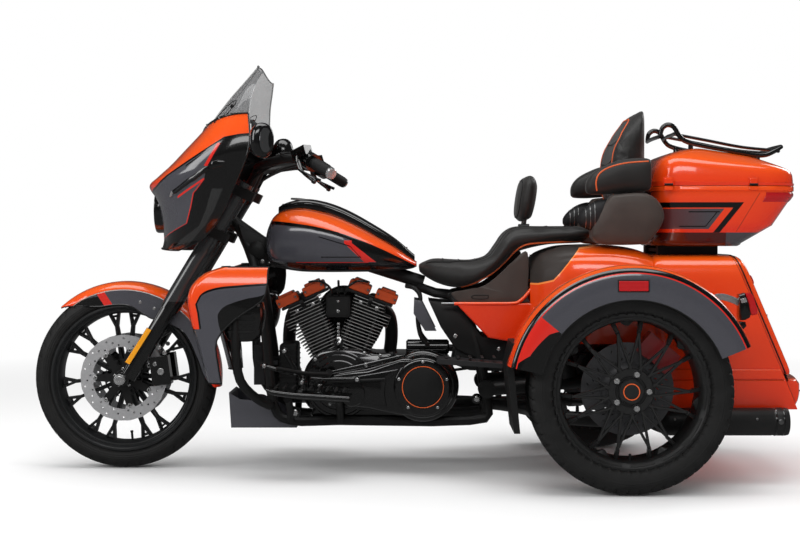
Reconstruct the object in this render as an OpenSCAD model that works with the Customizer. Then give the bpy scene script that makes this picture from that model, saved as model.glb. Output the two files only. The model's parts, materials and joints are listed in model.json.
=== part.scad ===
// Motorized trike: touring motorcycle front end, V-twin engine and a two-wheel rear axle under a trunk
// body.
// Row frame: +X forward, +Y to the rider's left, +Z up, origin on the ground under the middle of the
// length.
// All sizes are millimetres.

/* [Stance] */
// Distance between the front and the rear axle
wheelbase = 1700; // [1400:1:2050]
// Front axle ahead of the origin
front_axle_x = 1009; // [850:1:1240]
// Distance between the middles of the two rear tyres
rear_track = 1095; // [1000:1:1320]
// Angle of the steering axis from vertical
rake = 26; // [22:1:31]
// Distance on the ground from the steering axis to the front axle
trail = 100; // [80:1:120]
// Angle of the fork legs from vertical
fork_angle = 31; // [27:1:36]

/* [Front wheel] */
// Outside diameter of the front tyre
front_tyre_d = 638; // [560:1:700]
// Section width of the front tyre
front_tyre_w = 130; // [105:1:150]
// Outside diameter of the front rim's lips
front_rim_d = 512; // [430:1:520]
// Diameter of the front brake discs
front_disc_d = 300; // [250:1:340]
// Radius of the front axle
axle_r = 12.5; // [10:0.5:16]

/* [Rear wheels] */
// Outside diameter of the rear tyres
rear_tyre_d = 651; // [580:1:700]
// Section width of the rear tyres
rear_tyre_w = 215; // [180:1:235]
// Outside diameter of the rear rims' lips
rear_rim_d = 496; // [420:1:530]
// Diameter of the rear brake discs
rear_disc_d = 300; // [250:1:330]
// Radius of the rear stub axles
stub_r = 17; // [14:0.5:22]

/* [Fork and handlebar] */
// Distance between the middles of the fork legs
fork_span = 216; // [200:1:240]
// Radius of the lower fork sliders
slider_r = 29; // [24:0.5:32]
// Radius of the upper fork covers
cover_r = 34; // [29:0.5:38]
// Height of the lower yoke on the steering axis
lower_yoke_z = 835; // [800:1:850]
// Height of the upper yoke on the steering axis
upper_yoke_z = 985; // [965:1:1010]
// Half the distance between the grip ends
grip_end_y = 430; // [380:1:480]
// Radius of the handlebar tube
bar_r = 15.9; // [11:0.1:17]
// Radius of the grips
grip_r = 19; // [16:0.5:23]

/* [Fairing] */
// Wall of the fairing shell
fairing_wall = 4; // [3:0.5:8]
// Thickness of the windshield
screen_wall = 4; // [3:0.5:8]

/* [Tank and seat] */
// Length of the fuel tank
tank_l = 523; // [440:1:620]
// Largest half width of the fuel tank
tank_half_w = 166; // [140:1:185]
// Height of the seat where the rider sits
rider_seat_z = 733; // [700:1:760]
// Height of the passenger's seat
passenger_seat_z = 846; // [815:1:860]
// Half width of the seat
seat_half_w = 190; // [165:1:205]

/* [Top box] */
// Half width of the top box
box_half_w = 290; // [250:1:330]
// Height of the split between the box and its lid
box_split_z = 983; // [960:1:1010]
// Underside of the top box
box_floor_z = 781; // [770:1:800]
// Wall of the top box and its lid
box_wall = 5; // [3:0.5:9]
// Front of the top box behind the rear axle
box_front_back = 126; // [100:1:150]
// Length of the top box at its split
box_l = 490; // [400:1:500]
// Radius of the lid's hinge pin
lid_pin_r = 5; // [4:0.5:7]

/* [Rear body] */
// Half the width over the rear fenders
body_half_w = 692; // [660:1:800]
// Wall of the rear body panels
body_wall = 5; // [3:0.5:8]
// Half width of the trunk
trunk_half_w = 330; // [300:1:345]
// Rear end of the trunk behind the rear axle
trunk_tail = 592; // [540:1:640]
// Thickness of the trunk's door
door_t = 24; // [16:1:30]

/* [Engine] */
// Crankshaft behind the front axle
crank_back = 757; // [735:1:790]
// Height of the crankshaft
crank_z = 300; // [285:1:320]
// Angle between the two cylinders
vee_angle = 45; // [40:1:52]
// Number of cooling fins on each cylinder
fin_count = 13; // [9:1:15]
// Radius of the clutch cover disc
derby_r = 102; // [85:1:110]

/* [Exhaust] */
// Radius of the mufflers
muffler_r = 46; // [38:1:50]
// Distance of the mufflers from the middle plane
muffler_y = 375; // [360:1:385]

/* [Hidden] */
$fn = 48;

// Named clearances
run_gap = 0.3; // between a turning part and what carries it
seat_gap = 0.3; // between fixed parts that rest on each other

// Wheel places
front_r = front_tyre_d / 2;
rear_r = rear_tyre_d / 2;
rear_axle_x = front_axle_x - wheelbase;
rear_wheel_y = rear_track / 2;
fork_y = fork_span / 2;

// Points on the steering axis and on the line of the left fork leg, at height z
function steer_at(z) = [front_axle_x + trail - z * tan(rake), 0, z];
leg_back = 21; // the legs' line passes this far behind the axle
function leg_at(z) = [front_axle_x - leg_back - (z - front_r) * tan(fork_angle), fork_y, z];

// Places measured from the steering head, which carries tank and engine
head_x = steer_at(910)[0];
tank_front_x = head_x - 159;
tank_rear_x = tank_front_x - tank_l;
crank_x = front_axle_x - crank_back;

// Places measured from the rear axle, which carries the trunk and the top box
box_front_x = rear_axle_x - box_front_back;
box_rear_x = box_front_x - box_l;
trunk_rear_x = rear_axle_x - trunk_tail;

// ---- Helpers ----

function unit(v) = v / norm(v);
function mirror_y(p) = [p[0], -p[1], p[2]];
function curve_at(a, b, c, d, t) =
    0.5 * (2 * b + (c - a) * t + (2 * a - 5 * b + 4 * c - d) * t * t + (3 * b - a - 3 * c + d) * t * t * t);
// A smooth line through the points p, with n steps between two of them
function smooth(p, n = 4) = [
    for (i = [0 : len(p) - 2]) for (j = [0 : n - 1])
        curve_at(p[max(i - 1, 0)], p[i], p[i + 1], p[min(i + 2, len(p) - 1)], j / n),
    p[len(p) - 1]
];
function tangent(p, i) = unit(p[min(i + 1, len(p) - 1)] - p[max(i - 1, 0)]);
function ring_at(c, t, ref, r, n) =
    let (u = unit(cross(t, ref)), v = cross(t, u))
    [for (k = [0 : n - 1]) c + r * (cos(360 * k / n) * u + sin(360 * k / n) * v)];
function signed_power(v, e) = sign(v) * pow(abs(v), e);
// Superellipse in the plane of Y and Z at x, from z0 up to z1; a higher e gives squarer corners
function section_x(x, half_w, z0, z1, e = 2.5, n = 24, y0 = 0) = [
    for (k = [0 : n - 1]) let (a = 360 * k / n)
        [x, y0 - half_w * signed_power(cos(a), 2 / e),
            (z0 + z1) / 2 + (z1 - z0) / 2 * signed_power(sin(a), 2 / e)]
];
// Superellipse in the plane of X and Y at height z, from x0 to x1
function section_z(z, x0, x1, half_w, e = 5, n = 32, y0 = 0) = [
    for (k = [0 : n - 1]) let (a = 360 * k / n)
        [(x0 + x1) / 2 + (x1 - x0) / 2 * signed_power(cos(a), 2 / e), y0 + half_w * signed_power(sin(a),
            2 / e), z]
];

// Closed solid through a row of rings that have the same number of points
module loft(rings) {
    n = len(rings[0]);
    m = len(rings);
    polyhedron(
        points = [for (r = rings) each r],
        faces = concat(
            [[for (k = [0 : n - 1]) k]],
            [for (i = [0 : m - 2]) for (k = [0 : n - 1])
                let (a = i * n + k, b = i * n + (k + 1) % n) [a, a + n, b + n, b]],
            [[for (k = [n - 1 : -1 : 0]) (m - 1) * n + k]]),
        convexity = 6);
}

// Round bar along the points p
module bent_bar(p, r, ref = [0, 1, 0], n = 10) {
    loft([for (i = [0 : len(p) - 1]) ring_at(p[i], tangent(p, i), ref, r, n)]);
}

// Curved sheet between two grids of points, its outer and its inner face
module sheet(outer, inner) {
    m = len(outer);
    n = len(outer[0]);
    o = m * n;
    polyhedron(
        points = concat([for (r = outer) each r], [for (r = inner) each r]),
        faces = concat(
            [for (i = [0 : m - 2]) for (k = [0 : n - 2])
                let (a = i * n + k) [a, a + n, a + n + 1, a + 1]],
            [for (i = [0 : m - 2]) for (k = [0 : n - 2])
                let (a = o + i * n + k) [a, a + 1, a + n + 1, a + n]],
            [for (k = [0 : n - 2]) [k, k + 1, o + k + 1, o + k]],
            [for (k = [0 : n - 2]) let (a = (m - 1) * n + k) [a, o + a, o + a + 1, a + 1]],
            [for (i = [0 : m - 2]) let (a = i * n) [a, o + a, o + a + n, a + n]],
            [for (i = [0 : m - 2]) let (a = i * n + n - 1) [a, a + n, o + a + n, o + a]]),
        convexity = 6);
}

// Straight round bar from p to q
module bar(p, q, r) {
    d = q - p;
    translate(p) rotate([0, acos(d[2] / norm(d)), atan2(d[1], d[0])]) cylinder(h = norm(d), r = r);
}

// Cylinder along Y from y0 to y1 at x, z
module cross_pin(x, z, y0, y1, r) {
    translate([x, y1, z]) rotate([90, 0, 0]) cylinder(h = y1 - y0, r = r);
}

// Plate with the outline p in the plane of X and Z, from y0 to y1
module side_plate(p, y0, y1) {
    translate([0, y1, 0]) rotate([90, 0, 0]) linear_extrude(y1 - y0) polygon(p);
}

module both_sides() {
    children();
    mirror([0, 1, 0]) children();
}

// ---- Wheels ----

// Half outline of a tyre: rounded tread and bulged sidewalls between the rim and radius r
module tyre_outline(r, w, rim_r, crown) {
    polygon(concat(
        [[rim_r, -w * 0.36], [rim_r + (r - rim_r) * 0.22, -w * 0.455], [rim_r + (r - rim_r) * 0.5,
            -w * 0.5],
            [rim_r + (r - rim_r) * 0.8, -w * 0.47]],
        [for (k = [-4 : 4]) [r - crown * pow(k / 4, 2), w * 0.42 * k / 4]],
        [[rim_r + (r - rim_r) * 0.8, w * 0.47], [rim_r + (r - rim_r) * 0.5, w * 0.5],
            [rim_r + (r - rim_r) * 0.22, w * 0.455], [rim_r, w * 0.36]]));
}

module tyre(x, y, r, w, rim_r, crown) {
    color([0.03, 0.03, 0.03]) translate([x, y, r]) rotate([90, 0, 0])
        rotate_extrude() tyre_outline(r, w, rim_r, crown);
}

bead_wall = 6; // the rim's barrel under the tyre

module rim_barrel(rim_r, w) {
    rotate_extrude() polygon([
        [rim_r - 22, -w * 0.36], [rim_r, -w * 0.4], [rim_r, -w * 0.36 - seat_gap], [rim_r - seat_gap,
            -w * 0.36],
        [rim_r - seat_gap, w * 0.36], [rim_r, w * 0.36 + seat_gap], [rim_r, w * 0.4], [rim_r - 22,
            w * 0.36],
        [rim_r - 16 - bead_wall, w * 0.2], [rim_r - 16 - bead_wall, -w * 0.2]]);
}

front_spokes = 14;

module front_wheel() {
    rim_r = front_rim_d / 2;
    hub_w = 92;
    disc_y = 63;
    color([0.06, 0.06, 0.06]) translate([front_axle_x, 0, front_r]) rotate([90, 0, 0]) difference() {
        union() {
            rim_barrel(rim_r, front_tyre_w);
            cylinder(h = hub_w, r = 46, center = true);
            for (k = [0 : front_spokes - 1]) rotate([0, 0, 360 * k / front_spokes + (k % 2 ? 3.5 : -3.5)])
                translate([40, -6, -15]) cube([rim_r - 58, 12, 30]);
            for (s = [-1, 1]) translate([0, 0, s * disc_y]) {
                difference() {
                    cylinder(h = 5, r = front_disc_d / 2, center = true);
                    cylinder(h = 6, r = front_disc_d / 2 - 38, center = true);
                }
                for (k = [0 : 4]) rotate([0, 0, 72 * k + 10]) translate([30, -14, -2])
                    cube([front_disc_d / 2 - 62, 28, 4]);
                cylinder(h = 10, r = 42, center = true);
                translate([0, 0, -s * 11]) cylinder(h = 22, r = 38, center = true);
            }
        }
        cylinder(h = 2 * disc_y + 30, r = axle_r + run_gap, center = true);
    }
}

module front_tyre() tyre(front_axle_x, 0, front_r, front_tyre_w, front_rim_d / 2, 26);

rear_spokes = 10;
hub_dish = 52; // the rear hubs lie this far inside the rims' outer lips

// Rear wheel on the left; its outer side faces +Y
module rear_wheel_left() {
    rim_r = rear_rim_d / 2;
    face_y = rear_wheel_y + rear_tyre_w * 0.36 - hub_dish;
    disc_y = rear_wheel_y - 30;
    color([0.08, 0.08, 0.08]) difference() {
        union() {
            translate([rear_axle_x, rear_wheel_y, rear_r]) rotate([90, 0, 0]) rim_barrel(rim_r,
                rear_tyre_w);
            translate([rear_axle_x, face_y, rear_r]) rotate([90, 0, 0]) {
                cylinder(h = 16, r = 76, center = true);
                for (k = [0 : rear_spokes - 1]) for (s = [-1, 1])
                    rotate([0, 0, 360 * k / rear_spokes + 9 * s]) translate([70, -5, -9 - 8 * s])
                        rotate([0, 0, -5.5 * s]) cube([rim_r - 86, 10, 20]);
            }
            cross_pin(rear_axle_x, rear_r, disc_y - 4, face_y, 42);
            difference() {
                cross_pin(rear_axle_x, rear_r, disc_y - 13, disc_y + 13, rear_disc_d / 2);
                cross_pin(rear_axle_x, rear_r, disc_y - 3, disc_y + 3, rear_disc_d / 2 + 1);
            }
            cross_pin(rear_axle_x, rear_r, disc_y - 12, disc_y + 12, rear_disc_d / 2 - 40);
            for (k = [0 : 4]) translate([rear_axle_x, face_y + 8, rear_r]) rotate([0, 72 * k + 36, 0])
                translate([57, 14, 0]) rotate([90, 0, 0]) cylinder(h = 16, r = 9);
        }
        cross_pin(rear_axle_x, rear_r, disc_y - 30, face_y - 5, stub_r + run_gap);
    }
}

module rear_left_wheel() rear_wheel_left();
module rear_right_wheel() mirror([0, 1, 0]) rear_wheel_left();
module rear_left_tyre() tyre(rear_axle_x, rear_wheel_y, rear_r, rear_tyre_w, rear_rim_d / 2, 14);
module rear_right_tyre() tyre(rear_axle_x, -rear_wheel_y, rear_r, rear_tyre_w, rear_rim_d / 2, 14);

// ---- Fork ----

leg_boss_r = 24; // around the axle at the foot of each leg
leg_foot_z = front_r + 6;
slider_top_z = 560;
leg_top_z = upper_yoke_z + 16;
axle_end_y = fork_y + 38;

module fork_leg_outer(extra = 0) {
    bar(leg_at(leg_foot_z), leg_at(slider_top_z), slider_r + extra);
    bar(leg_at(slider_top_z), leg_at(leg_top_z), cover_r + extra);
}

module fork_legs() {
    color([0.07, 0.07, 0.07]) both_sides() difference() {
        union() {
            fork_leg_outer();
            cross_pin(front_axle_x, front_r, fork_y - 24, fork_y + 26, leg_boss_r);
            translate([front_axle_x - leg_back - 8, fork_y - 20, front_r - 18])
                cube([leg_back + 8, 40, 30]);
            for (z = [430, 520]) cross_pin(leg_at(z)[0] + 2, z, fender_half_w + seat_gap, fork_y, 9);
        }
        cross_pin(front_axle_x, front_r, fork_y - 40, fork_y + 40, axle_r + 0.05);
    }
}

module front_axle() {
    color([0.5, 0.5, 0.5]) {
        cross_pin(front_axle_x, front_r, -axle_end_y, axle_end_y, axle_r);
        both_sides() cross_pin(front_axle_x, front_r, fork_y + 26 + seat_gap, axle_end_y, 19);
    }
}

stem_r = 15;
yoke_t = 34;

// One yoke: a plate square to the steering axis, reaching back past the legs, with holes for them
module yoke(z) {
    back = (steer_at(z)[0] - leg_at(z)[0]) / cos(rake) + cover_r + 10;
    translate(steer_at(z)) rotate([0, -rake, 0]) translate([0, 0, -yoke_t / 2]) linear_extrude(yoke_t)
        polygon(concat([[6, -fork_y - 40], [28, -40], [28, 40], [6, fork_y + 40], [-back, fork_y + 40],
            [-back, fork_y - 18], [-back + 24, fork_y - 42], [-30, 34], [-30, -34]],
            [[-back + 24, -fork_y + 42], [-back, -fork_y + 18], [-back, -fork_y - 40]]));
}

module fork_yokes() {
    color([0.05, 0.05, 0.05]) {
        difference() {
            union() {
                yoke(lower_yoke_z);
                yoke(upper_yoke_z);
            }
            both_sides() fork_leg_outer(0.1);
        }
        bar(steer_at(lower_yoke_z), steer_at(upper_yoke_z), stem_r);
        // arm that carries headlamp and fairing
        side_plate([for (p = [[742, 836], [772, 824], [lamp_back - seat_gap, 876],
            [lamp_back - seat_gap, 934],
            [lamp_back - 16, 934], [750, 852]]) let (q = from_head([p[0], 0, p[1]])) [q[0], q[2]]], -14,
                14);
    }
}

fender_gap = 15; // between the front tyre and its fender
fender_wall = 3;
fender_half_w = 73.6;
fender_front_deg = 43; // ahead of the top
fender_rear_deg = 96; // behind the top
fender_front_z = 247; // lower edge of its front part above the axle

module fender_outline(r0, r1, w) {
    polygon([[r0, -w], [r1 - 24, -w], [r1 - 8, -w + 14], [r1, -w + 42], [r1, w - 42], [r1 - 8, w - 14],
        [r1 - 24, w], [r0, w]]);
}

module front_fender() {
    r = front_r + fender_gap;
    color([0.9, 0.2, 0.02]) difference() {
        translate([front_axle_x, 0, front_r]) rotate([90, 0, 0]) rotate([0, 0, 90 - fender_front_deg])
            rotate_extrude(angle = fender_front_deg + fender_rear_deg, start = 0) difference() {
                fender_outline(r - 72, r + fender_wall, fender_half_w);
                fender_outline(r - 80, r, fender_half_w - fender_wall);
            }
        translate([front_axle_x + 40, -fender_half_w - 1, 0])
            cube([400, 2 * fender_half_w + 2, front_r + fender_front_z]);
    }
}

caliper_r = 128;

module front_calipers() {
    disc_y = 63;
    color([0.04, 0.04, 0.04]) both_sides() difference() {
        translate([front_axle_x, 0, front_r]) rotate([0, 8, 0]) translate([-caliper_r - 40, 47, -42])
            cube([66, 50, 100]);
        cross_pin(front_axle_x, front_r, disc_y - 7.8, disc_y + 7.8, front_disc_d / 2 + 5.2);
        fork_leg_outer(0.3);
        cross_pin(front_axle_x, front_r, 40, disc_y - 6, 90);
    }
}

// ---- Handlebar ----

bar_line = [[559, 60, 1052], [545, 140, 1054], [500, 225, 1066], [425, 290, 1076], [345, 335, 1056],
    [281, 430, 1020]];
bar_middle = [559, 0, 1052];
function from_head(p) = [p[0] + head_x - 682, p[1], p[2]];
grip_inner = from_head([342, 338, 1057]);
grip_end = from_head([281, grip_end_y, 1020]);

riser_h = 76;
riser_back = 51;
riser_foot = steer_at(upper_yoke_z) + riser_back * [-cos(rake), 0, -sin(rake)]
    + (yoke_t / 2 + seat_gap) * [-sin(rake), 0, cos(rake)] + [0, 50, 0];

module handlebar() {
    line = smooth([for (p = bar_line) from_head(p[1] == 430 ? [p[0], grip_end_y, p[2]] : p)], 3);
    middle = from_head(bar_middle);
    color([0.05, 0.05, 0.05]) {
        cross_pin(middle[0], middle[2], -bar_line[0][1] - 6, bar_line[0][1] + 6, bar_r);
        both_sides() bent_bar(line, bar_r - 0.5, ref = [0, 0, 1], n = 12);
        both_sides() bar(grip_inner, grip_end + 4 * unit(grip_end - grip_inner), grip_r);
    both_sides() bar(riser_foot, riser_foot + riser_h * [-sin(rake), 0, cos(rake)], 16);
    }
}

module hand_controls() {
    out = unit(grip_end - grip_inner);
    color([0.12, 0.12, 0.12]) both_sides() {
        difference() {
            union() {
                bar(grip_inner - 38 * out, grip_inner - 1 * out, 30);
                translate(grip_inner - 30 * out + [26, 0, 26]) rotate([0, 20, -35]) cube([60, 40, 34],
                    center = true);
            }
            bar(grip_inner - 90 * out, grip_inner + 60 * out, bar_r + 0.3);
            bent_bar(smooth([for (p = bar_line) from_head(p)], 3), bar_r + 0.2, ref = [0, 0, 1], n = 12);
        }
        bent_bar(smooth([grip_inner - 26 * out + [44, 8, 14], grip_inner + 30 * out + [62, 4, -12],
            grip_inner + 90 * out + [48, 4, -20], grip_end + [34, 0, -24]], 3), 5.5, ref = [0, 0, 1],
                n = 8);
    }
}

// ---- Fairing ----

// Rows of the batwing shell from bottom to top: nose x, nose z, edge x, edge y, edge z
fairing_rows = [
    [896, 772, 820, 150, 766], [888, 812, 737, 225, 800], [893, 865, 670, 290, 860], [908, 935, 622,
        350, 945],
    [936, 984, 585, 385, 1020], [909, 1012, 565, 400, 1060], [862, 1052, 552, 408, 1100], [803, 1112,
        548, 400, 1152],
    [742, 1170, 556, 372, 1221]];
lamp_r = 78;
lamp_z = 905;
lamp_back = 850;
fairing_side = 2.3; // how square the shell is in plan

function fairing_point(row, u, inset) =
    let (p = fairing_side, y = (row[3] - inset) * u, c = pow(1 - pow(abs(u), p), 1 / p))
    from_head([row[2] + (row[0] - inset - row[2]) * c, y, row[1] * c * c + row[4] * (1 - c * c)]);
fairing_u = [for (k = [-12 : 12]) sin(90 * k / 12)];

module fairing_shell() {
    rows = smooth(fairing_rows, 2);
    color([0.9, 0.2, 0.02]) difference() {
        sheet([for (r = rows) [for (u = fairing_u) fairing_point(r, u, 0)]],
            [for (r = rows) [for (u = fairing_u) fairing_point(r, u, fairing_wall)]]);
        bar(from_head([700, 0, lamp_z]), from_head([1000, 0, lamp_z]), lamp_r + 0.5);
    }
}

module instrument_panel() {
    color([0.04, 0.04, 0.04])
        loft([
            for (s = [[1094, 362, 548, 640], [1108, 384, 538, 652], [1150, 388, 536, 640], [1188, 364,
                540, 622],
                [1206, 320, 552, 604]])
                section_z(s[0], from_head([s[2], 0, 0])[0], from_head([s[3], 0, 0])[0], s[1], e = 6, n = 24)
        ]);
}

// Rows of the windshield from its foot inside the fairing to its top, as in fairing_rows
screen_rows = [[757, 1156, 554, 379, 1204], [742, 1170, 556, 372, 1221], [672, 1262, 550, 334, 1288],
    [607, 1345, 538, 280, 1338], [560, 1412, 526, 205, 1374]];
screen_back = fairing_wall + 1.2;

module windshield() {
    rows = smooth(screen_rows, 2);
    color([0.4, 0.42, 0.45, 0.5]) sheet(
        [for (r = rows) [for (u = fairing_u) fairing_point(r, u, screen_back)]],
        [for (r = rows) [for (u = fairing_u) fairing_point(r, u, screen_back + screen_wall)]]);
}

module mirrors() {
    color([0.05, 0.05, 0.05]) both_sides() {
        loft([for (s = [[-34, 10], [-30, 24], [-10, 36], [14, 38], [34, 34], [38, 26]])
            [for (k = [0 : 15]) from_head([512.9 - s[0] * 0.5, 406.4 + s[0] * 0.6, 1128])
                + [s[1] * 0.85 * cos(22.5 * k), s[1] * 0.5 * cos(22.5 * k), s[1] * 1.5 * sin(22.5 * k)]]]);
    }
}

module headlamp() {
    color([0.9, 0.9, 0.9]) bar(from_head([lamp_back, 0, lamp_z]), from_head([906, 0, lamp_z]), lamp_r);
}

// ---- Frame and engine ----

head_tube_r = 28;
head_foot_z = lower_yoke_z + 26;
head_top_z = upper_yoke_z - 26;
rail_y = 130;
rail_z = 178;
downtube_x = crank_x + 235;
rail_rear_x = rear_axle_x + 430;

backbone_r = 24;
seat_rail_z = 608.6;
tank_pin_z = 761;
backbone_line = [[head_x + 2, 0, 888], [tank_front_x, 0, 775], [tank_rear_x + 240, 0, 735],
    [tank_rear_x - 24, 0, 651.2]];

module frame() {
    neck = steer_at(900);
    color([0.03, 0.03, 0.03]) {
        difference() {
            bar(steer_at(head_foot_z), steer_at(head_top_z), head_tube_r);
            bar(steer_at(head_foot_z - 30), steer_at(head_top_z + 30), stem_r + run_gap);
        }
        difference() {
            union() {
                // backbone under the tank
                bent_bar(backbone_line, backbone_r, n = 14);
                // downtubes, lower rails and rear uprights
                both_sides() bent_bar(smooth([[neck[0] - 14, 12, 898], [downtube_x + 112, 14, 822],
                    [downtube_x + 50, 66, 660],
                    [downtube_x + 14, rail_y - 20, 420], [downtube_x - 10, rail_y, 230],
                    [downtube_x - 70, rail_y, rail_z], [crank_x, rail_y, rail_z], [rail_rear_x + 60,
                        rail_y, rail_z],
                    [rail_rear_x, rail_y, rail_z + 60], [tank_rear_x - 190, rail_y, 500],
                    [tank_rear_x - 120, rail_y - 30, seat_rail_z]], 3), 17);
                // seat rails
                both_sides() bent_bar(smooth([[tank_rear_x - 10, 18, 636], [tank_rear_x - 120,
                    rail_y - 30, seat_rail_z],
                    [rear_axle_x + 260, rail_y, 636], [rear_axle_x + 150, 150, 700],
                    [rear_axle_x + 10, 160, 724], [trunk_front_x + 3.2, 160, 706]], 3),
                    15, ref = [0, 0, 1]);
                cross_pin(rail_rear_x + 6, rail_z + 34, -rail_y, rail_y, 13);
                cross_pin(tank_front_x - 90, tank_pin_z, 0.3 - tunnel_half_w, tunnel_half_w - 0.3, 10);
                cross_pin(tank_rear_x - 120, seat_rail_z, -rail_y + 20, rail_y - 20, 13);
            }
            bar(steer_at(head_foot_z - 30), steer_at(head_top_z + 30), head_tube_r - 4);
        }
    }
}

// Outline in the plane of X and Z of a plate round two circles
module link_outline(a, ra, b, rb) {
    hull() {
        translate(a) circle(ra, $fn = 40);
        translate(b) circle(rb, $fn = 40);
    }
}

primary_y0 = 149;
primary_y1 = 205;
clutch_x = crank_x - 290;
case_half_w = 112;

module engine_case() {
    color([0.09, 0.09, 0.09]) {
        difference() {
            union() {
                translate([crank_x - 190, -case_half_w, rail_z + 30]) cube([320, 2 * case_half_w, 215]);
                cross_pin(crank_x, crank_z, -case_half_w, case_half_w, 118);
                cross_pin(crank_x, crank_z, case_half_w - 2, primary_y0 - seat_gap, 70);
                translate([crank_x - 395, -case_half_w, rail_z + 30]) cube([210, case_half_w + 60, 200]);
                translate([crank_x - 260, -case_half_w + 4, rail_z - 16])
                    cube([350, 2 * case_half_w - 8, 50]);
                cross_pin(crank_x, crank_z, -case_half_w - 40, -case_half_w, 86);
            }
            for (s = [-1, 1]) cylinder_frame(s) translate([0, 0, 118]) cylinder(h = 300, r = 99);
        }
    }
}

// Frame with +Z along the front (s = 1) or the rear (s = -1) cylinder
module cylinder_frame(s) translate([crank_x, 0, crank_z]) rotate([0, s * vee_angle / 2, 0]) children();

barrel_z0 = 118;
barrel_z1 = 268;
cyl_head_z1 = 335;

module cylinders() {
    fin_step = (barrel_z1 - barrel_z0 - 30) / (fin_count - 5);
    color([0.12, 0.12, 0.12]) for (s = [-1, 1]) cylinder_frame(s) {
        translate([0, 0, barrel_z0 + 0.3]) cylinder(h = barrel_z1 - barrel_z0, r = 56);
        for (k = [0 : fin_count - 6]) translate([-62, -76, barrel_z0 + 24 + k * fin_step])
            cube([124, 152, 4]);
        for (k = [0 : 4]) translate([-62, -80, barrel_z1 + 4 + k * 13]) cube([124, 160, 5]);
        translate([-52, -66, barrel_z1 - 2]) cube([104, 132, cyl_head_z1 - barrel_z1 + 2]);
    }
}

module rocker_covers() {
    color([0.85, 0.25, 0.03]) for (s = [-1, 1]) cylinder_frame(s) {
        translate([-50, -78, cyl_head_z1 + 0.3]) cube([100, 156, 26]);
        translate([-42, -68, cyl_head_z1 + 20]) cube([84, 136, 32]);
    }
}

module primary_cover() {
    color([0.03, 0.03, 0.03]) {
        translate([0, primary_y1, 0]) rotate([90, 0, 0]) linear_extrude(primary_y1 - primary_y0)
            link_outline([crank_x, crank_z], 72, [clutch_x, crank_z], derby_r + 8);
        cross_pin(clutch_x, crank_z, primary_y1 - 1, primary_y1 + 9, derby_r - 4);
        cross_pin(crank_x - 6, crank_z, primary_y1 - 1, primary_y1 + 5, 46);
    }
}

module air_cleaner() {
    color([0.05, 0.05, 0.05]) difference() {
        union() {
            cross_pin(crank_x - 4, crank_z + 240, -212, -150, 92);
            translate([crank_x - 30, -160, crank_z + 200]) cube([60, 130, 58]);
        }
        for (s = [-1, 1]) cylinder_frame(s) translate([-63, -81, 90]) cube([126, 162, 320]);
    }
}

cooler_x = downtube_x + 24;

module oil_cooler() {
    color([0.05, 0.05, 0.05]) {
        for (z = [300 : 14 : 426]) translate([cooler_x, -84, z]) cube([40, 168, 4]);
        for (y = [-84, 72]) translate([cooler_x, y, 296]) cube([40, 12, 138]);
        both_sides() translate([downtube_x - 20, rail_y - 52, 366]) cube([70, 20.6, 14]);
    }
}

module chin_spoiler() {
    color([0.18, 0.18, 0.19]) difference() {
        side_plate([[downtube_x + 140, 150], [downtube_x + 148, 272], [downtube_x + 108, 248],
            [downtube_x + 48, 243], [downtube_x - 26, 206], [downtube_x - 88, 150]], -112, 112);
        side_plate([[downtube_x + 136, 156], [downtube_x + 142, 280], [downtube_x + 104, 290],
            [downtube_x + 40, 290], [downtube_x - 40, 290], [downtube_x - 90, 156]], -108, 108);
    }
    color([0.18, 0.18, 0.19]) both_sides() translate([downtube_x - 84, 108, 168]) cube([22, 5.2, 20]);
}

guard_r = 16;
guard_line = [[downtube_x + 30, 104, 646], [downtube_x + 70, 190, 652], [downtube_x + 92, 290, 632],
    [downtube_x + 98, 330, 560], [downtube_x + 98, 330, 430], [downtube_x + 88, 290, 330],
    [downtube_x + 44, 200, 262], [downtube_x - 2, rail_y + 18.6 + guard_r, 232]];

module engine_guard() {
    color([0.03, 0.03, 0.03]) both_sides() {
        bent_bar(smooth(guard_line, 3), guard_r);
        translate([downtube_x - 14, rail_y + 17.4, 220]) cube([26, 18, 26]);
    }
}

// Rows of the leg shield from bottom to top: front x, height, inner y, outer y, depth of its side
shield_rows = [[712, 322, 236, 318, 30], [730, 390, 226, 342, 40], [752, 470, 220, 356, 60], [770, 540,
    218, 364, 90],
    [778, 600, 220, 366, 130], [764, 650, 226, 362, 175], [722, 690, 232, 350, 200], [664, 712, 238,
        336, 190]];

module lower_fairings() {
    rows = smooth(shield_rows, 2);
    // Across a row: from the inner edge over the front to the rear end of the side
    function at(r, u, inset) = let (w = r[3] - r[2])
        u < 0.6
            ? let (t = u / 0.6)
                from_head([r[0] - 34 * pow(1 - t, 2) - 30 * pow(t, 3) - inset,
                    r[2] + w * (0.06 + 0.9 * t), r[1]])
            : let (t = (u - 0.6) / 0.4)
                from_head([r[0] - 30 - r[4] * t - inset * (1 - t),
                    r[3] - w * 0.04 * (1 - t) - inset * t, r[1]]);
    color([0.9, 0.2, 0.02]) both_sides() sheet(
        [for (r = rows) [for (k = [0 : 14]) at(r, k / 14, 0)]],
        [for (r = rows) [for (k = [0 : 14]) at(r, k / 14, 4)]]);
    color([0.9, 0.2, 0.02]) both_sides() translate([downtube_x + 92, 330 + guard_r + seat_gap, 556])
        cube([50, 15.5, 20]);
}

module fairing_pods() {
    color([0.05, 0.05, 0.05]) both_sides() difference() {
        loft([for (s = [[462, 40, 42], [474, 62, 45], [540, 76, 47], [596, 70, 45], [610, 50, 42]])
            section_z(s[0], downtube_x + 80 - s[1], downtube_x + 80 + s[1] * 0.9, s[2], e = 3.5, n = 24,
                y0 = 298)]);
        bent_bar(smooth(guard_line, 3), guard_r + 0.8);
    }
}

// ---- Tank and seat ----

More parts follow.
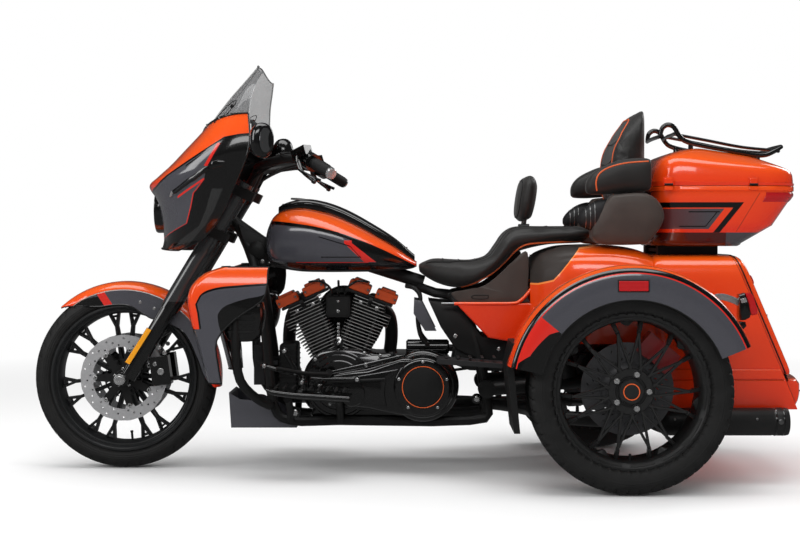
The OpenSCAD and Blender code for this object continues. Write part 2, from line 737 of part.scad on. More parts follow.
// Stations of the tank from front to rear: place along its length, half width, bottom, top
tank_rows = [[0, 88, 738, 846], [0.04, 122, 712, 884], [0.11, 148, 700, 906], [0.24, 163, 690, 914],
    [0.38, 166, 688, 900], [0.53, 160, 688, 870], [0.7, 142, 689, 824], [0.85, 112, 692, 780], [0.96,
        70, 700, 738],
    [1, 42, 708, 724]];
tank_sections = [for (r = smooth(tank_rows, 2)) [tank_front_x - tank_l * r[0], r[1] * tank_half_w / 166,
    r[2], r[3]]];
tunnel_half_w = 36;

module fuel_tank() {
    color([0.9, 0.2, 0.02]) difference() {
        loft([for (r = tank_sections) section_x(r[0], r[1], r[2], r[3], 2.6)]);
        side_plate(concat([for (p = backbone_line) [p[0] + (p[0] > tank_front_x ? 20 : 0),
            p[2] + backbone_r + 9]],
            [[tank_rear_x - 30, 600], [head_x + 28, 600]]), -tunnel_half_w, tunnel_half_w);
    }
}

module tank_console() {
    rows = [for (i = [3 : 17]) tank_sections[i]];
    n = len(rows) - 1;
    color([0.03, 0.03, 0.03]) loft([for (i = [0 : n]) let (r = rows[i], t = i / n)
        section_x(r[0], 14 + 34 * pow(sin(180 * min(0.12 + t * 0.8, 1)), 0.5), r[3] + 0.4,
            r[3] + 8 + 34 * pow(sin(180 * min(0.08 + 0.86 * t, 1)), 0.6), 3)]);
}

// Stations of the seat behind the tank: distance, half width, bottom, top over the rider's or the
// passenger's level
seat_rows = [[14, 60, 690, -8, 0], [60, 112, 655, 5, 0], [130, 165, 634, 2, 0], [200, 190, 642, 0, 0],
    [252, 194, 680, 12, 0], [284, 190, 706, 52, 0], [312, 182, 736, -18, 1], [350, 177, 766, 0, 1],
    [450, 176, 791, 0, 1], [560, 172, 797, 0, 1], [600, 158, 801, -8, 1]];
function seat_level(r) = r[3] + (r[4] == 1 ? passenger_seat_z : rider_seat_z);

module seat() {
    rows = smooth([for (r = seat_rows) [tank_rear_x - r[0], r[1] * seat_half_w / 190, r[2],
        seat_level(r)]], 2);
    color([0.05, 0.05, 0.05]) loft([for (r = rows) section_x(r[0], r[1], r[2], r[3], 3.2, n = 28)]);
}

panel_y = 168;

module seat_side_panels() {
    color([0.16, 0.14, 0.13]) both_sides() side_plate([[tank_rear_x - 148, 586.4], [tank_rear_x - 370,
        586.4],
        [tank_rear_x - 380, 612], [tank_rear_x - 380, 758], [tank_rear_x - 330, 728],
            [tank_rear_x - 290, 690],
        [tank_rear_x - 240, 650], [tank_rear_x - 190, 632], [tank_rear_x - 120, 620]], panel_y,
            panel_y + 14);
}

module side_covers() {
    color([0.9, 0.2, 0.02]) both_sides() side_plate([[tank_rear_x - 134, 586], [tank_rear_x - 398, 586],
        [tank_rear_x - 398, 463], [tank_rear_x - 332, 463], [tank_rear_x - 216, 477]], panel_y,
            panel_y + 22);
}

module rider_backrest() {
    color([0.05, 0.05, 0.05]) {
        loft([for (s = [[866, 90, 12], [880, 118, 24], [930, 132, 30], [990, 126, 29], [1022, 104, 20],
            [1032, 84, 9]])
            section_z(s[0], tank_rear_x - 372 - s[2] - (s[0] - 866) * 0.16, tank_rear_x - 372 + s[2]
                - (s[0] - 866) * 0.16, s[1], e = 3, n = 28)]);
        translate([tank_rear_x - 392, -40, passenger_seat_z + 1.2]) cube([30, 80, 24]);
    }
}

// ---- Rear body ----

trunk_front_x = rear_axle_x - 114;
trunk_z0 = 245;
trunk_z1 = 752;
tail_slope = 0.42;
tail_top_x = trunk_rear_x + tail_slope * (trunk_z1 - trunk_z0);
door_z0 = 348;
// Ring of the trunk: x at the top, shear of the ring backward to its foot, inset from the outer skin
function trunk_ring(x, slope, inset, z0 = trunk_z0, z1 = trunk_z1, hw = trunk_half_w) = [
    for (p = section_x(0, hw - inset, z0 + inset, z1 - inset, 9, 40)) [x - slope * (trunk_z1 - p[2]),
        p[1], p[2]]
];

module trunk_body() {
    mid = (trunk_front_x + tail_top_x) / 2;
    color([0.9, 0.2, 0.02]) loft([
        trunk_ring(trunk_front_x, 0, 14), trunk_ring(trunk_front_x - 14, 0, 0), trunk_ring(mid,
            tail_slope * 0.5, 0),
        trunk_ring(tail_top_x, tail_slope, 0), trunk_ring(tail_top_x, tail_slope, body_wall),
        trunk_ring(mid, tail_slope * 0.5, body_wall), trunk_ring(trunk_front_x - 14 - body_wall, 0,
            body_wall),
        trunk_ring(trunk_front_x - body_wall, 0, 14 + body_wall)]);
}

door_gap = 2;
door_pin_r = 4;
door_pin_x = tail_top_x - tail_slope * (trunk_z1 - door_z0) - door_t - 4;
door_pin_z = door_z0 + 4;
door_hinge_y = 190;

module trunk_door() {
    x0 = tail_top_x - door_gap;
    color([0.9, 0.2, 0.02]) {
        difference() {
            union() {
                loft([trunk_ring(x0, tail_slope, 3, z0 = door_z0), trunk_ring(x0 - door_t * 0.6,
                    tail_slope, 3, z0 = door_z0),
                    trunk_ring(x0 - door_t * 0.9, tail_slope, 8, z0 = door_z0),
                    trunk_ring(x0 - door_t, tail_slope, 20, z0 = door_z0)]);
                both_sides() cross_pin(door_pin_x, door_pin_z, door_hinge_y - 30, door_hinge_y + 30,
                    door_pin_r + 5);
                both_sides() translate([door_pin_x, door_hinge_y - 30, door_pin_z]) cube([16, 60, 9]);
            }
            both_sides() cross_pin(door_pin_x, door_pin_z, door_hinge_y - 40, door_hinge_y + 40,
                door_pin_r + 0.1);
        }
    }
}

bumper_half_w = trunk_half_w - 12;
bumper_bulge = 34; // of the bumper's middle behind its ends

lug_z = 330; // foot of the lugs that hold the door's pins
lug_t = 11;

module rear_bumper() {
    foot_x = tail_top_x - tail_slope * (trunk_z1 - 300);
    color([0.8, 0.18, 0.02]) {
        difference() {
            loft([for (k = [-6 : 6]) let (y = bumper_half_w * k / 6,
                bulge = bumper_bulge * (1 - pow(k / 6, 2)))
                [for (p = [[foot_x + 60, 238], [foot_x - 22, 250], [foot_x - 34, 290], [foot_x - 34, 322],
                    [foot_x - 18, 338], [door_pin_x + 12, 338]]) [p[0] - bulge, y, p[1]]]]);
            trunk_space(0.8);
            both_sides() cross_pin(door_pin_x, door_pin_z, door_hinge_y - 31, door_hinge_y + 31, 20);
        }
        both_sides() for (s = [-1, 1])
            translate([door_pin_x - lug_t / 2, door_hinge_y + s * 35 - 4, lug_z])
                cube([lug_t, 8, door_pin_z - lug_z + 5]);
        both_sides() cross_pin(door_pin_x, door_pin_z, door_hinge_y - 34, door_hinge_y + 34, door_pin_r);
    }
}

// What the trunk's tub fills, grown by gap
module trunk_space(gap) {
    loft([trunk_ring(trunk_front_x, 0, -gap), trunk_ring((trunk_front_x + tail_top_x) / 2,
        tail_slope * 0.5, -gap),
        trunk_ring(tail_top_x - gap, tail_slope, -gap)]);
}

// Stations of the deck behind the seat: distance from the rear axle forward, half width, top
deck_rows = [[284, 195.8, 722], [236, 256, 762], [176, 300, 780], [106, 326, 785], [20, 330, 785], [-60,
    330, 774],
    [-121, 330, 753]];
deck_z0 = 455;

module rear_deck() {
    function arch(r, inset) = [for (k = [0 : 20]) let (a = 180 * k / 20)
        [rear_axle_x + r[0], (inset - r[1]) * signed_power(cos(a), 2 / 9),
            deck_z0 + (r[2] - inset - deck_z0) * signed_power(sin(a), 2 / 9)]];
    rows = smooth(deck_rows, 2);
    color([0.9, 0.2, 0.02]) sheet([for (r = rows) arch(r, 0)], [for (r = rows) arch(r, body_wall)]);
}

fender_inner_y = trunk_half_w + 0.3;
fender_clear = 22; // over the rear tyres
flare_lip = 34; // the flare reaches this far down over the tyre's side

module rear_fenders() {
    r = rear_r + fender_clear;
    w = body_half_w;
    color([0.9, 0.2, 0.02]) both_sides() translate([rear_axle_x, 0, rear_r]) rotate([90, 0, 0])
        rotate_extrude(angle = 152, start = 12, $fn = 96) mirror([0, 1]) polygon([
            [r, fender_inner_y], [r + 34, fender_inner_y], [r + 40, w - 240], [r + 50, w - 120],
                [r + 52, w - 60],
            [r + 40, w - 26], [r + 20, w - 12.3], [r + 20, w - 12.3 - body_wall], [r + 36, w - 33],
                [r + 46, w - 64],
            [r + 44, w - 120], [r + 34, w - 238], [r + 28, fender_inner_y + body_wall],
            [r, fender_inner_y + body_wall]]);
}

module fender_flares() {
    r = rear_r + fender_clear;
    w = body_half_w;
    color([0.2, 0.2, 0.21]) both_sides() {
        translate([rear_axle_x, 0, rear_r]) rotate([90, 0, 0])
            rotate_extrude(angle = 152, start = 12, $fn = 96) mirror([0, 1]) polygon([
                [r + 46, w - 25], [r + 38, w - 10], [r, w], [rear_r - flare_lip, w],
                    [rear_r - flare_lip, w - 6],
                [r, w - 6], [r + 19.7, w - 12]]);
        difference() {
            side_plate([[rear_axle_x + 350, 195], [rear_axle_x + 368, 195], [rear_axle_x + 392, 400],
                [rear_axle_x + 372, 480], [rear_axle_x + 352, 480], [rear_axle_x + 368, 400]],
                    board_y1 - 4, w - 60);
            translate([rear_axle_x, 0, rear_r]) rotate([90, 0, 0]) translate([0, 0, -w]) difference() {
                cylinder(h = w - fender_inner_y + 20, r = r + 60, $fn = 96);
                translate([0, 0, -1]) cylinder(h = w, r = r - 0.5, $fn = 96);
                rotate([0, 0, 12]) translate([-600, -900, -1]) cube([1200, 899, 1000]);
            }
        }
    }
}

tail_lamp_z = 577; // middle height of the tail lamps

module rear_lamps() {
    color([0.7, 0.02, 0.02]) both_sides() {
        loft([for (s = [[0, 18, -55, -3], [-10, 24, -60, 60], [-50, 24, -60, 60], [-60, 16, -40, 40]])
            section_x(rear_axle_x - 345 + s[0], s[1], tail_lamp_z + s[2], tail_lamp_z + s[3], 3, 20,
                y0 = 560)]);
    }
}

plate_z = 432;
plate_h = 110;
plate_w = 184;
plate_hole_y = 146; // between the two columns of screw holes
plate_hole_z = 70; // between the two rows of screw holes
plate_hole_r = 3.5;
// Outer face of the door at height z
function door_face(z) = tail_top_x - tail_slope * (trunk_z1 - z) - door_gap - door_t;
plate_x = door_face(plate_z) - 6;

module number_plate() {
    color([0.8, 0.8, 0.8]) {
        difference() {
            translate([plate_x - 3, -plate_w / 2, plate_z]) cube([3, plate_w, plate_h]);
            for (y = [-1, 1]) for (z = [-1, 1])
                translate([plate_x - 5, y * plate_hole_y / 2, plate_z + plate_h / 2 + z * plate_hole_z / 2])
                    rotate([0, 90, 0]) cylinder(h = 8, r = plate_hole_r);
        }
        both_sides() side_plate([[plate_x - 1, plate_z + 20], [door_face(plate_z + 20) - seat_gap,
            plate_z + 20],
            [door_face(plate_z + 84) - seat_gap, plate_z + 84], [plate_x - 1, plate_z + 84]], 28, 38);
    }
}

// ---- Top box ----

lid_gap = 1.5;
lid_front_h = 162;
lid_rear_h = 84;
// Ring of the box at height t between its floor (0) and its split (1)
box_taper = 175; // the box's floor ends this far ahead of its rear end
function box_ring(z, t, inset) = section_z(z, box_rear_x + box_taper * (1 - t) + inset,
    box_front_x - 8 * (1 - t) - inset,
    box_half_w - 26 * (1 - t) - inset, 5, 40);
function lid_height(x) = lid_rear_h + (lid_front_h - lid_rear_h) * (x - box_rear_x)
    / (box_front_x - box_rear_x);
// Ring of the lid, t from the split (0) to the top (1)
function lid_ring(t, side_inset, top_inset) = [
    for (p = section_z(0, box_rear_x + 24 * t * t + side_inset, box_front_x - 60 * t - side_inset,
        box_half_w - 30 * t * t - side_inset, 5, 40))
        [p[0], p[1], box_split_z + lid_gap + t * (lid_height(p[0]) - top_inset)]
];

module top_box() {
    z0 = box_floor_z;
    z1 = box_split_z;
    w = box_wall;
    color([0.9, 0.2, 0.02]) {
        difference() {
            loft([box_ring(z0, 0, 12), box_ring(z0 + 10, 0, 0), box_ring(z0 + 70, 0.6, 0),
                box_ring(z1 - 30, 1, 0),
                box_ring(z1, 1, 0), box_ring(z1, 1, w), box_ring(z1 - 30, 1, w), box_ring(z0 + 70, 0.6, w),
                box_ring(z0 + 10, 0, w), box_ring(z0 + w, 0, 12 + w)]);
            lid_hinge_cut();
        }
        for (x = lid_hinge_x) for (s = [-1, 1]) difference() {
            translate([x + s * 24 - 5, box_half_w - 5, lid_pin_z - 42])
                cube([10, lid_pin_y - box_half_w + 13, 50]);
            translate([x - 60, 0, 0]) box_hollow();
            translate([x - 60, 0, box_split_z - 1]) cube([120, box_half_w + 2, 60]);
        }
        for (x = lid_hinge_x) translate([x - 29, lid_pin_y, lid_pin_z]) rotate([0, 90, 0])
            cylinder(h = 58, r = lid_pin_r);
    }
}

lid_pin_y = box_half_w + 10;
lid_pin_z = box_split_z + 3;
lid_hinge_x = [box_front_x - 110, box_rear_x + 110];

module box_hollow() translate([-400, -400, 0]) cube([900, 400 + box_half_w - box_wall + 1, 1200]);
module lid_hinge_cut() for (x = lid_hinge_x) translate([x - 19.5, box_half_w - 20, lid_pin_z - 12])
    cube([39, 60, 30]);

module top_box_lid() {
    w = box_wall;
    color([0.9, 0.2, 0.02]) difference() {
        union() {
            loft([lid_ring(1, 45, w), lid_ring(0.8, w + 8, w), lid_ring(0.5, w, w), lid_ring(0, w, w),
                lid_ring(0, 0, 0), lid_ring(0.5, 0, 0), lid_ring(0.82, 8, 0), lid_ring(1, 40, 0)]);
            for (x = lid_hinge_x) {
                translate([x - 18, lid_pin_y, lid_pin_z]) rotate([0, 90, 0]) cylinder(h = 36,
                    r = lid_pin_r + 4);
                translate([x - 18, box_half_w - 3, lid_pin_z]) cube([36, 13, 9]);
            }
        }
        for (x = lid_hinge_x) translate([x - 40, lid_pin_y, lid_pin_z]) rotate([0, 90, 0])
            cylinder(h = 80, r = lid_pin_r + 0.1);
    }
}

rack_tube_r = 7;
rack_y = 150;
rack_lift = 44;
rack_x0 = box_front_x - 90;
rack_x1 = box_rear_x + 40;

module luggage_rack() {
    function top_z(x) = box_split_z + lid_gap + lid_height(x);
    function at(x, y, h = rack_lift) = [x, y, top_z(x) + h];
    bars = 4;
    color([0.03, 0.03, 0.03]) {
        both_sides() {
            bent_bar([at(rack_x0, rack_y), at((rack_x0 + rack_x1) / 2, rack_y), at(rack_x1, rack_y)],
                rack_tube_r);
            for (x = [rack_x0 - 30, rack_x1 + 50]) translate(at(x, rack_y, 1.6))
                cylinder(h = rack_lift - 1.6, r = rack_tube_r);
        }
        for (k = [0 : bars]) let (x = rack_x0 + 5 + (rack_x1 - rack_x0 - 10) * k / bars)
            bar(at(x, -rack_y), at(x, rack_y), rack_tube_r - 1);
    }
}

module top_box_mount() {
    color([0.05, 0.05, 0.05]) {
        both_sides() translate([tail_top_x + 20, 120, trunk_z1 + seat_gap])
            cube([trunk_front_x - tail_top_x - 60, 50, box_floor_z - trunk_z1 - 2 * seat_gap]);
        for (x = [tail_top_x + 40, trunk_front_x - 90]) translate([x, -130, trunk_z1 + 8])
            cube([40, 260, 12]);
    }
}

rest_front_x = box_front_x + 0.3;
rest_lid_gap = 6; // between the backrest and the path of the opening lid

module passenger_backrest() {
    color([0.05, 0.05, 0.05]) {
        loft([for (s = [[905, 150, 60], [925, 196, 88], [1000, 206, 92], [1100, 200, 88], [1200, 176, 72],
            [1242, 130, 42], [1256, 90, 20]])
            section_z(s[0], rest_front_x + rest_lid_gap, rest_front_x + rest_lid_gap + s[2], s[1],
                e = 3, n = 28)]);
        both_sides() difference() {
            loft([for (s = [[222, 14, 964, 985], [212, 30, 954, 1000], [180, 44, 950, 1034], [100, 50,
                950, 1074],
            [20, 44, 955, 1086], [0, 36, 965, 1080]])
            section_x(rest_front_x + 8 + s[0], s[1], s[2], s[3], 3, n = 24, y0 = 250.8)]);
            box_space(0.5);
        }
        translate([rest_front_x, -90, 930]) cube([20, 180, 20]);
    }
}

module speaker_pods() {
    color([0.17, 0.15, 0.14]) both_sides() difference() {
        loft([for (s = [[192, 26, 830, 920], [175, 44, 800, 938], [110, 54, 786, 940], [12, 50, 786, 942],
            [-40, 44, 790, 940]]) section_x(rest_front_x + s[0], s[1], s[2], s[3], 4, n = 24, y0 = 262)]);
        box_space(0.5);
    }
}

// What the box fills below its lid, grown by gap
module box_space(gap) {
    loft([box_ring(box_floor_z - 1, 0, -gap), box_ring(box_floor_z + 70, 0.6, -gap),
        box_ring(box_split_z - 30, 1, -gap), box_ring(box_split_z + 1, 1, -gap)]);
}

// ---- Exhaust, boards and running gear ----

module exhaust() {
    pipe_r = 24;
    low_z = 203;
    color([0.04, 0.04, 0.04]) {
        bent_bar(smooth([[crank_x + 115, -84, crank_z + 278], [crank_x + 122, -112, crank_z + 276],
            [crank_x + 176, -160, crank_z + 220], [crank_x + 190, -182, crank_z + 80], [crank_x + 130,
                -184, 240],
            [crank_x, -184, low_z], [crank_x - 250, -184, low_z], [crank_x - 500, -190, low_z],
                [rear_axle_x + 240, -250, low_z],
            [rear_axle_x + 60, -330, low_z], [rear_axle_x - 120, -muffler_y, low_z]], 4), pipe_r,
                ref = [0, 0.3, 1]);
        bent_bar(smooth([[crank_x - 460, -188, low_z], [crank_x - 560, -170, low_z], [crank_x - 660, 0,
            low_z],
            [rear_axle_x + 220, 200, low_z], [rear_axle_x + 60, 330, low_z], [rear_axle_x - 120,
                muffler_y, low_z]], 4),
            pipe_r, ref = [0, 0, 1]);
        bent_bar(smooth([[crank_x - 115, -84, crank_z + 278], [crank_x - 124, -112, crank_z + 274],
            [crank_x - 172, -160, crank_z + 215], [crank_x - 170, -184, crank_z + 90], [crank_x - 120,
                -186, 240],
            [crank_x - 60, -184, low_z]], 4),
            pipe_r, ref = [0, 0.3, 1]);
        for (s = [-1, 1]) difference() {
            translate([rear_axle_x - 100, s * muffler_y, low_z]) rotate([0, -90, 0]) rotate_extrude()
                polygon([
                [0, 0], [pipe_r, 0], [muffler_r, 50], [muffler_r, 430], [muffler_r - 6, 450], [0, 450]]);
            translate([rear_axle_x - 480, s * muffler_y, low_z]) rotate([0, -90, 0]) cylinder(h = 100,
                r = muffler_r - 8);
        }
        both_sides() translate([rear_axle_x - 300, trunk_half_w - 40, low_z + 10])
            cube([60, 46, trunk_z0 - low_z - 10.3]);
    }
}

board_y0 = 236;
board_y1 = 384;

module rider_footboards() {
    color([0.04, 0.04, 0.04]) both_sides() {
        side_plate([[crank_x - 50, 262], [crank_x - 46, 276], [crank_x + 190, 296], [crank_x + 226, 312],
            [crank_x + 232, 302], [crank_x + 194, 282]], board_y0, board_y1);
        for (b = [[crank_x - 6, 268], [crank_x + 150, 282]]) translate([b[0], rail_y + 17, rail_z - 19]) {
            cube([22, board_y0 - rail_y - 10, 15]);
            translate([0, board_y0 - rail_y - 34, 0]) cube([22, 24, b[1] - rail_z + 19]);
        }
    }
}

module passenger_footboards() {
    color([0.04, 0.04, 0.04]) both_sides() {
        side_plate([[tank_rear_x - 300, 376], [tank_rear_x - 300, 392], [tank_rear_x - 76, 410],
            [tank_rear_x - 66, 402], [tank_rear_x - 70, 392]], 244, 372);
        translate([tank_rear_x - 239, rail_y + 18.2, 372]) cube([34, 130, 14]);
    }
}

module foot_controls() {
    color([0.1, 0.1, 0.1]) {
        bent_bar(smooth([[crank_x + 30, primary_y1 + 18, 345], [crank_x + 110, 262, 352],
            [crank_x + 200, 300, 372]], 3), 7);
        cross_pin(crank_x + 30, 349, primary_y1 + seat_gap, primary_y1 + 24, 12);
        bar([crank_x + 30, primary_y1 + 14, 318], [clutch_x + 130, primary_y1 + 14, 328], 5);
        translate([crank_x + 23, primary_y1 + 7, 314]) cube([14, 14, 24]);
    }
}

arm_y = 172;
pivot_z = 290;
housing_r = 38;

module rear_suspension() {
    color([0.05, 0.05, 0.05]) {
        difference() {
            both_sides() {
                bar([rail_rear_x + 4, arm_y, pivot_z], [rear_axle_x + 20, arm_y, rear_r], 24);
                cross_pin(rail_rear_x + 4, pivot_z, rail_y + 17.4, arm_y + 26, 30);
            }
            cross_pin(rear_axle_x, rear_r, -460, 460, housing_r + 0.2);
        }
        both_sides() {
            bar([rear_axle_x + 150, arm_y + 4, 330], [rear_axle_x + 214, arm_y - 10, 600], 28);
            bar([rear_axle_x + 190, arm_y - 6, 520], [rear_axle_x + 222, arm_y - 14, 622], 14);
        }
    }
}

flange_y = 452;

module rear_axle() {
    color([0.08, 0.08, 0.08]) {
        cross_pin(rear_axle_x, rear_r, -flange_y, flange_y, housing_r);
        cross_pin(rear_axle_x, rear_r, -70, 60, 108);
        both_sides() {
            cross_pin(rear_axle_x, rear_r, flange_y - 12, flange_y, 66);
            cross_pin(rear_axle_x, rear_r, flange_y - 1, rear_wheel_y + 15, stub_r);
        }
    }
}

module rear_calipers() {
    disc_y = rear_wheel_y - 30;
    color([0.45, 0.03, 0.03]) both_sides() difference() {
        translate([rear_axle_x, 0, rear_r]) rotate([0, -130, 0]) {
            translate([112, disc_y - 32, -62]) cube([76, 60, 124]);
            translate([50, flange_y - 12, -30]) cube([80, 12, 60]);
            translate([118, flange_y - 12, -30]) cube([30, disc_y - flange_y, 60]);
        }
        cross_pin(rear_axle_x, rear_r, disc_y - 18.4, disc_y + 18.4, rear_disc_d / 2 + 5.4);
        cross_pin(rear_axle_x, rear_r, flange_y + 1, disc_y + 60, rear_disc_d / 2 - 40 + 6);
        cross_pin(rear_axle_x, rear_r, flange_y - 20, flange_y + 2, 66.3);
    }
}

belt_y0 = 78;
belt_y1 = 104;
belt_front = [crank_x - 350, crank_z];

module drive_belt() {
    rear = [rear_axle_x, rear_r];
    color([0.03, 0.03, 0.03]) {
        translate([0, belt_y1, 0]) rotate([90, 0, 0]) linear_extrude(belt_y1 - belt_y0) difference() {
            link_outline(belt_front, 46, rear, 96);
            link_outline(belt_front, 38, rear, 88);
        }
        difference() {
            cross_pin(rear[0], rear[1], belt_y0 + 2, belt_y1 - 2, 88.5);
            cross_pin(rear[0], rear[1], belt_y0, belt_y1, housing_r + 0.2);
        }
        cross_pin(belt_front[0], belt_front[1], belt_y0 + 2, belt_y1 - 2, 38.5);
        cross_pin(belt_front[0], belt_front[1], 60.3, belt_y1 - 2, 14);
    }
}

frame();
engine_case();
cylinders();
rocker_covers();
primary_cover();
air_cleaner();
oil_cooler();
chin_spoiler();
engine_guard();
lower_fairings();
fairing_pods();
fuel_tank();
tank_console();
seat();
seat_side_panels();
rider_backrest();
trunk_body();
rear_deck();
rear_fenders();
fender_flares();
rear_bumper();
side_covers();
top_box();
top_box_mount();
passenger_backrest();
speaker_pods();
exhaust();
rider_footboards();
passenger_footboards();
foot_controls();
rear_suspension();
rear_axle();
rear_calipers();
drive_belt();
rear_lamps();
number_plate();
fork_yokes();
fork_legs();
front_axle();
front_fender();
front_calipers();
handlebar();
hand_controls();
fairing_shell();
instrument_panel();
windshield();
mirrors();
headlamp();
front_tyre();
front_wheel();
rear_left_tyre();
rear_left_wheel();
rear_right_tyre();
rear_right_wheel();
top_box_lid();
luggage_rack();
trunk_door();
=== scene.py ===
import json
import math
import bpy
import bmesh
import numpy as np
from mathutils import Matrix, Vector
from mathutils.bvhtree import BVHTree
from mathutils.geometry import delaunay_2d_cdt


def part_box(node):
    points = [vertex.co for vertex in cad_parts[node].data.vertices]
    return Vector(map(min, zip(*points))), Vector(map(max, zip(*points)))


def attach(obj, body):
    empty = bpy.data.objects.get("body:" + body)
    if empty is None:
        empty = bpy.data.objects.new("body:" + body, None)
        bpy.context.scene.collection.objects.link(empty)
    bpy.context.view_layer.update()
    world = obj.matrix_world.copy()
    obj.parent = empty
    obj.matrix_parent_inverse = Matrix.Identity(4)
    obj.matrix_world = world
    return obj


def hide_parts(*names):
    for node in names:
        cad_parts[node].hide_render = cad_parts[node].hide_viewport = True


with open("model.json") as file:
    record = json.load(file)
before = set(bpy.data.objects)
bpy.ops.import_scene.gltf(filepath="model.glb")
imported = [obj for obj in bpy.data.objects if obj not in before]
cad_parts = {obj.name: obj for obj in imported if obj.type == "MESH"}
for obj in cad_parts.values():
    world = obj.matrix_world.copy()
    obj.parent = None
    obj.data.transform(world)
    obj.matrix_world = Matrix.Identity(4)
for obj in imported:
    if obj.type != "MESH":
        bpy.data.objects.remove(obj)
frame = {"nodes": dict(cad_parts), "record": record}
replaced = set()
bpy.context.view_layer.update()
print("frame loaded:", len(frame["nodes"]), "nodes")

bodyOf = {node: body for body, nodes in frame["record"]["behaviour"]["bodies"].items() for node in nodes}
slotOf = {part["node"]: part["material_slot"] for part in frame["record"]["subparts"]}


def middle(node):
    low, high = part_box(node)
    return (np.array(low) + np.array(high)) / 2


frontAxle = middle("front_wheel")
rearAxle = middle("rear_left_wheel") * (1, 0, 1)
wheelY = middle("rear_left_tyre")[1]
rearX = rearAxle[0]

# shapes as numpy arrays


# Catmull-Rom line through the points, any number of columns, steps pieces between two of them
def smoothLine(points, steps=4):
    p = np.asarray(points, float)
    q = np.vstack([p[:1], p, p[-1:]])
    a, b, c, d = (q[k:k + len(p) - 1, None] for k in range(4))
    t = (np.arange(steps) / steps)[None, :, None]
    line = .5 * (2 * b + (c - a) * t + (2 * a - 5 * b + 4 * c - d) * t**2 + (3 * b - a - 3 * c + d) * t**3)
    return np.vstack([line.reshape(-1, p.shape[1]), p[-1:]])


def signedPower(v, e):
    return np.sign(v) * np.abs(v) ** e


# superellipse |u|^e + |v|^e = 1 as cosine and sine with the power 2/e; e may be an array
def superCircle(n, e, start=0.0):
    a = start + 2 * np.pi * np.arange(n) / n
    return signedPower(np.cos(a), 2 / e), signedPower(np.sin(a), 2 / e)


# rings across X: station rows of x, half width, bottom, top
def ringsX(rows, e=2.6, n=64, y0=0.0):
    x, half, low, high = (np.asarray(rows, float)[:, k:k + 1] for k in range(4))
    c, s = superCircle(n, e)
    y = y0 - half * c
    z = (low + high) / 2 + (high - low) / 2 * s
    return np.stack([np.broadcast_to(x, y.shape), y, z], -1)


# rings across Z: station rows of z, rear x, front x, half width
def ringsZ(rows, e=3.0, n=64, y0=0.0):
    z, x0, x1, half = (np.asarray(rows, float)[:, k:k + 1] for k in range(4))
    c, s = superCircle(n, e)
    x = (x0 + x1) / 2 + (x1 - x0) / 2 * c
    y = y0 + half * s
    return np.stack([x, y, np.broadcast_to(z, x.shape)], -1)


# quads of an m by n grid whose rows may close on themselves
def gridQuads(m, n, around=True):
    i, k = np.meshgrid(np.arange(m - 1), np.arange(n if around else n - 1), indexing="ij")
    a, b = i * n + k, i * n + (k + 1) % n
    return np.stack([a, b, b + n, a + n], -1).reshape(-1, 4)


# part = (points, list of faces)
def loft(rings, caps=True):
    rings = np.asarray(rings, float)
    m, n = rings.shape[:2]
    faces = gridQuads(m, n).tolist()
    if caps:
        faces += [list(range(n))[::-1], list(range((m - 1) * n, m * n))]
    return rings.reshape(-1, 3), faces


# closed wall between an outer and an inner grid of the same size
def wall(outer, inner):
    rim = np.concatenate([np.asarray(outer, float), np.asarray(inner, float)[:, ::-1]], axis=1)
    return loft(rim)


def unit(v):
    v = np.asarray(v, float)
    return v / np.maximum(np.linalg.norm(v, axis=-1, keepdims=True), 1e-12)


# frames along a path: the first side vector is carried from point to point so that the tube doesn't twist
def framesAlong(path):
    path = np.asarray(path, float)
    tangents = unit(np.gradient(path, axis=0))
    side = np.cross(tangents[0], [0, 0, 1.0] if abs(tangents[0][2]) < .9 else [0, 1.0, 0])
    sides = []
    for t in tangents:
        side = side - t * (side @ t)
        side = side / np.linalg.norm(side)
        sides.append(side)
    u = np.array(sides)
    return u, np.cross(tangents, u)


# round tube: path + radius * (cos a * u + sin a * v); radius may change along the path
def tube(path, radius, sides=16, caps=True):
    path = np.asarray(path, float)
    u, v = framesAlong(path)
    a = 2 * np.pi * np.arange(sides) / sides
    r = np.broadcast_to(np.asarray(radius, float), (len(path),))[:, None, None]
    rings = path[:, None] + r * (np.cos(a)[None, :, None] * u[:, None] + np.sin(a)[None, :, None] * v[:, None])
    return loft(rings, caps)


# profile (k, 2) of side and up offsets carried along a path, up being the given vector
def sweep(path, profile, up=(0, 0, 1), scale=None):
    path = np.asarray(path, float)
    profile = np.asarray(profile, float)
    t = unit(np.gradient(path, axis=0))
    side = unit(np.cross(t, np.asarray(up, float)))
    top = np.cross(side, t)
    s = np.ones(len(path)) if scale is None else np.asarray(scale, float)
    s = s[:, None, None]
    return loft(path[:, None] + s * (profile[None, :, :1] * side[:, None] + profile[None, :, 1:] * top[:, None]))


# two vectors square to an axis
def crossAxes(axis):
    axis = unit(axis)
    other = np.array([0, 0, 1.0]) if abs(axis[2]) < .9 else np.array([1.0, 0, 0])
    u = unit(np.cross(other, axis))
    return u, np.cross(axis, u)


# profile rows of distance along the axis and radius, turned round the axis
def spun(profile, centre, axis=(0, 1, 0), sides=64):
    profile = np.asarray(profile, float)
    axis = unit(axis)
    u, v = crossAxes(axis)
    a = 2 * np.pi * np.arange(sides) / sides
    ring = np.cos(a)[:, None] * u + np.sin(a)[:, None] * v
    rings = np.asarray(centre, float) + profile[:, None, :1] * axis + profile[:, None, 1:] * ring[None]
    return loft(rings, caps=True)


# closed ring profile turned round the axis, as a tyre or rim
def turned(profile, centre, axis=(0, 1, 0), sides=96):
    profile = np.asarray(profile, float)
    points, faces = spun(np.vstack([profile, profile[:1]]), centre, axis, sides)
    return points, faces[:-2]


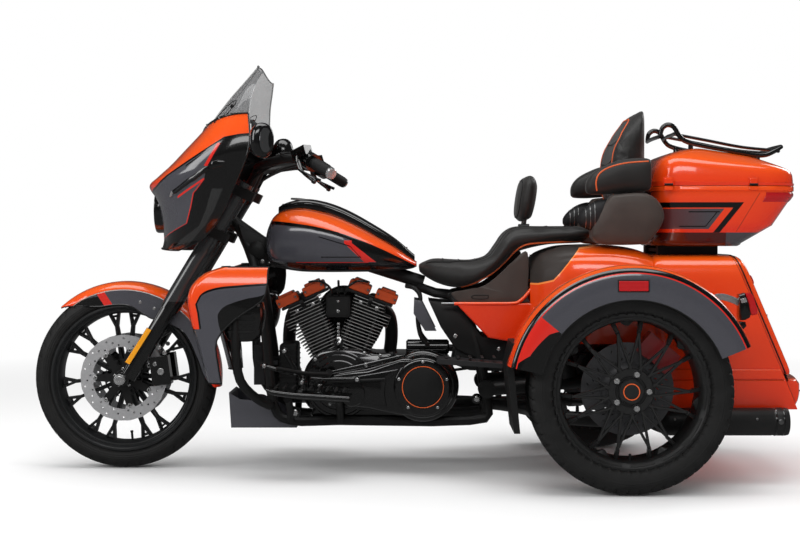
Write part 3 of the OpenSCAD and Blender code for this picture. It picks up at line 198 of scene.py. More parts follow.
def rod(p, q, radius, sides=20, chamfer=0.0):
    p, q = np.asarray(p, float), np.asarray(q, float)
    length = np.linalg.norm(q - p)
    c = min(chamfer, radius * .5, length * .3)
    rows = [[0, radius - c], [c, radius], [length - c, radius], [length, radius - c]] if c else [[0, radius],
        [length, radius]]
    return spun(rows, p, q - p, sides)


# flat outline pushed along a vector
def prism(outline, push):
    outline = np.asarray(outline, float)
    return loft(np.stack([outline, outline + np.asarray(push, float)]))


def sideOutline(points, y):
    points = np.asarray(points, float)
    return np.stack([points[:, 0], np.full(len(points), y), points[:, 1]], -1)


def block(low, high):
    low, high = np.asarray(low, float), np.asarray(high, float)
    x, y, z = np.stack([low, high]).T
    outline = [[x[0], y[0], z[0]], [x[1], y[0], z[0]], [x[1], y[0], z[1]], [x[0], y[0], z[1]]]
    return prism(outline, (0, y[1] - y[0], 0))


def roundBlock(low, high, r, n=6):
    low, high = np.asarray(low, float), np.asarray(high, float)
    r = min(r, *((high - low) / 2.01))
    a = np.linspace(0, np.pi / 2, n)
    corners = [(high[0] - r, high[2] - r, 0), (low[0] + r, high[2] - r, 1), (low[0] + r, low[2] + r, 2),
        (high[0] - r, low[2] + r, 3)]
    ring = np.concatenate([[[cx + r * np.cos(t + k * np.pi / 2), cz + r * np.sin(t + k * np.pi / 2)] for t in a]
        for cx, cz, k in corners])
    rows = [(low[1], .6), (low[1] + r * .4, 0), (high[1] - r * .4, 0), (high[1], .6)]
    mid = (low[[0, 2]] + high[[0, 2]]) / 2
    rings = [sideOutline(mid + (ring - mid) * (1 - inset * r / (high[[0, 2]] - low[[0, 2]])), y) for y,
        inset in rows]
    return loft(rings)


def bolt(centre, axis, radius=.006, height=.006):
    rows = [[-.002, radius * 1.25], [.0008, radius * 1.25], [.0012, radius], [height * .8, radius],
        [height, radius * .8], [height, radius * .5], [height * .5, radius * .45], [height * .5, .0004]]
    return spun(rows, centre, axis, 12)


# parts of several lists, each list with its number as material index
def grouped(*lists):
    return [(part, k) for k, group in enumerate(lists) for part in group]


# One object from parts; each entry is a part or (part, number of its material)
def build(name, parts, materials, body, stands=(), angle=38, bevel=0.0, segments=2):
    points, faces, numbers, count = [], [], [], 0
    for entry in parts:
        part, number = entry if isinstance(entry[1], int) else (entry, 0)
        points.append(part[0])
        faces += [[count + k for k in face] for face in part[1]]
        numbers += [number] * len(part[1])
        count += len(part[0])
    mesh = bpy.data.meshes.new(name)
    mesh.from_pydata(np.vstack(points).tolist(), [], faces)
    mesh.polygons.foreach_set("material_index", numbers)
    for material in materials if isinstance(materials, (list, tuple)) else [materials]:
        mesh.materials.append(material)
    work = bmesh.new()
    work.from_mesh(mesh)
    bmesh.ops.remove_doubles(work, verts=work.verts, dist=2e-6)
    bmesh.ops.dissolve_degenerate(work, edges=work.edges, dist=1e-7)
    bmesh.ops.recalc_face_normals(work, faces=work.faces)
    work.to_mesh(mesh)
    work.free()
    piece = bpy.data.objects.new(name, mesh)
    bpy.context.scene.collection.objects.link(piece)
    mesh.shade_smooth()
    mesh.set_sharp_from_angle(angle=math.radians(angle))
    if bevel:
        edge = piece.modifiers.new("edge", "BEVEL")
        edge.width = bevel
        edge.segments = segments
        edge.limit_method = "ANGLE"
        edge.angle_limit = math.radians(32)
        edge.harden_normals = True
    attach(piece, body)
    if stands:
        nodes = [stands] if isinstance(stands, str) else list(stands)
        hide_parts(*nodes)
        replaced.update(nodes)
    return piece


# A CAD node copied, its doubles merged and its edges softened; the node itself stays hidden
def refine(node, material, edge=.0012, angle=34):
    source = frame["nodes"][node]
    mesh = source.data.copy()
    mesh.materials.clear()
    mesh.materials.append(material)
    work = bmesh.new()
    work.from_mesh(mesh)
    bmesh.ops.remove_doubles(work, verts=work.verts, dist=1e-5)
    bmesh.ops.dissolve_limit(work, angle_limit=math.radians(1.2), verts=work.verts, edges=work.edges)
    work.to_mesh(mesh)
    work.free()
    mesh.polygons.foreach_set("material_index", [0] * len(mesh.polygons))
    mesh.shade_smooth()
    mesh.set_sharp_from_angle(angle=math.radians(angle))
    piece = bpy.data.objects.new(node + "Finished", mesh)
    bpy.context.scene.collection.objects.link(piece)
    if edge:
        bevel = piece.modifiers.new("edge", "BEVEL")
        bevel.width = edge
        bevel.segments = 2
        bevel.limit_method = "ANGLE"
        bevel.angle_limit = math.radians(40)
    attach(piece, bodyOf[node])
    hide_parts(node)
    replaced.add(node)
    return piece

# materials


# A socket that takes part in Python expressions; every operator adds one Math node
class Field:
    def __init__(self, shader, socket):
        self.shader = shader
        self.socket = socket

    def combine(self, operation, *values):
        return self.shader.node("ShaderNodeMath", {"operation": operation}, *values)

    def __add__(self, other):
        return self.combine("ADD", self, other)

    def __radd__(self, other):
        return self.combine("ADD", other, self)

    def __sub__(self, other):
        return self.combine("SUBTRACT", self, other)

    def __rsub__(self, other):
        return self.combine("SUBTRACT", other, self)

    def __mul__(self, other):
        return self.combine("MULTIPLY", self, other)

    def __rmul__(self, other):
        return self.combine("MULTIPLY", other, self)

    def __truediv__(self, other):
        return self.combine("DIVIDE", self, other)

    def __pow__(self, other):
        return self.combine("POWER", self, other)

    def __abs__(self):
        return self.combine("ABSOLUTE", self)

    def over(self, limit, soft=.0006):
        step = (self - limit) / soft + .5
        step.socket.node.use_clamp = True
        return step

    def under(self, limit, soft=.0006):
        return 1 - self.over(limit, soft)

    def between(self, low, high, soft=.0006):
        return self.over(low, soft) * self.under(high, soft)


# One material's node tree with its principled shader
class Shader:
    def __init__(self, name, **constants):
        self.material = bpy.data.materials.new(name)
        self.material.use_nodes = True
        self.tree = self.material.node_tree
        self.surface = self.tree.nodes["Principled BSDF"]
        for key, value in constants.items():
            self.set(key, value)

    def node(self, kind, settings, *values, out=0, **named):
        made = self.tree.nodes.new(kind)
        for key, value in settings.items():
            setattr(made, key, value)
        for key, value in list(enumerate(values)) + [(k.replace("_", " "), v) for k, v in named.items()]:
            if isinstance(value, Field):
                self.tree.links.new(value.socket, made.inputs[key])
            elif value is not None:
                made.inputs[key].default_value = value
        return Field(self, made.outputs[out])

    def set(self, key, value):
        names = {"color": "Base Color", "rough": "Roughness", "metal": "Metallic", "coat": "Coat Weight",
            "coatRough": "Coat Roughness", "specular": "Specular IOR Level", "ior": "IOR",
            "clear": "Transmission Weight", "sheen": "Sheen Weight", "sheenRough": "Sheen Roughness",
            "alpha": "Alpha", "glow": "Emission Color", "glowStrength": "Emission Strength", "normal": "Normal"}
        target = self.surface.inputs[names[key]]
        if isinstance(value, Field):
            self.tree.links.new(value.socket, target)
        elif key in ("color", "glow"):
            target.default_value = (*value, 1)
        else:
            target.default_value = value

    def place(self):
        point = self.node("ShaderNodeTexCoord", {}, out=3)
        parts = self.tree.nodes.new("ShaderNodeSeparateXYZ")
        self.tree.links.new(point.socket, parts.inputs[0])
        self.point = point
        return [Field(self, parts.outputs[k]) for k in range(3)]

    def noise(self, scale, detail=3.0, rough=.55, vector=None):
        point = vector or self.node("ShaderNodeTexCoord", {}, out=3)
        return self.node("ShaderNodeTexNoise", {}, Vector=point, Scale=scale, Detail=detail, Roughness=rough)

    def cells(self, scale, feature="F1", out=0):
        point = self.node("ShaderNodeTexCoord", {}, out=3)
        return self.node("ShaderNodeTexVoronoi", {"feature": feature}, Vector=point, Scale=scale, out=out)

    def mix(self, share, first, second):
        made = self.tree.nodes.new("ShaderNodeMix")
        made.data_type = "RGBA"
        for key, value in ((0, share), (6, first), (7, second)):
            if isinstance(value, Field):
                self.tree.links.new(value.socket, made.inputs[key])
            else:
                made.inputs[key].default_value = value if key == 0 else (*value, 1)
        return Field(self, made.outputs[2])

    # height of a line through the given points over a value, straight between its points or rounded
    def line(self, value, points, rounded=False):
        points = sorted(points)
        xs, ys = [p[0] for p in points], [p[1] for p in points]
        x0, x1, y0, y1 = xs[0], xs[-1], min(ys), max(ys) + 1e-6
        made = self.tree.nodes.new("ShaderNodeFloatCurve")
        curve = made.mapping.curves[0]
        while len(curve.points) < len(points):
            curve.points.new(.5, .5)
        for spot, x, y in zip(curve.points, xs, ys):
            spot.location = ((x - x0) / (x1 - x0), (y - y0) / (y1 - y0))
            spot.handle_type = "AUTO" if rounded else "VECTOR"
        made.mapping.update()
        self.tree.links.new(((value - x0) / (x1 - x0)).socket, made.inputs["Value"])
        return Field(self, made.outputs[0]) * (y1 - y0) + y0

    def bump(self, height, strength=.3, distance=.001):
        self.set("normal", self.node("ShaderNodeBump", {}, Height=height, Strength=strength, Distance=distance))


palette = {"orange": (.9, .115, .005), "red": (.72, .022, .002), "slate": (.052, .052, .062), "black": (.0022,
    .0022, .0022), "stripe": (.62, .015, .008), "satin": (.006, .006, .006), "leather": (.011, .0105, .01),
    "skirt": (.034, .026, .022), "piping": (.55, .09, .02), "rubber": (.006, .006, .006), "steel": (.42, .42, .42),}


# pearl under clear coat with painted light: bright where the surface faces up and higher up, painted shade deeper
# towards the floor; with fine flakes
def pearlWithPaintedLight(shader, z, bright="orange", deep="red", low=.25, high=.95):
    normal = shader.node("ShaderNodeNewGeometry", {}, out=1)
    parts = shader.tree.nodes.new("ShaderNodeSeparateXYZ")
    shader.tree.links.new(normal.socket, parts.inputs[0])
    up = Field(shader, parts.outputs[2])
    # painted light: more of the bright colour on upward faces and higher places
    share = (up * .55 + .08 + (z - low) / (high - low) * .32)
    share.socket.node.use_clamp = True
    flakes = shader.noise(900, 2).over(.6, .1) * .14
    base = shader.mix(share, palette[deep], palette[bright])
    return shader.mix(flakes, base, (.95, .3, .06))


def slateCoat(shader):
    flakes = shader.noise(1100, 2).over(.58, .12)
    return shader.mix(flakes * .35, palette["slate"], (.13, .13, .15))


# paint = base field, then (mask, colour) layers from below to the top
def layered(shader, base, layers):
    color = base
    for mask, top in layers:
        color = shader.mix(mask, color, top)
    shader.set("color", color)
    return shader.material


def orangePeel(shader, strength=.02):
    shader.bump(shader.noise(420, 2), strength, .0004)


def gloss(name, color, rough=.14, coat=1.0, wear=.04):
    shader = Shader(name, coat=coat, coatRough=.04, specular=.5)
    cloud = shader.noise(35, 4)
    tint = tuple(min(1, c * 1.7 + .002) for c in color)
    shader.set("color", shader.mix(cloud * .5, color, tint))
    shader.set("rough", cloud * wear + rough)
    orangePeel(shader)
    return shader.material


def satin(name, color, rough=.42, metal=0.0, grain=260, depth=.08):
    shader = Shader(name, metal=metal, specular=.34)
    cloud = shader.noise(28, 5)
    fine = shader.noise(grain, 3)
    tint = tuple(min(1, c * 1.8 + .003) for c in color)
    shader.set("color", shader.mix(cloud * .6, color, tint))
    shader.set("rough", cloud * .12 + rough)
    shader.bump(fine, depth, .0006)
    return shader.material


def brushed(name, color, rough=.24, metal=1.0):
    shader = Shader(name, metal=metal)
    streaks = shader.noise(140, 5, .7)
    shader.set("color", shader.mix(streaks, tuple(c * .72 for c in color), color))
    shader.set("rough", streaks * .2 + rough)
    shader.bump(streaks, .05, .0003)
    return shader.material


def rubberFinish():
    shader = Shader("tyreRubber", specular=.35)
    dust = shader.noise(22, 6)
    grain = shader.noise(600, 2)
    shader.set("color", shader.mix(dust * .7, palette["rubber"], (.02, .0195, .019)))
    shader.set("rough", dust * .16 + .55)
    shader.bump(grain, .12, .0006)
    return shader.material


# hide: cells as grain, a slow cloud for the sheen and creases
def hide(name, color, grain=620, depth=.35):
    shader = Shader(name, specular=.42, sheen=.12, sheenRough=.4)
    pebbles = shader.cells(grain)
    cloud = shader.noise(16, 5)
    creases = shader.noise(90, 4, .65)
    tint = tuple(c * 1.9 for c in color)
    shader.set("color", shader.mix(cloud, color, tint))
    shader.set("rough", pebbles * .16 + cloud * .1 + .36)
    shader.bump(pebbles * -.6 + creases * .5, depth, .0008)
    return shader.material


def moulded(name, color, rough=.55):
    shader = Shader(name, specular=.35)
    grain = shader.cells(900)
    cloud = shader.noise(20, 4)
    shader.set("color", shader.mix(cloud * .6, color, tuple(c * 1.6 for c in color)))
    shader.set("rough", cloud * .12 + rough)
    shader.bump(grain, .16, .0005)
    return shader.material


def tinted(name, color, alpha, rough=.03, coat=.6):
    shader = Shader(name, rough=rough, coat=coat, specular=.5)
    haze = shader.noise(9, 3)
    shader.set("color", shader.mix(haze * .35, color, tuple(min(1, c * 1.25 + .01) for c in color)))
    shader.set("alpha", haze * .05 + alpha)
    return shader.material


def lens(name, color, ribs=420):
    shader = Shader(name, rough=.08, coat=1.0, coatRough=.02)
    z = shader.place()[2]
    rib = shader.node("ShaderNodeMath", {"operation": "SINE"}, z * ribs * 2.2)
    shader.set("color", shader.mix(rib * .25 + .3, color, tuple(min(1, c * 1.7 + .02) for c in color)))
    shader.bump(rib, .25, .0008)
    return shader.material


blackGloss = gloss("blackGloss", palette["black"])
blackSatin = satin("blackSatin", palette["satin"])
blackCrinkle = satin("blackCrinkle", (.009, .009, .0095), rough=.5, grain=520, depth=.35)
wheelBlack = satin("wheelBlack", (.011, .0115, .012), rough=.27, depth=.02)
wheelGrey = satin("wheelGrey", (.022, .022, .022), rough=.3, metal=.4, depth=.02)
steel = brushed("brushedSteel", palette["steel"])
brightSteel = brushed("brightSteel", (.62, .62, .62), .12, .75)
finEdge = brushed("cutFinEdge", (.62, .62, .61), .28, .45)
discSteel = brushed("discSteel", (.56, .56, .57), .28, .5)
discDark = brushed("discDark", (.1, .1, .105), .36, .5)
tyreRubber = rubberFinish()
leather = hide("seatLeather", palette["leather"])
pipingCord = moulded("pipingCord", palette["piping"], .45)
skirtGrain = hide("skirtGrain", palette["skirt"], 760, .22)
gripRubber = moulded("gripRubber", (.008, .008, .008), .6)
plastic = moulded("mouldedPlastic", (.013, .013, .014))
slateSatin = gloss("slatePaint", palette["slate"], .3, .7)
rockerOrange = gloss("rockerOrange", (.33, .036, .002), .18, 1.0)
ringOrange = gloss("ringOrange", (.62, .09, .01), .3, .6)
caliperRed = gloss("caliperRed", (.14, .002, .003), .28, .8)
pipeBlack = satin("pipeBlack", (.01, .01, .01), rough=.36, grain=300, depth=.05)
amberLens = lens("amberLens", (.72, .26, .005), 900)
slotDark = lens("slotDark", (.006, .006, .008), 900)
redLens = lens("redLens", (.34, .002, .004), 700)
clearLens = lens("clearLens", (.55, .57, .6), 500)
smokedScreen = tinted("smokedScreen", (.13, .132, .136), .4)
mirrorGlass = brushed("mirrorGlass", (.75, .76, .78), .02)
plateWhite = satin("plateWhite", (.55, .55, .54), rough=.5)
beltRubber = moulded("beltRubber", (.01, .01, .01), .6)
print("materials made")

# camera and studio
camera = bpy.data.objects.new("sideCamera", bpy.data.cameras.new("sideCamera"))
bpy.context.scene.collection.objects.link(camera)
camera.data.sensor_width = 36
camera.data.lens = 69.23
camera.data.shift_x = -.01875
camera.data.shift_y = -.0381
camera.location = (-.011, 5.45, .815)
camera.rotation_euler = (math.radians(90), 0, math.radians(180))
bpy.context.scene.camera = camera
bpy.context.scene.view_settings.view_transform = "Standard"

studio = {"floorSize": 60, "worldLight": .62, "mirrored": .05, "floorMirrored": .13,
          # name, place, aim, width, height, power
          "lamps": [("topSoft", (.2, .6, 4.2), (0, 0, .4), 5.0, 2.2, 95),
                    ("sideSoft", (.8, 5.0, 3.4), (0, 0, .5), 5.0, 1.0, 70),
                    ("rearSoft", (-3.6, -2.6, 3.0), (-.6, 0, .6), 2.0, 2.0, 55),
                    ("noseSoft", (4.2, 1.6, 2.4), (.8, 0, .6), 1.6, 2.2, 40)]}


def makeStudio():
    world = bpy.data.worlds.new("studioWorld")
    world.use_nodes = True
    bpy.context.scene.world = world
    tree = world.node_tree
    path = tree.nodes.new("ShaderNodeLightPath")
    seen = tree.nodes.new("ShaderNodeMath")
    seen.operation = "MAXIMUM"
    tree.links.new(path.outputs["Is Camera Ray"], seen.inputs[0])
    tree.links.new(path.outputs["Is Transmission Ray"], seen.inputs[1])
    soft = tree.nodes["Background"]
    soft.inputs["Color"].default_value = (1, 1, 1, 1)
    soft.inputs["Strength"].default_value = studio["worldLight"]
    plain = tree.nodes.new("ShaderNodeBackground")
    plain.inputs["Color"].default_value = (1, 1, 1, 1)
    plain.inputs["Strength"].default_value = 1.0
    # mirror rays see a dark room with the lamps in it
    dim = tree.nodes.new("ShaderNodeBackground")
    dim.inputs["Color"].default_value = (1, 1, 1, 1)
    dim.inputs["Strength"].default_value = studio["mirrored"]
    diffuse = tree.nodes.new("ShaderNodeMixShader")
    tree.links.new(path.outputs["Is Glossy Ray"], diffuse.inputs[0])
    tree.links.new(soft.outputs[0], diffuse.inputs[1])
    tree.links.new(dim.outputs[0], diffuse.inputs[2])
    either = tree.nodes.new("ShaderNodeMixShader")
    tree.links.new(seen.outputs[0], either.inputs[0])
    tree.links.new(diffuse.outputs[0], either.inputs[1])
    tree.links.new(plain.outputs[0], either.inputs[2])
    tree.links.new(either.outputs[0], tree.nodes["World Output"].inputs[0])

    for name, place, aim, wide, high, power in studio["lamps"]:
        light = bpy.data.lights.new(name, "AREA")
        light.shape = "RECTANGLE"
        light.size, light.size_y, light.energy = wide, high, power
        lamp = bpy.data.objects.new(name, light)
        lamp.location = place
        lamp.rotation_euler = (Vector(aim) - Vector(place)).to_track_quat("-Z", "Y").to_euler()
        bpy.context.scene.collection.objects.link(lamp)

    half = studio["floorSize"] / 2
    mesh = bpy.data.meshes.new("studioFloor")
    mesh.from_pydata([(-half, -half, 0), (half, -half, 0), (half, half, 0), (-half, half, 0)], [], [(0, 1, 2, 3)])
    floor = bpy.data.objects.new("studioFloor", mesh)
    bpy.context.scene.collection.objects.link(floor)
    material = bpy.data.materials.new("paleFloor")
    material.use_nodes = True
    surface = material.node_tree.nodes["Principled BSDF"]
    surface.inputs["Base Color"].default_value = (.93, .93, .93, 1)
    surface.inputs["Roughness"].default_value = .85
    surface.inputs["Specular IOR Level"].default_value = .2
    # far floor fades to the plain background
    tree = material.node_tree
    point = tree.nodes.new("ShaderNodeTexCoord")
    far = tree.nodes.new("ShaderNodeVectorMath")
    far.operation = "LENGTH"
    tree.links.new(point.outputs["Object"], far.inputs[0])
    share = tree.nodes.new("ShaderNodeMapRange")
    share.inputs["From Min"].default_value = 2.2
    share.inputs["From Max"].default_value = 5.5
    tree.links.new(far.outputs["Value"], share.inputs["Value"])
    white = tree.nodes.new("ShaderNodeEmission")
    white.inputs["Strength"].default_value = 1.0
    path = tree.nodes.new("ShaderNodeLightPath")
    straight = tree.nodes.new("ShaderNodeMath")
    straight.operation = "MULTIPLY"
    tree.links.new(share.outputs[0], straight.inputs[0])
    tree.links.new(path.outputs["Is Camera Ray"], straight.inputs[1])
    either = tree.nodes.new("ShaderNodeMixShader")
    tree.links.new(straight.outputs[0], either.inputs[0])
    tree.links.new(surface.outputs[0], either.inputs[1])
    tree.links.new(white.outputs[0], either.inputs[2])
    # mirror rays meet a dim floor, so that dark paint stays dark
    dim = tree.nodes.new("ShaderNodeEmission")
    dim.inputs["Strength"].default_value = studio["floorMirrored"]
    last = tree.nodes.new("ShaderNodeMixShader")
    tree.links.new(path.outputs["Is Glossy Ray"], last.inputs[0])
    tree.links.new(either.outputs[0], last.inputs[1])
    tree.links.new(dim.outputs[0], last.inputs[2])
    tree.links.new(last.outputs[0], tree.nodes["Material Output"].inputs[0])
    mesh.materials.append(material)


makeStudio()
print("studio ready")


# Flat plate with holes, triangulated between its outlines and pushed along a vector
def holedPlate(loops, toSpace, push):
    loops = [np.asarray(loop, float) for loop in loops]
    flat = np.vstack(loops)
    edges, start = [], 0
    for loop in loops:
        n = len(loop)
        edges += [(start + k, start + (k + 1) % n) for k in range(n)]
        start += n
    points, _, triangles, _, _, _ = delaunay_2d_cdt([Vector(p) for p in flat], edges, [], 1, 1e-7)
    points = np.array([p[:] for p in points])
    triangles = np.array([list(t) for t in triangles])
    centre = points[triangles].mean(1)
    inside = np.zeros(len(triangles), bool)
    for loop in loops:
        a, b = loop, np.roll(loop, -1, axis=0)
        crosses = (a[None, :, 1] > centre[:, None, 1]) != (b[None, :, 1] > centre[:, None, 1])
        with np.errstate(divide="ignore", invalid="ignore"):
            at = (b[:, 0] - a[:, 0]) * (centre[:, None, 1] - a[:, 1]) / (b[:, 1] - a[:, 1]) + a[:, 0]
        inside ^= (crosses & (centre[:, None, 0] < at)).sum(1) % 2 == 1
    triangles = triangles[inside]
    n = len(points)
    space = toSpace(points)
    faces = triangles.tolist() + (triangles[:, ::-1] + n).tolist()
    directed = {}
    for t in triangles.tolist():
        for k in range(3):
            directed[(t[k], t[(k + 1) % 3])] = True
    for a, b in directed:
        if (b, a) not in directed:
            faces.append([b, a, a + n, b + n])
    return np.vstack([space, space + np.asarray(push, float)]), faces


def circle(cx, cy, r, n=16, start=0.0):
    a = start + 2 * np.pi * np.arange(n) / n
    return np.stack([cx + r * np.cos(a), cy + r * np.sin(a)], -1)


# point on the plane of a wheel; angles run clockwise from the top as seen from +Y, where front is left
def wheelPoint(centre, r, degrees, y):
    a = np.radians(degrees)
    return np.stack([centre[0] - r * np.sin(a), np.full(np.shape(a), 1.0) * y, centre[2] + r * np.cos(a)], -1)


# Tyre: section table of offset and radius, turned; tread blocks cut where the slanted phase falls in a groove
def tyre(name, centre, section, grooves, body, node):
    rows = smoothLine(section, 5)
    rows = np.vstack([rows, rows[::-1][1:] * (-1, 1)]) / 1000
    turns = grooves["count"] * 8
    a = 2 * np.pi * np.arange(turns) / turns
    y, r = rows[:, 0][:, None], rows[:, 1][:, None]
    phase = (a[None] * grooves["count"] / (2 * np.pi) + np.abs(y) * grooves["slant"]) % 1
    cut = np.clip((grooves["share"] - np.abs(phase - .5)) * 14, 0, 1)
    shoulder = np.clip((np.abs(y) - grooves["from"]) / .003, 0, 1) * np.clip((grooves["to"] - np.abs(y)) / .003, 0,
        1)
    depth = cut * shoulder * grooves["depth"]
    for line in grooves["rings"]:
        depth = np.maximum(depth, np.clip(1.6 - np.abs(np.abs(y) - line) / .0022, 0, 1) * .005)
    names = .0007 * np.clip(np.sin((r - .262) * 900), 0, 1) * (r < rows[:, 1].max() - .02)
    radius = r - depth
    swell = y + np.sign(y) * names
    points = np.stack([centre[0] + radius * np.cos(a), centre[1] + np.broadcast_to(swell, radius.shape),
        centre[2] + radius * np.sin(a)], -1)
    inner = np.stack([centre[0] + (rows[-1, 1] - .004) * np.cos(a), np.full(turns, centre[1]),
        centre[2] + (rows[-1, 1] - .004) * np.sin(a)], -1)[None]
    rings = np.concatenate([points, inner, points[:1]])
    verts, faces = loft(rings, caps=False)
    return build(name, [(verts, faces)], tyreRubber, body, node, angle=30)


frontTyre = {"section": [[0, 319], [12, 318.7], [30, 315.5], [46, 308], [57, 297], [63.5, 286], [64.5, 278],
    [62, 266], [56, 257], [47, 252]], "grooves": {"count": 44, "slant": 16, "share": .1, "from": .02, "to": .0585,
    "depth": .0045, "rings": []}}
rearTyre = {"section": [[0, 325.3], [45, 324.6], [78, 322], [94, 316], [102, 306], [107, 292], [107.3, 280],
    [103, 262], [97, 253], [88, 248.5]], "grooves": {"count": 52, "slant": 12, "share": .12, "from": .062,
    "to": .103, "depth": .006, "rings": [.02, .056]}}

frontWheel = {"spokeRoot": .052, "fork": .178, "rimFoot": .224, "pair": 51.43, "narrow": 9.2, "rootGap": 15.5,
    "leg": .0125}
rearWheel = {"hub": .07, "tip": .186, "narrow": 10.3, "first": 357.5, "strut": .0088, "lip": .247, "inner": .222}


# Box-section arm between two points of a wheel, (side, depth) sizes at each end
def arm(p, q, sizeP, sizeQ, steps=5):
    p, q = np.asarray(p, float), np.asarray(q, float)
    t = np.linspace(0, 1, steps)[:, None]
    path = p + (q - p) * t
    along = unit(q - p)
    side = unit(np.cross(along, [0, 1.0, 0]))
    deep = np.cross(side, along)
    size = np.asarray(sizeP, float) * (1 - t) + np.asarray(sizeQ, float) * t
    c, s = superCircle(16, 4.5)
    rings = path[:, None] + size[:, :1, None] / 2 * c[None, :, None] * side + size[:, 1:, None] / 2 * s[None, :,
        None] * deep
    return loft(rings)


def makeFrontWheel():
    w = frontWheel
    c = frontAxle
    rim = np.array([[-.066, .2485], [-.0645, .2555], [-.06, .2555], [-.056, .249], [-.046, .243], [-.03, .24],
        [.03, .24], [.046, .243], [.056, .249], [.06, .2555], [.0645, .2555], [.066, .2485], [.062, .244],
        [.054, .2405], [.05, .234], [.04, .228], [.02, .2245], [-.02, .2245], [-.04, .228], [-.05, .234],
        [-.054, .2405], [-.062, .244]])
    parts = [turned(rim, c, sides=128)]
    # thin raised step inside the lip
    for s in (-1, 1):
        parts.append(turned([[s * .0525, .2385], [s * .0545, .236], [s * .0525, .2325], [s * .0505, .236]], c,
            sides=128))
    parts.append(spun([[-.046, .034], [-.044, .04], [-.02, .046], [.02, .046], [.044, .04], [.046, .034]], c,
        sides=64))
    for k in range(7):
        middleAngle = -2 + w["pair"] * k
        for s in (-1, 1):
            root = wheelPoint(c, w["spokeRoot"] * .7, middleAngle + s * w["rootGap"], 0)
            knee = wheelPoint(c, w["fork"], middleAngle + s * w["narrow"] * .99, 0)
            parts.append(arm(root, knee, (.016, .062), (.0115, .046), 6))
            for spread, width in ((-4.0, .0085), (4.0, .0085)):
                foot = wheelPoint(c, w["rimFoot"] + .004, middleAngle + s * w["narrow"] + spread, 0)
                parts.append(arm(knee, foot, (.01, .044), (width, .04), 4))
            web = wheelPoint(c, w["rimFoot"] - .004, middleAngle + s * w["narrow"], 0)
            parts.append(arm(wheelPoint(c, w["rimFoot"] - .012, middleAngle + s * w["narrow"], 0), web, (.026, .03),
                (.036, .034), 3))
    valve = wheelPoint(c, .224, 175.0, 0)
    parts.append(rod(valve, wheelPoint(c, .196, 175.0, 0), .0042, 12, .001))
    parts.append(rod(wheelPoint(c, .2, 175.0, 0), wheelPoint(c, .193, 175.0, 0), .0055, 12, .001))
    build("frontWheelRim", parts, wheelBlack, "front_wheel", "front_wheel", angle=30)

    # brake discs: ring with staggered holes and lobed tabs, riveted to a dark star carrier
    for s in (1, -1):
        y = c[1] + s * .0615
        toSpace = lambda p: np.stack([c[0] + p[:, 0], np.full(len(p), y), c[2] + p[:, 1]], -1)
        a = np.linspace(0, 2 * np.pi, 241)[:-1]
        lobe = np.clip(np.cos(a * 7) * 3 - 1.2, 0, 1)
        inner = .1085 - .016 * lobe
        scallop = .15 + .0006 * np.sin(a * 21)
        loops = [np.stack([scallop * np.cos(a), scallop * np.sin(a)], -1), np.stack([inner * np.cos(a),
            inner * np.sin(a)], -1)[::-1]]
        for k in range(42):
            for row, r in enumerate((.1155, .127, .1385)):
                if (k + row) % 3 == 0:
                    t = 2 * np.pi * (k + .5) / 42
                    loops.append(circle(r * math.cos(t), r * math.sin(t), .0034, 10))
        build("frontDisc" + ("Left" if s > 0 else "Right"), [holedPlate(loops, toSpace, (0, s * .005, 0))],
            discSteel, "front_wheel", angle=30)
        star = .066 + .034 * np.clip(np.cos(a * 7) * 1.8 - .35, 0, 1)
        loops = [np.stack([star * np.cos(a), star * np.sin(a)], -1)]
        for k in range(7):
            t = 2 * np.pi * (k + .5) / 7
            loops.append(circle(.055 * math.cos(t), .055 * math.sin(t), .01, 16))
        dark = [holedPlate(loops, toSpace, (0, s * .007, 0)), spun([[-.016, .03], [.008, .03], [.011, .027],
            [.011, .016]], (c[0], y, c[2]), (0, s, 0), 40)]
        rivets = []
        for k in range(7):
            t = 2 * np.pi * k / 7
            place = (c[0] + .099 * math.cos(t), y + s * .006, c[2] + .099 * math.sin(t))
            rivets.append(spun([[-.002, .0078], [.001, .0078], [.0022, .0066], [.0022, .0034], [.0004, .003],
                [.0004, .0002]], place, (0, s, 0), 20))
        for k in range(5):
            t = 2 * np.pi * (k + .2) / 5
            rivets.append(bolt((c[0] + .031 * math.cos(t), y + s * .007, c[2] + .031 * math.sin(t)), (0, s, 0),
                .0044, .005))
        build("frontCarrier" + ("Left" if s > 0 else "Right"), grouped(dark, rivets), [blackSatin, brightSteel],
            "front_wheel", angle=30)


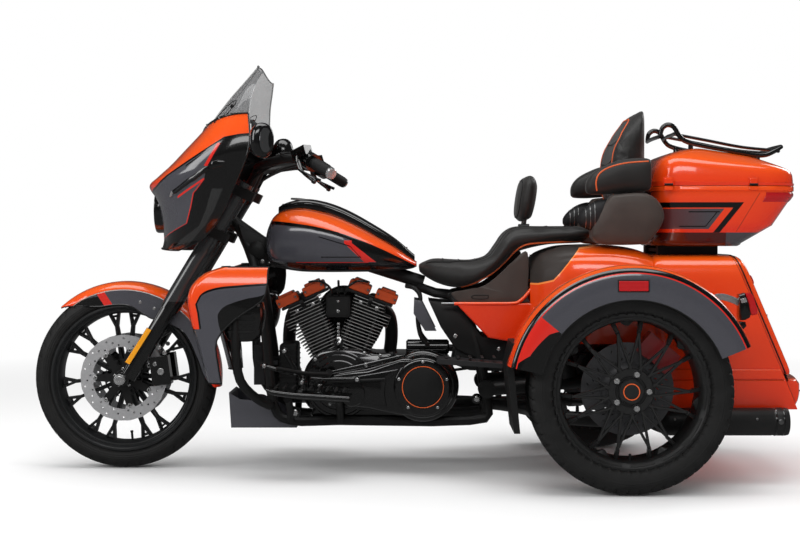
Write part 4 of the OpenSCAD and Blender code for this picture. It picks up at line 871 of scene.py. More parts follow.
def makeRearWheel(side):
    label = "Left" if side > 0 else "Right"
    w = rearWheel
    c = np.array([rearX, side * wheelY, rearAxle[2]])
    out = side
    parts = []
    rim = np.array([[.0855, .24], [.0855, .2475], [.08, .2475], [.074, .238], [.06, .233], [-.06, .228],
        [-.074, .238], [-.08, .2475], [-.0855, .2475], [-.0855, .24], [-.076, .232], [-.06, .219], [.04, .2195],
        [.064, .2235], [.072, .2255], [.078, .2335]]) * (out, 1)
    parts.append(turned(rim, c, sides=140))
    # small steps round the lip
    for k in range(14):
        a0 = 25.7 * k + 8
        angles = np.linspace(a0, a0 + 19, 12)
        rows = [wheelPoint(c, r, angles, c[1] + out * y) for r, y in ((.226, .0715), (.2272, .0765), (.2345, .0815),
            (.2365, .0795), (.23, .0735))]
        parts.append(loft(np.stack(rows, 1)))
    # hub, dished outwards
    parts.append(spun([[0.0, .058], [.03, .06], [.052, .072], [.06, .074], [.064, .071], [.0645, .05], [.06, .0475],
        [.058, .03]], c, (0, out, 0), 72))
    parts.append(spun([[.05, .041], [.07, .04], [.0745, .036], [.0755, .02], [.0755, .0004]], c, (0, out, 0), 48))
    tips = []
    for k in range(7):
        pairAngle = w["first"] + 51.43 * k
        wideAngle = pairAngle + 25.715
        for s in (-1, 1):
            tipAngle = pairAngle + s * w["narrow"]
            tip = wheelPoint(c, w["tip"], tipAngle, c[1] + out * .058)
            near = wheelPoint(c, w["hub"] + .001, pairAngle - s * 2.2, c[1] + out * .058)
            wide = wheelPoint(c, w["hub"] + .001, tipAngle + s * 18.5, c[1] + out * .058)
            parts.append(arm(near, tip, (w["strut"], .02), (w["strut"] * .95, .014), 5))
            parts.append(arm(wide, tip, (w["strut"], .02), (w["strut"] * .95, .014), 5))
            foot = wheelPoint(c, .2235, tipAngle + s * 1.5, c[1] + out * .022)
            parts.append(arm(tip, foot, (.0115, .02), (.015, .034), 6))
            tips.append(tipAngle)
        # triangle gusset and deep leg pairs to the rim barrel
        parts.append(arm(wheelPoint(c, .072, wideAngle, c[1] + out * .054), wheelPoint(c, .104, wideAngle,
            c[1] + out * .054), (.02, .012), (.006, .01), 3))
        parts.append(arm(wheelPoint(c, .205, pairAngle, c[1] + out * .018), wheelPoint(c, .224, pairAngle,
            c[1] + out * .018), (.01, .02), (.064, .03), 4))
    lugs = []
    for k in range(5):
        angle = 75 + 72 * k + 15
        place = wheelPoint(c, .0565, angle, c[1] + out * .0625)
        parts.append(spun([[-.004, .0145], [.003, .0145], [.0035, .012], [-.001, .0115]], place, (0, out, 0), 28))
        lugs.append(spun([[-.003, .0098], [.01, .0094], [.0125, .0075], [.0135, .004], [.0135, .0002]], place,
            (0, out, 0), 24))
    valve = wheelPoint(c, .224, 180.0, c[1] + out * .03)
    parts.append(rod(valve, wheelPoint(c, .2, 180.0, c[1] + out * .036), .0042, 12, .001))
    ring = turned([[.0758, .0265], [.0775, .0265], [.0775, .0235], [.0758, .0235]], c, (0, out, 0), 48)
    build("rearWheel" + label + "Rim", grouped(parts, lugs, [ring]), [wheelGrey, brightSteel, ringOrange],
        "rear_%s_wheel" % label.lower(), "rear_%s_wheel" % label.lower(), angle=32)

    # slotted disc with its hat
    y = side * .5175
    toSpace = lambda p: np.stack([c[0] + p[:, 0], np.full(len(p), y - .004), c[2] + p[:, 1]], -1)
    a = np.linspace(0, 2 * np.pi, 181)[:-1]
    loops = [np.stack([.149 * np.cos(a), .149 * np.sin(a)], -1), np.stack([.082 * np.cos(a), .082 * np.sin(a)], -1)]
    for k in range(36):
        t = 2 * np.pi * k / 36
        for r, shift in ((.096, 0), (.112, .06), (.128, .12)):
            if k % 2 == (r == .112):
                u, v = np.array([math.cos(t + shift), math.sin(t + shift)]), np.array([-math.sin(t + shift),
                    math.cos(t + shift)])
                outline = circle(0, 0, 1, 8) * (.0062, .0018)
                loops.append(r * u + outline[:, :1] * (u * .8 + v * .6) + outline[:, 1:] * (v * .8 - u * .6))
    build("rearDisc" + label, [holedPlate(loops, toSpace, (0, .008, 0)), spun([[-.012, .086], [.006, .086],
        [.012, .08], [.02, .062], [.02, .03]], (c[0], y, c[2]), (0, side, 0), 56)], discDark,
        "rear_%s_wheel" % label.lower(), angle=30)


tyre("frontTyreTread", frontAxle, frontTyre["section"], frontTyre["grooves"], "front_wheel", "front_tyre")
makeFrontWheel()
for side, label in ((1, "Left"), (-1, "Right")):
    tyre("rear" + label + "TyreTread", np.array([rearX, side * wheelY, rearAxle[2]]), rearTyre["section"],
        rearTyre["grooves"], "rear_%s_wheel" % label.lower(), "rear_%s_tyre" % label.lower())
    makeRearWheel(side)
print("wheels and tyres made")


# place and outward normal on a grid surface, nearest to side-view places x, z with y above a limit
def onSurface(grid, x, z, least=.02, side=1):
    grid = np.asarray(grid, float)
    du, dv = np.gradient(grid, axis=1), np.gradient(grid, axis=0)
    normal = unit(np.cross(du, dv)).reshape(-1, 3)
    points = grid.reshape(-1, 3)
    keep = points[:, 1] * side > least
    points, normal = points[keep], normal[keep]
    normal *= np.sign((normal[:, 1] * side)[:, None] + 1e-9)
    spots = np.stack([np.atleast_1d(x), np.atleast_1d(z)], -1)
    near = ((points[None, :, [0, 2]] - spots[:, None]) ** 2).sum(-1).argmin(1)
    return points[near], normal[near]


# line on a surface from side-view places, lifted along the normals
def surfaceLine(grid, places, lift, steps=6, side=1):
    line = smoothLine(places, steps)
    points, normals = onSurface(grid, line[:, 0], line[:, 1], side=side)
    path = points + normals * lift
    if len(path) > 6:
        kernel = np.array([1, 2, 3, 2, 1]) / 9
        padded = np.vstack([path[:1]] * 2 + [path] + [path[-1:]] * 2)
        path = np.stack([np.convolve(padded[:, k], kernel, "valid") for k in range(3)], -1)
    return path


frontFender = {"outer": .337, "half": .0735, "wall": .003, "crown": .034, "front": 43.0, "rear": 96.0,
               # degrees forward of the top, radius of the lower edge
               "edge": [(-96, .322), (-93, .292), (-85, .274), (-71, .264), (-52, .2645), (-40, .245), (-24, .228),
                        (-13, .24), (-3, .2556), (8, .2575), (17, .26), (24, .272), (31, .291), (37, .311),
                        (41, .327), (43, .333)]}


def makeFrontFender():
    f = frontFender
    a = np.linspace(-f["rear"], f["front"], 121)
    edge = np.interp(a, *np.array(f["edge"]).T)
    edge = np.convolve(np.pad(edge, 2, mode="edge"), np.ones(5) / 5, "valid")
    crown = np.minimum(f["crown"], (f["outer"] - edge) * .85)
    narrow = np.sqrt(np.clip((f["front"] + 4 - a) / 22, 0, 1)) ** 1.1
    tail = np.clip((a + f["rear"] + 2) / 9, 0, 1) ** .35
    half = f["half"] * np.clip(narrow, 0, 1) * (.55 + .45 * tail)
    # crown: y = half * sin^0.7, radius falls by crown * (1 - cos^1.1); sides go straight to the edge
    b = np.linspace(-90, 90, 33) * math.pi / 180
    yc = half[:, None] * signedPower(np.sin(b), .72)
    rc = f["outer"] - crown[:, None] * (1 - np.cos(b) ** 1.15)
    t = np.linspace(0, 1, 9)[:-1]
    sideR = edge[:, None] + (f["outer"] - crown - edge)[:, None] * t
    bulge = 1 - .03 * (1 - t)
    left = np.stack([-half[:, None] * bulge, sideR], -1)
    right = np.stack([half[:, None] * bulge[::-1], sideR[:, ::-1]], -1)
    section = np.concatenate([left, np.stack([yc, rc], -1), right], axis=1)
    rad = np.radians(a)[:, None]

    def place(sec):
        return np.stack([frontAxle[0] + sec[..., 1] * np.sin(rad), sec[..., 0], frontAxle[2] + sec[..., 1]
            * np.cos(rad)], -1)

    inner = section.copy()
    inner[..., 0] *= ((half - f["wall"]) / half)[:, None]
    inner[..., 1] -= f["wall"] * np.clip((section[..., 1] - edge[:, None]) / .01, 0, 1)
    shader = Shader("frontFenderPaint", coat=1.0, coatRough=.03, rough=.22)
    x, _, z = shader.place()
    dx, dz = x - float(frontAxle[0]), z - float(frontAxle[2])
    radius = (dx * dx + dz * dz) ** .5
    orange = pearlWithPaintedLight(shader, z, low=.5, high=.66)
    slate = slateCoat(shader)
    tipLine = shader.line(x, [(1.06, .6035), (1.1037, .603), (1.146, .594), (1.186, .573), (1.24, .56)])
    slant = x - (z - .5742) * .642
    stripe = slant.between(1.046, 1.0775) * radius.under(.3075)
    tip = slant.over(1.0775) * z.under(tipLine)
    # the thin pale band where the side rolls into the crown is a painted highlight
    material = layered(shader, slate, [(stripe, palette["stripe"]), (tip, palette["black"]),
        (radius.between(.3075, .309), (.5, .36, .28)), (radius.over(.31), orange)])
    build("frontFenderShell", [wall(place(section), place(inner))], material, "fork", "front_fender",
        angle=40)
    # rolled lip along the lower edge and stay bolts
    lip = [tube(place(section)[:, k], .0022, 8) for k in (0, -1)]
    bolts = [bolt(place(section)[k, -5] + (0, -.001, 0), (0, 1, 0), .005, .005) for k in (62, 72)]
    bolts += [bolt(place(section)[k, 4] + (0, .001, 0), (0, -1, 0), .005, .005) for k in (62, 72)]
    build("frontFenderLip", grouped(lip, bolts), [blackGloss, brightSteel], "fork")


makeFrontFender()

headShift = -.01683
# front x, front z, rear x, half width, rear z
fairing = {"rows": [[896, 772, 820, 150, 766], [890, 790, 775, 192, 782], [888, 812, 737, 225, 800], [893, 865, 670,
    290, 860], [908, 935, 622, 350, 945], [936, 984, 585, 385, 1020], [909, 1012, 565, 400, 1060], [862, 1052, 552,
    408, 1100], [803, 1112, 548, 400, 1152], [742, 1170, 556, 372, 1221]], "square": 2.3, "wall": .004}
screen = {"rows": [[757, 1156, 554, 379, 1204], [742, 1170, 556, 372, 1221], [672, 1262, 550, 334, 1288],
    [607, 1345, 538, 280, 1338], [560, 1412, 526, 205, 1374]], "back": .0052, "wall": .004}


# shell of rows: y = half * u, c = (1 - |u|^p)^(1/p), x = rear + (front - rear) c,
# z = front z c^2 + rear z (1 - c^2)
def visorGrid(rows, inset, columns=97, steps=6):
    r = smoothLine(rows, steps)[:, None, :] / 1000
    u = np.sin(np.linspace(-np.pi / 2, np.pi / 2, columns))[None]
    p = fairing["square"]
    c = np.clip(1 - np.abs(u) ** p, 0, 1) ** (1 / p)
    x = r[..., 2] + (r[..., 0] - inset - r[..., 2]) * c + headShift
    y = (r[..., 3] - inset) * u
    z = r[..., 1] * c**2 + r[..., 4] * (1 - c**2)
    return np.stack([x, y, z], -1)


def makeFairing():
    outer = visorGrid(fairing["rows"], 0)
    # a crease runs from the nose back along the side, and a hollow lies below it
    along = np.clip((outer[..., 0] - .6) / .25, 0, 1) * np.clip((.86 - outer[..., 0]) / .05, 0, 1)
    ridge = .9542 + (.8095 - outer[..., 0]) * .625
    below = np.exp(-((outer[..., 2] - (ridge - .055)) / .03) ** 2)
    outer[..., 1] -= np.sign(outer[..., 1]) * .012 * along * below * np.clip(np.abs(outer[..., 1]) / .15, 0, 1)
    inner = visorGrid(fairing["rows"], fairing["wall"])
    inner[..., 1] -= np.sign(inner[..., 1]) * .012 * along * below * np.clip(np.abs(inner[..., 1]) / .15, 0, 1)
    shader = Shader("fairingPaint", coat=1.0, coatRough=.03, rough=.2)
    x, _, z = shader.place()
    orange = pearlWithPaintedLight(shader, z, low=.9, high=1.2)
    slate = slateCoat(shader)
    orangeFoot = shader.line(x, [(.5, 1.156), (.5618, 1.1514), (.6168, 1.1422), (.6398, 1.1284), (.8186, 1.023),
        (.87, .985), (.93, .95)])
    rearEdge = shader.line(z, [(.76, .95), (.8281, .8209), (.8579, .759), (.9083, .7407), (.9588, .7269),
        (.97, .715), (1.0046, .6856), (1.0482, .6765), (1.117, .6352), (1.13, .63), (1.25, .6)])
    panel = x.over(rearEdge)
    stripe = (x - rearEdge).between(-.004, .008) * z.between(1.046, 1.122)
    pin = (x - rearEdge).between(-.0015, .0018) * z.between(.8, 1.0)
    underSlot = (z - (.9473 + (.7819 - x) * .595)).between(-.0035, .0035) * x.between(.686, .785)
    crease = (z - (1.0482 + (.7498 - x) * .6315)).between(-.003, .003) * x.between(.6627, .7498)
    # the dark grey band between these two lines on the lower lip is a painted reflection on the black gloss
    lip = shader.line(z, [(.76, .8), (.8, .745), (.85, .695), (.9, .66), (.97, .625), (1.0, .62)])
    inside = shader.line(z, [(.76, .83), (.8, .79), (.85, .715), (.9, .688), (.97, .662), (1.0, .655)])
    reflectionWedge = x.over(lip) * x.under(inside) * z.under(.972)
    material = layered(shader, palette["black"], [(reflectionWedge, (.02, .021, .021)), (panel, slate),
        (pin, palette["stripe"]), (stripe, palette["stripe"]), (underSlot, palette["stripe"]),
        (crease, palette["black"]), (z.over(orangeFoot - .0075), palette["black"]), (z.over(orangeFoot), orange)])
    build("fairingShell", [wall(outer, inner)], material, "fork", "fairing_shell", angle=45)

    trims, lenses, dark = [], [], []
    for s in (1, -1):
        slot = surfaceLine(outer, [(.8045, .9575), (.76, .9855), (.71, 1.0165), (.668, 1.0425)], .001, 8, s)
        profile = np.stack(superCircle(20, 2.6), -1) * (.0095, .0035)
        taper = np.interp(np.linspace(0, 1, len(slot)), [0, .12, .85, 1], [.45, 1, 1, .75])
        dark.append(sweep(slot, profile[:, ::-1], up=(0, 0, 1), scale=taper))
        fin = surfaceLine(outer, [(.664, 1.0445), (.64, 1.0535), (.615, 1.0535)], .002, 8, s)
        dark.append(sweep(fin, profile[:, ::-1] * (1.1, 1.25), up=(0, 0, 1), scale=np.interp(np.linspace(0, 1,
            len(fin)), [0, .3, .8, 1], [.6, 1, .9, .45])))
        tip = surfaceLine(outer, [(.812, .953), (.806, .9565), (.799, .961)], .0022, 4, s)
        trims.append(tube(tip, [.002] + [.0042] * (len(tip) - 2) + [.003], 12))
        lens2 = slot[4:-6] + np.array([0, s * .0024, .001])
        lenses.append(tube(lens2, .0032, 10))
    rim = outer[-1]
    edge = tube(rim + (0, 0, .001), .0045, 12)
    foot = tube(outer[0], .0035, 10)
    back = [tube(outer[:, k], .0032, 10) for k in (0, -1)]
    screws = []
    for k in (14, 26, 38, 58, 70, 82):
        screws.append(bolt(rim[k] + (.002, 0, .002), unit(rim[k] - rim.mean(0) + (0, 0, .1)), .0042, .004))
    build("fairingTrim", grouped([edge, foot] + back + dark, trims + screws, lenses), [blackGloss, brightSteel,
        slotDark], "fork")


makeFairing()


def makeScreen():
    outer = visorGrid(screen["rows"], screen["back"], steps=8)
    inner = visorGrid(screen["rows"], screen["back"] + screen["wall"], steps=8)
    # crest down the middle
    crest = .005 * np.exp(-(outer[..., 1] / .03) ** 2)
    outer[..., 0] += crest
    inner[..., 0] += crest
    build("windshieldSheet", [wall(outer, inner)], smokedScreen, "fork", "windshield", angle=50)
    rim = np.concatenate([outer[8:, 0], outer[-1], outer[8:, -1][::-1]])
    edge = tube(rim, .0026, 8)
    crest = tube(outer[6:, 48] + (-.002, 0, 0), .0011, 8)
    beads, screws = [], []
    for s in (1, -1):
        loop = surfaceLine(outer, [(.672, 1.19), (.64, 1.225), (.6, 1.262), (.585, 1.268), (.588, 1.25),
            (.62, 1.212), (.655, 1.18), (.672, 1.19)], .001, 5, s)
        beads.append(tube(loop, .0013, 8))
        for place in ((.655, 1.194), (.597, 1.246)):
            point, normal = onSurface(outer, [place[0]], [place[1]], side=s)
            screws.append(bolt(point[0], normal[0], .0055, .006))
    build("windshieldTrim", grouped([edge], [crest] + beads + screws), [smokedRim, blackSatin], "fork")


smokedRim = tinted("smokedRim", (.22, .225, .23), .55)
makeScreen()

lamp = {"z": .905, "front": .8895}


def makeHeadlamp():
    centre = (lamp["front"], 0, lamp["z"])
    bezel = turned([[-.03, .079], [.006, .0795], [.012, .077], [.013, .0735], [.009, .0715], [-.03, .0715]], centre,
        (1, 0, 0), 80)
    glass = spun([[-.012, .0712], [.002, .0705], [.0065, .06], [.009, .04], [.0105, .02], [.011, .0006]], centre,
        (1, 0, 0), 64)
    bowl = turned([[-.03, .071], [-.03, .062], [-.0125, .07], [-.0125, .071]], centre, (1, 0, 0), 64)
    bars = [roundBlock((lamp["front"] - .028, -.052, lamp["z"] + dz - .006), (lamp["front"] - .012, .052,
        lamp["z"] + dz + .006), .004) for dz in (-.022, 0.0, .022)]
    build("headlampUnit", grouped([bezel], [bowl], bars), [blackGloss, brightSteel, clearLens], "fork",
        "headlamp")
    build("headlampGlass", [glass], tinted("headlampCover", (.55, .57, .6), .22, .02), "fork")


makeHeadlamp()


def makeMirrors():
    parts, glass = [], []
    for s in (1, -1):
        rows = smoothLine([[-36, 6], [-34, 17], [-28, 26], [-10, 36], [14, 39], [30, 35], [37, 26], [39, 12]], 4)
        t, r = rows[:, 0][:, None] / 1000, rows[:, 1][:, None] / 1000
        c, v = superCircle(36, 2.3)
        x = .5129 + headShift - t * .5 + r * .85 * c
        y = .4064 + t * .6 + r * .5 * c
        z = 1.128 + r * 1.5 * v
        grid = np.stack([x, y, z], -1)
        grid[..., 1] *= s
        parts.append(loft(grid))
        stalk = smoothLine([(.515, s * .345, 1.105), (.505, s * .365, 1.115), (.497, s * .385, 1.124)], 5)
        parts.append(tube(stalk, np.linspace(.016, .011, len(stalk)), 16))
        centre = np.array([.5129 + headShift - .018, s * (.4064 + .0235), 1.128])
        normal = unit(np.array([-.5, s * .6, 0]))
        u, v2 = crossAxes(normal)
        c2, s2 = superCircle(32, 2.3)
        ringPoints = centre + .8 * (.028 * c2[:, None] * u + .05 * s2[:, None] * v2)
        glass.append(prism(ringPoints, normal * .0025))
    build("mirrorHousings", parts, blackGloss, "fork", "mirrors")
    build("mirrorGlasses", glass, mirrorGlass, "fork")


makeMirrors()

forkFinish = Shader("forkCovers", coat=.9, coatRough=.05, rough=.22)
fx, fy, fz = forkFinish.place()
forkFinish.set("color", forkFinish.mix(fz.over(.588, .002), (.0045, .0045, .0045), (.026, .027, .028)))
orangePeel(forkFinish)
refine("fork_legs", forkFinish.material, .0015)

barParts = {"rings": 9}


def makeBarDetails():
    grips, metal, dark, hoses = [], [], [], []
    for s in (1, -1):
        inner = np.array([.342 + headShift, s * .338, 1.057])
        end = np.array([.281 + headShift, s * .43, 1.02])
        along = unit(end - inner)
        length = np.linalg.norm(end - inner)
        rows = [[.012, .0185], [.016, .0205], [.02, .0205]]
        for k in range(barParts["rings"]):
            d = .024 + (length - .036) * k / barParts["rings"]
            rows += [[d, .0203], [d + .0012, .0192], [d + .004, .0192], [d + .0052, .0203]]
        rows += [[length - .004, .0203], [length, .0195]]
        grips.append(spun(rows, inner, along, 32))
        metal.append(spun([[0, .0195], [.006, .0192], [.009, .016], [.0095, .0004]], end, along, 32))
        # lever with its pivot and ball end
        pivot = inner - along * .022 + np.array([.04, 0, .004])
        tip = end - along * .006 + np.array([.052, 0, -.028])
        line = smoothLine([pivot, pivot + along * .03 + (.012, 0, 0), (pivot + tip) / 2 + (.012, 0, -.004),
            tip - along * .012, tip], 6)
        dark.append(tube(line, np.interp(np.linspace(0, 1, len(line)), [0, .2, .9, 1], [.008, .0065, .0045, .005]),
            14))
        dark.append(spun([[-.009, .0002], [-.0085, .0045], [-.004, .0085], [.004, .0085], [.0085, .0045],
            [.009, .0002]], tip, along, 20))
        metal.append(bolt(pivot + (0, 0, .01), (0, 0, 1), .0065, .006))
        metal.append(bolt(inner - along * .03 + (0.0, 0, .022), (0, 0, 1), .0035, .004))
        # brake and clutch lines drop behind the fairing
        for shift, drop in ((0, 0), (.012, -.008)):
            line = smoothLine([inner - along * .046 + (.04 + shift, 0, .004), inner - along * .075 + (.075, 0,
                .012 + drop), (.4 + headShift, s * .245, 1.09 + drop), (.5 + headShift, s * .19, 1.06 + drop),
                (.575 + headShift, s * .12, 1.0), (.6 + headShift, s * .07, .93)], 6)
            hoses.append(tube(line, .0042, 10))
    build("gripSleeves", grips, gripRubber, "fork", angle=50)
    build("leverSet", grouped(dark, metal, hoses), [blackGloss, brightSteel, gripRubber], "fork")


makeBarDetails()


def makeForkDetails():
    amber, bolts, dark = [], [], []
    forward = np.array([math.cos(math.radians(31)), 0, math.sin(math.radians(31))])
    for s in (1, -1):
        low = np.array([.982, s * .1365, .376])
        high = np.array([.907, s * .1365, .494])
        size = np.stack(superCircle(20, 6), -1) * (.0085, .003)
        path = np.linspace(low, high, 4)
        side = np.broadcast_to(forward, (4, 3))
        rings = path[:, None] + size[None, :, :1] * side[:, None] + size[None, :, 1:] * np.array([0, s, 0])
        amber.append(loft(rings))
        back = path[:, None] + size[None, :, :1] * 1.15 * side[:, None] + size[None, :, 1:] * np.array([0, s, 0]) \
            - np.array([0, s * .0022, 0])
        dark.append(loft(back))
        for x, z, r in ((.88, .427, .0062), (.8605, .4085, .0062), (.8945, .3695, .0062)):
            bolts.append(bolt((x, s * .098, z), (0, s, 0), r, .006))
        bolts.append(spun([[-.004, .0115], [.004, .0115], [.0048, .0095], [.0048, .006], [.002, .0055],
            [.002, .0003]], (.8735, s * .0985, .3435), (0, s, 0), 28))
        bolts.append(spun([[-.002, .013], [.003, .013], [.004, .011], [.004, .0075], [.001, .007], [.001, .0003]],
            (frontAxle[0], s * .146, frontAxle[2]), (0, s, 0), 28))
    build("forkReflectors", grouped(amber, dark, bolts), [amberLens, blackSatin, brightSteel], "fork")


makeForkDetails()
print("front end made")

tank = {"front": .50617, "length": .523,
        # share of the length, half width, bottom, top
        "rows": [[-.01, 58, 758, 824], [.004, 92, 736, 848], [.04, 122, 712, 884], [.11, 148, 700, 906],
                 [.24, 163, 690, 914], [.38, 166, 688, 900], [.53, 160, 688, 870], [.7, 142, 689, 824],
                 [.85, 112, 692, 780], [.96, 72, 699, 739], [1, 42, 707, 725]]}


def makeTank():
    rows = smoothLine(tank["rows"], 8)
    rows[:, 1:] /= 1000
    rows[:, 0] = tank["front"] - tank["length"] * rows[:, 0]
    shell = ringsX(rows, 2.55, 112)
    shader = Shader("tankPaint", coat=1.0, coatRough=.03, rough=.2)
    x, _, z = shader.place()
    orange = pearlWithPaintedLight(shader, z, low=.7, high=.9)
    slate = slateCoat(shader)
    upper = shader.line(x, [(-.03, .716), (-.0179, .7252), (.1099, .8081), (.2135, .8634), (.3172, .8979),
        (.4035, .9105), (.445, .905), (.48, .888), (.52, .868)], True)
    lower = shader.line(x, [(-.03, .7), (-.011, .7114), (.0408, .739), (.179, .8012), (.2826, .8357),
        (.3862, .8565), (.4829, .8668), (.52, .868)], True)
    wedgeTop = shader.line(x, [(.05, .68), (.1756, .74), (.2135, .7805), (.3172, .8115), (.52, .83)])
    side = z.under(lower - .012)
    grey = side * x.over(shader.line(z, [(.69, .12), (.7252, .1237), (.7908, .2066), (.84, .23)])) * z.over(.7235)
    redWedge = side * x.between(shader.line(z, [(.68, .12), (.7252, .1237), (.7908, .2066), (.83, .2066)]),
        shader.line(z, [(.68, .17), (.7252, .164), (.7908, .233), (.83, .233)])) * z.between(.7252, .8)
    outlineTop = (z - wedgeTop).between(-.0018, .0018) * x.between(.174, .32)
    outlineFoot = z.between(.7405, .744) * x.between(.176, .312)
    redLine = z.between(.7225, .7245) * x.between(.15, .4)
    material = layered(shader, palette["black"], [(side * z.under(.7235), (.012, .012, .013)), (grey, slate),
        (redWedge, palette["stripe"]), (redLine, palette["stripe"]), (outlineTop, palette["black"]),
        (outlineFoot, palette["black"]), (z.over(lower), orange), ((z - upper).between(-.004, -.0015),
        (.3, .035, .003)), (z.over(upper + .002), palette["black"])])
    build("tankShell", [loft(shell)], material, "chassis", "fuel_tank", angle=60)
    trims = [tube(np.stack([rows[4:-2, 0], rows[4:-2, 1] * s * .82, rows[4:-2, 2] + .006], -1), .0035, 8)
        for s in (1, -1)]
    build("tankSeam", trims, blackSatin, "chassis")


makeTank()


def makeConsole():
    t = np.linspace(0, 1, 49)
    share = .07 + t * .917
    rows = smoothLine(tank["rows"], 8)
    top = np.interp(share, rows[:, 0], rows[:, 3]) / 1000
    half = .014 + .034 * np.sin(np.pi * np.minimum(.12 + .8 * t, 1)) ** .5
    rise = .008 + .03 * np.sin(np.pi * np.minimum(.08 + .86 * t, 1)) ** .6
    stations = np.stack([tank["front"] - tank["length"] * share, half, top - .016, top + rise], -1)
    body = ringsX(stations, 3.0, 64)
    cap = (.395, 0, float(np.interp(.395, stations[::-1, 0], stations[::-1, 3])))
    lid = spun([[-.004, .034], [.0015, .034], [.003, .032], [.003, .026], [.002, .0255], [.0035, .024],
        [.0045, .012], [.0048, .0004]], cap, (-.1, 0, 1), 64)
    screws = [bolt((x, 0, float(np.interp(x, stations[::-1, 0], stations[::-1, 3])) - .001), (0, 0, 1), .004, .003)
        for x in (.455, .02)]
    build("tankConsole", grouped([loft(body)], [lid] + screws), [blackGloss, brightSteel], "chassis",
        "tank_console", angle=50)


makeConsole()


# Padded piece: voxel remesh, cloth inflated by pressure without gravity, movement capped, one subdivision
def puff(piece, voxel=.006, pressure=4.0, cap=.01, held=None):
    bpy.ops.object.select_all(action="DESELECT")
    bpy.context.view_layer.objects.active = piece
    piece.select_set(True)
    remesh = piece.modifiers.new("remesh", "REMESH")
    remesh.mode = "VOXEL"
    remesh.voxel_size = voxel
    bpy.ops.object.modifier_apply(modifier=remesh.name)
    mesh = piece.data
    n = len(mesh.vertices)
    start = np.empty(n * 3)
    mesh.vertices.foreach_get("co", start)
    start = start.reshape(-1, 3)
    normals = np.empty(n * 3)
    mesh.vertices.foreach_get("normal", normals)
    normals = normals.reshape(-1, 3)
    cloth = piece.modifiers.new("cloth", "CLOTH")
    cloth.settings.use_pressure = True
    cloth.settings.uniform_pressure_force = pressure
    cloth.settings.quality = 4
    cloth.settings.effector_weights.gravity = 0
    cloth.collision_settings.use_self_collision = False
    cloth.point_cache.frame_start, cloth.point_cache.frame_end = 1, 20
    for step in range(1, 21):
        bpy.context.scene.frame_set(step)
    grown = piece.evaluated_get(bpy.context.evaluated_depsgraph_get()).data
    swollen = np.empty(n * 3)
    grown.vertices.foreach_get("co", swollen)
    move = swollen.reshape(-1, 3) - start
    piece.modifiers.remove(cloth)
    bpy.context.scene.frame_set(1)
    size = np.linalg.norm(move, axis=1, keepdims=True)
    move *= np.minimum(1, cap / np.maximum(size, 1e-9))
    if held is not None:
        move *= held(start)[:, None]
    mesh.vertices.foreach_set("co", (start + move).ravel())
    mesh.update()
    mesh.shade_smooth()
    subdivision = piece.modifiers.new("smooth", "SUBSURF")
    subdivision.levels = subdivision.render_levels = 1
    bpy.ops.object.modifier_apply(modifier=subdivision.name)
    print("padded:", piece.name, len(piece.data.polygons), "faces")
    return piece


# places where rays along a direction meet a piece, with the normals there
def hits(piece, origins, direction):
    tree = BVHTree.FromObject(piece, bpy.context.evaluated_depsgraph_get())
    found = [tree.ray_cast(Vector(o), Vector(direction)) for o in origins]
    return [(np.array(h[0]), np.array(h[1])) if h[0] is not None else None for h in found]


def cordOn(piece, places, side, radius, steps=8, lift=.0006, reach=.5):
    line = smoothLine(places, steps)
    found = hits(piece, [(x, side * reach, z) for x, z in line], (0, -side, 0))
    path = np.array([p + n * lift for p, n in (h for h in found if h is not None)])
    kernel = np.ones(5) / 5
    padded = np.vstack([path[:1]] * 2 + [path] + [path[-1:]] * 2)
    path = np.stack([np.convolve(padded[:, k], kernel, "valid") for k in range(3)], -1)
    return tube(path, radius, 10)


def cordOver(piece, places, radius, steps=8, lift=.0004, top=1.5):
    line = smoothLine(places, steps)
    found = hits(piece, [(x, y, top) for x, y in line], (0, 0, -1))
    path = np.array([p + n * lift for p, n in (h for h in found if h is not None)])
    return tube(path, radius, 8)


seat = {"rear": -.01683,
        # behind the tank, half width, bottom, top
        "rows": [[10, 40, 700, 716], [16, 60, 690, 725], [60, 110, 657, 736], [130, 160, 636, 733], [200, 184, 644, 730],
                 [252, 188, 682, 742], [284, 185, 708, 782], [312, 179, 736, 824], [350, 174, 766, 842],
                 [450, 173, 791, 843], [560, 169, 797, 843], [592, 158, 801, 839], [600, 140, 805, 832]],
        # side view places of the piping that parts the cover from the skirt
        "piping": [(-.118, .622), (-.1995, .6471), (-.268, .6813), (-.3194, .7225), (-.3537, .7602), (-.388, .7842),
                   (-.45, .7925), (-.606, .7985)]}

twoTone = Shader("seatCover", specular=.42, sheen=.1, sheenRough=.4)
tx, ty, tz = twoTone.place()
pebbles = twoTone.cells(620)
cloud = twoTone.noise(16, 5)
skirtLine = twoTone.line(tx, seat["piping"] + [(-.02, .6), (-.64, .8)], True)
skirtShare = tz.under(skirtLine, .001) * tx.under(-.12)
coverColor = twoTone.mix(cloud, palette["leather"], tuple(c * 1.9 for c in palette["leather"]))
twoTone.set("color", twoTone.mix(skirtShare, coverColor, palette["skirt"]))
twoTone.set("rough", pebbles * .16 + cloud * .1 + .34)
twoTone.bump(pebbles * -.6 + twoTone.noise(90, 4, .65) * .5, .35, .0008)


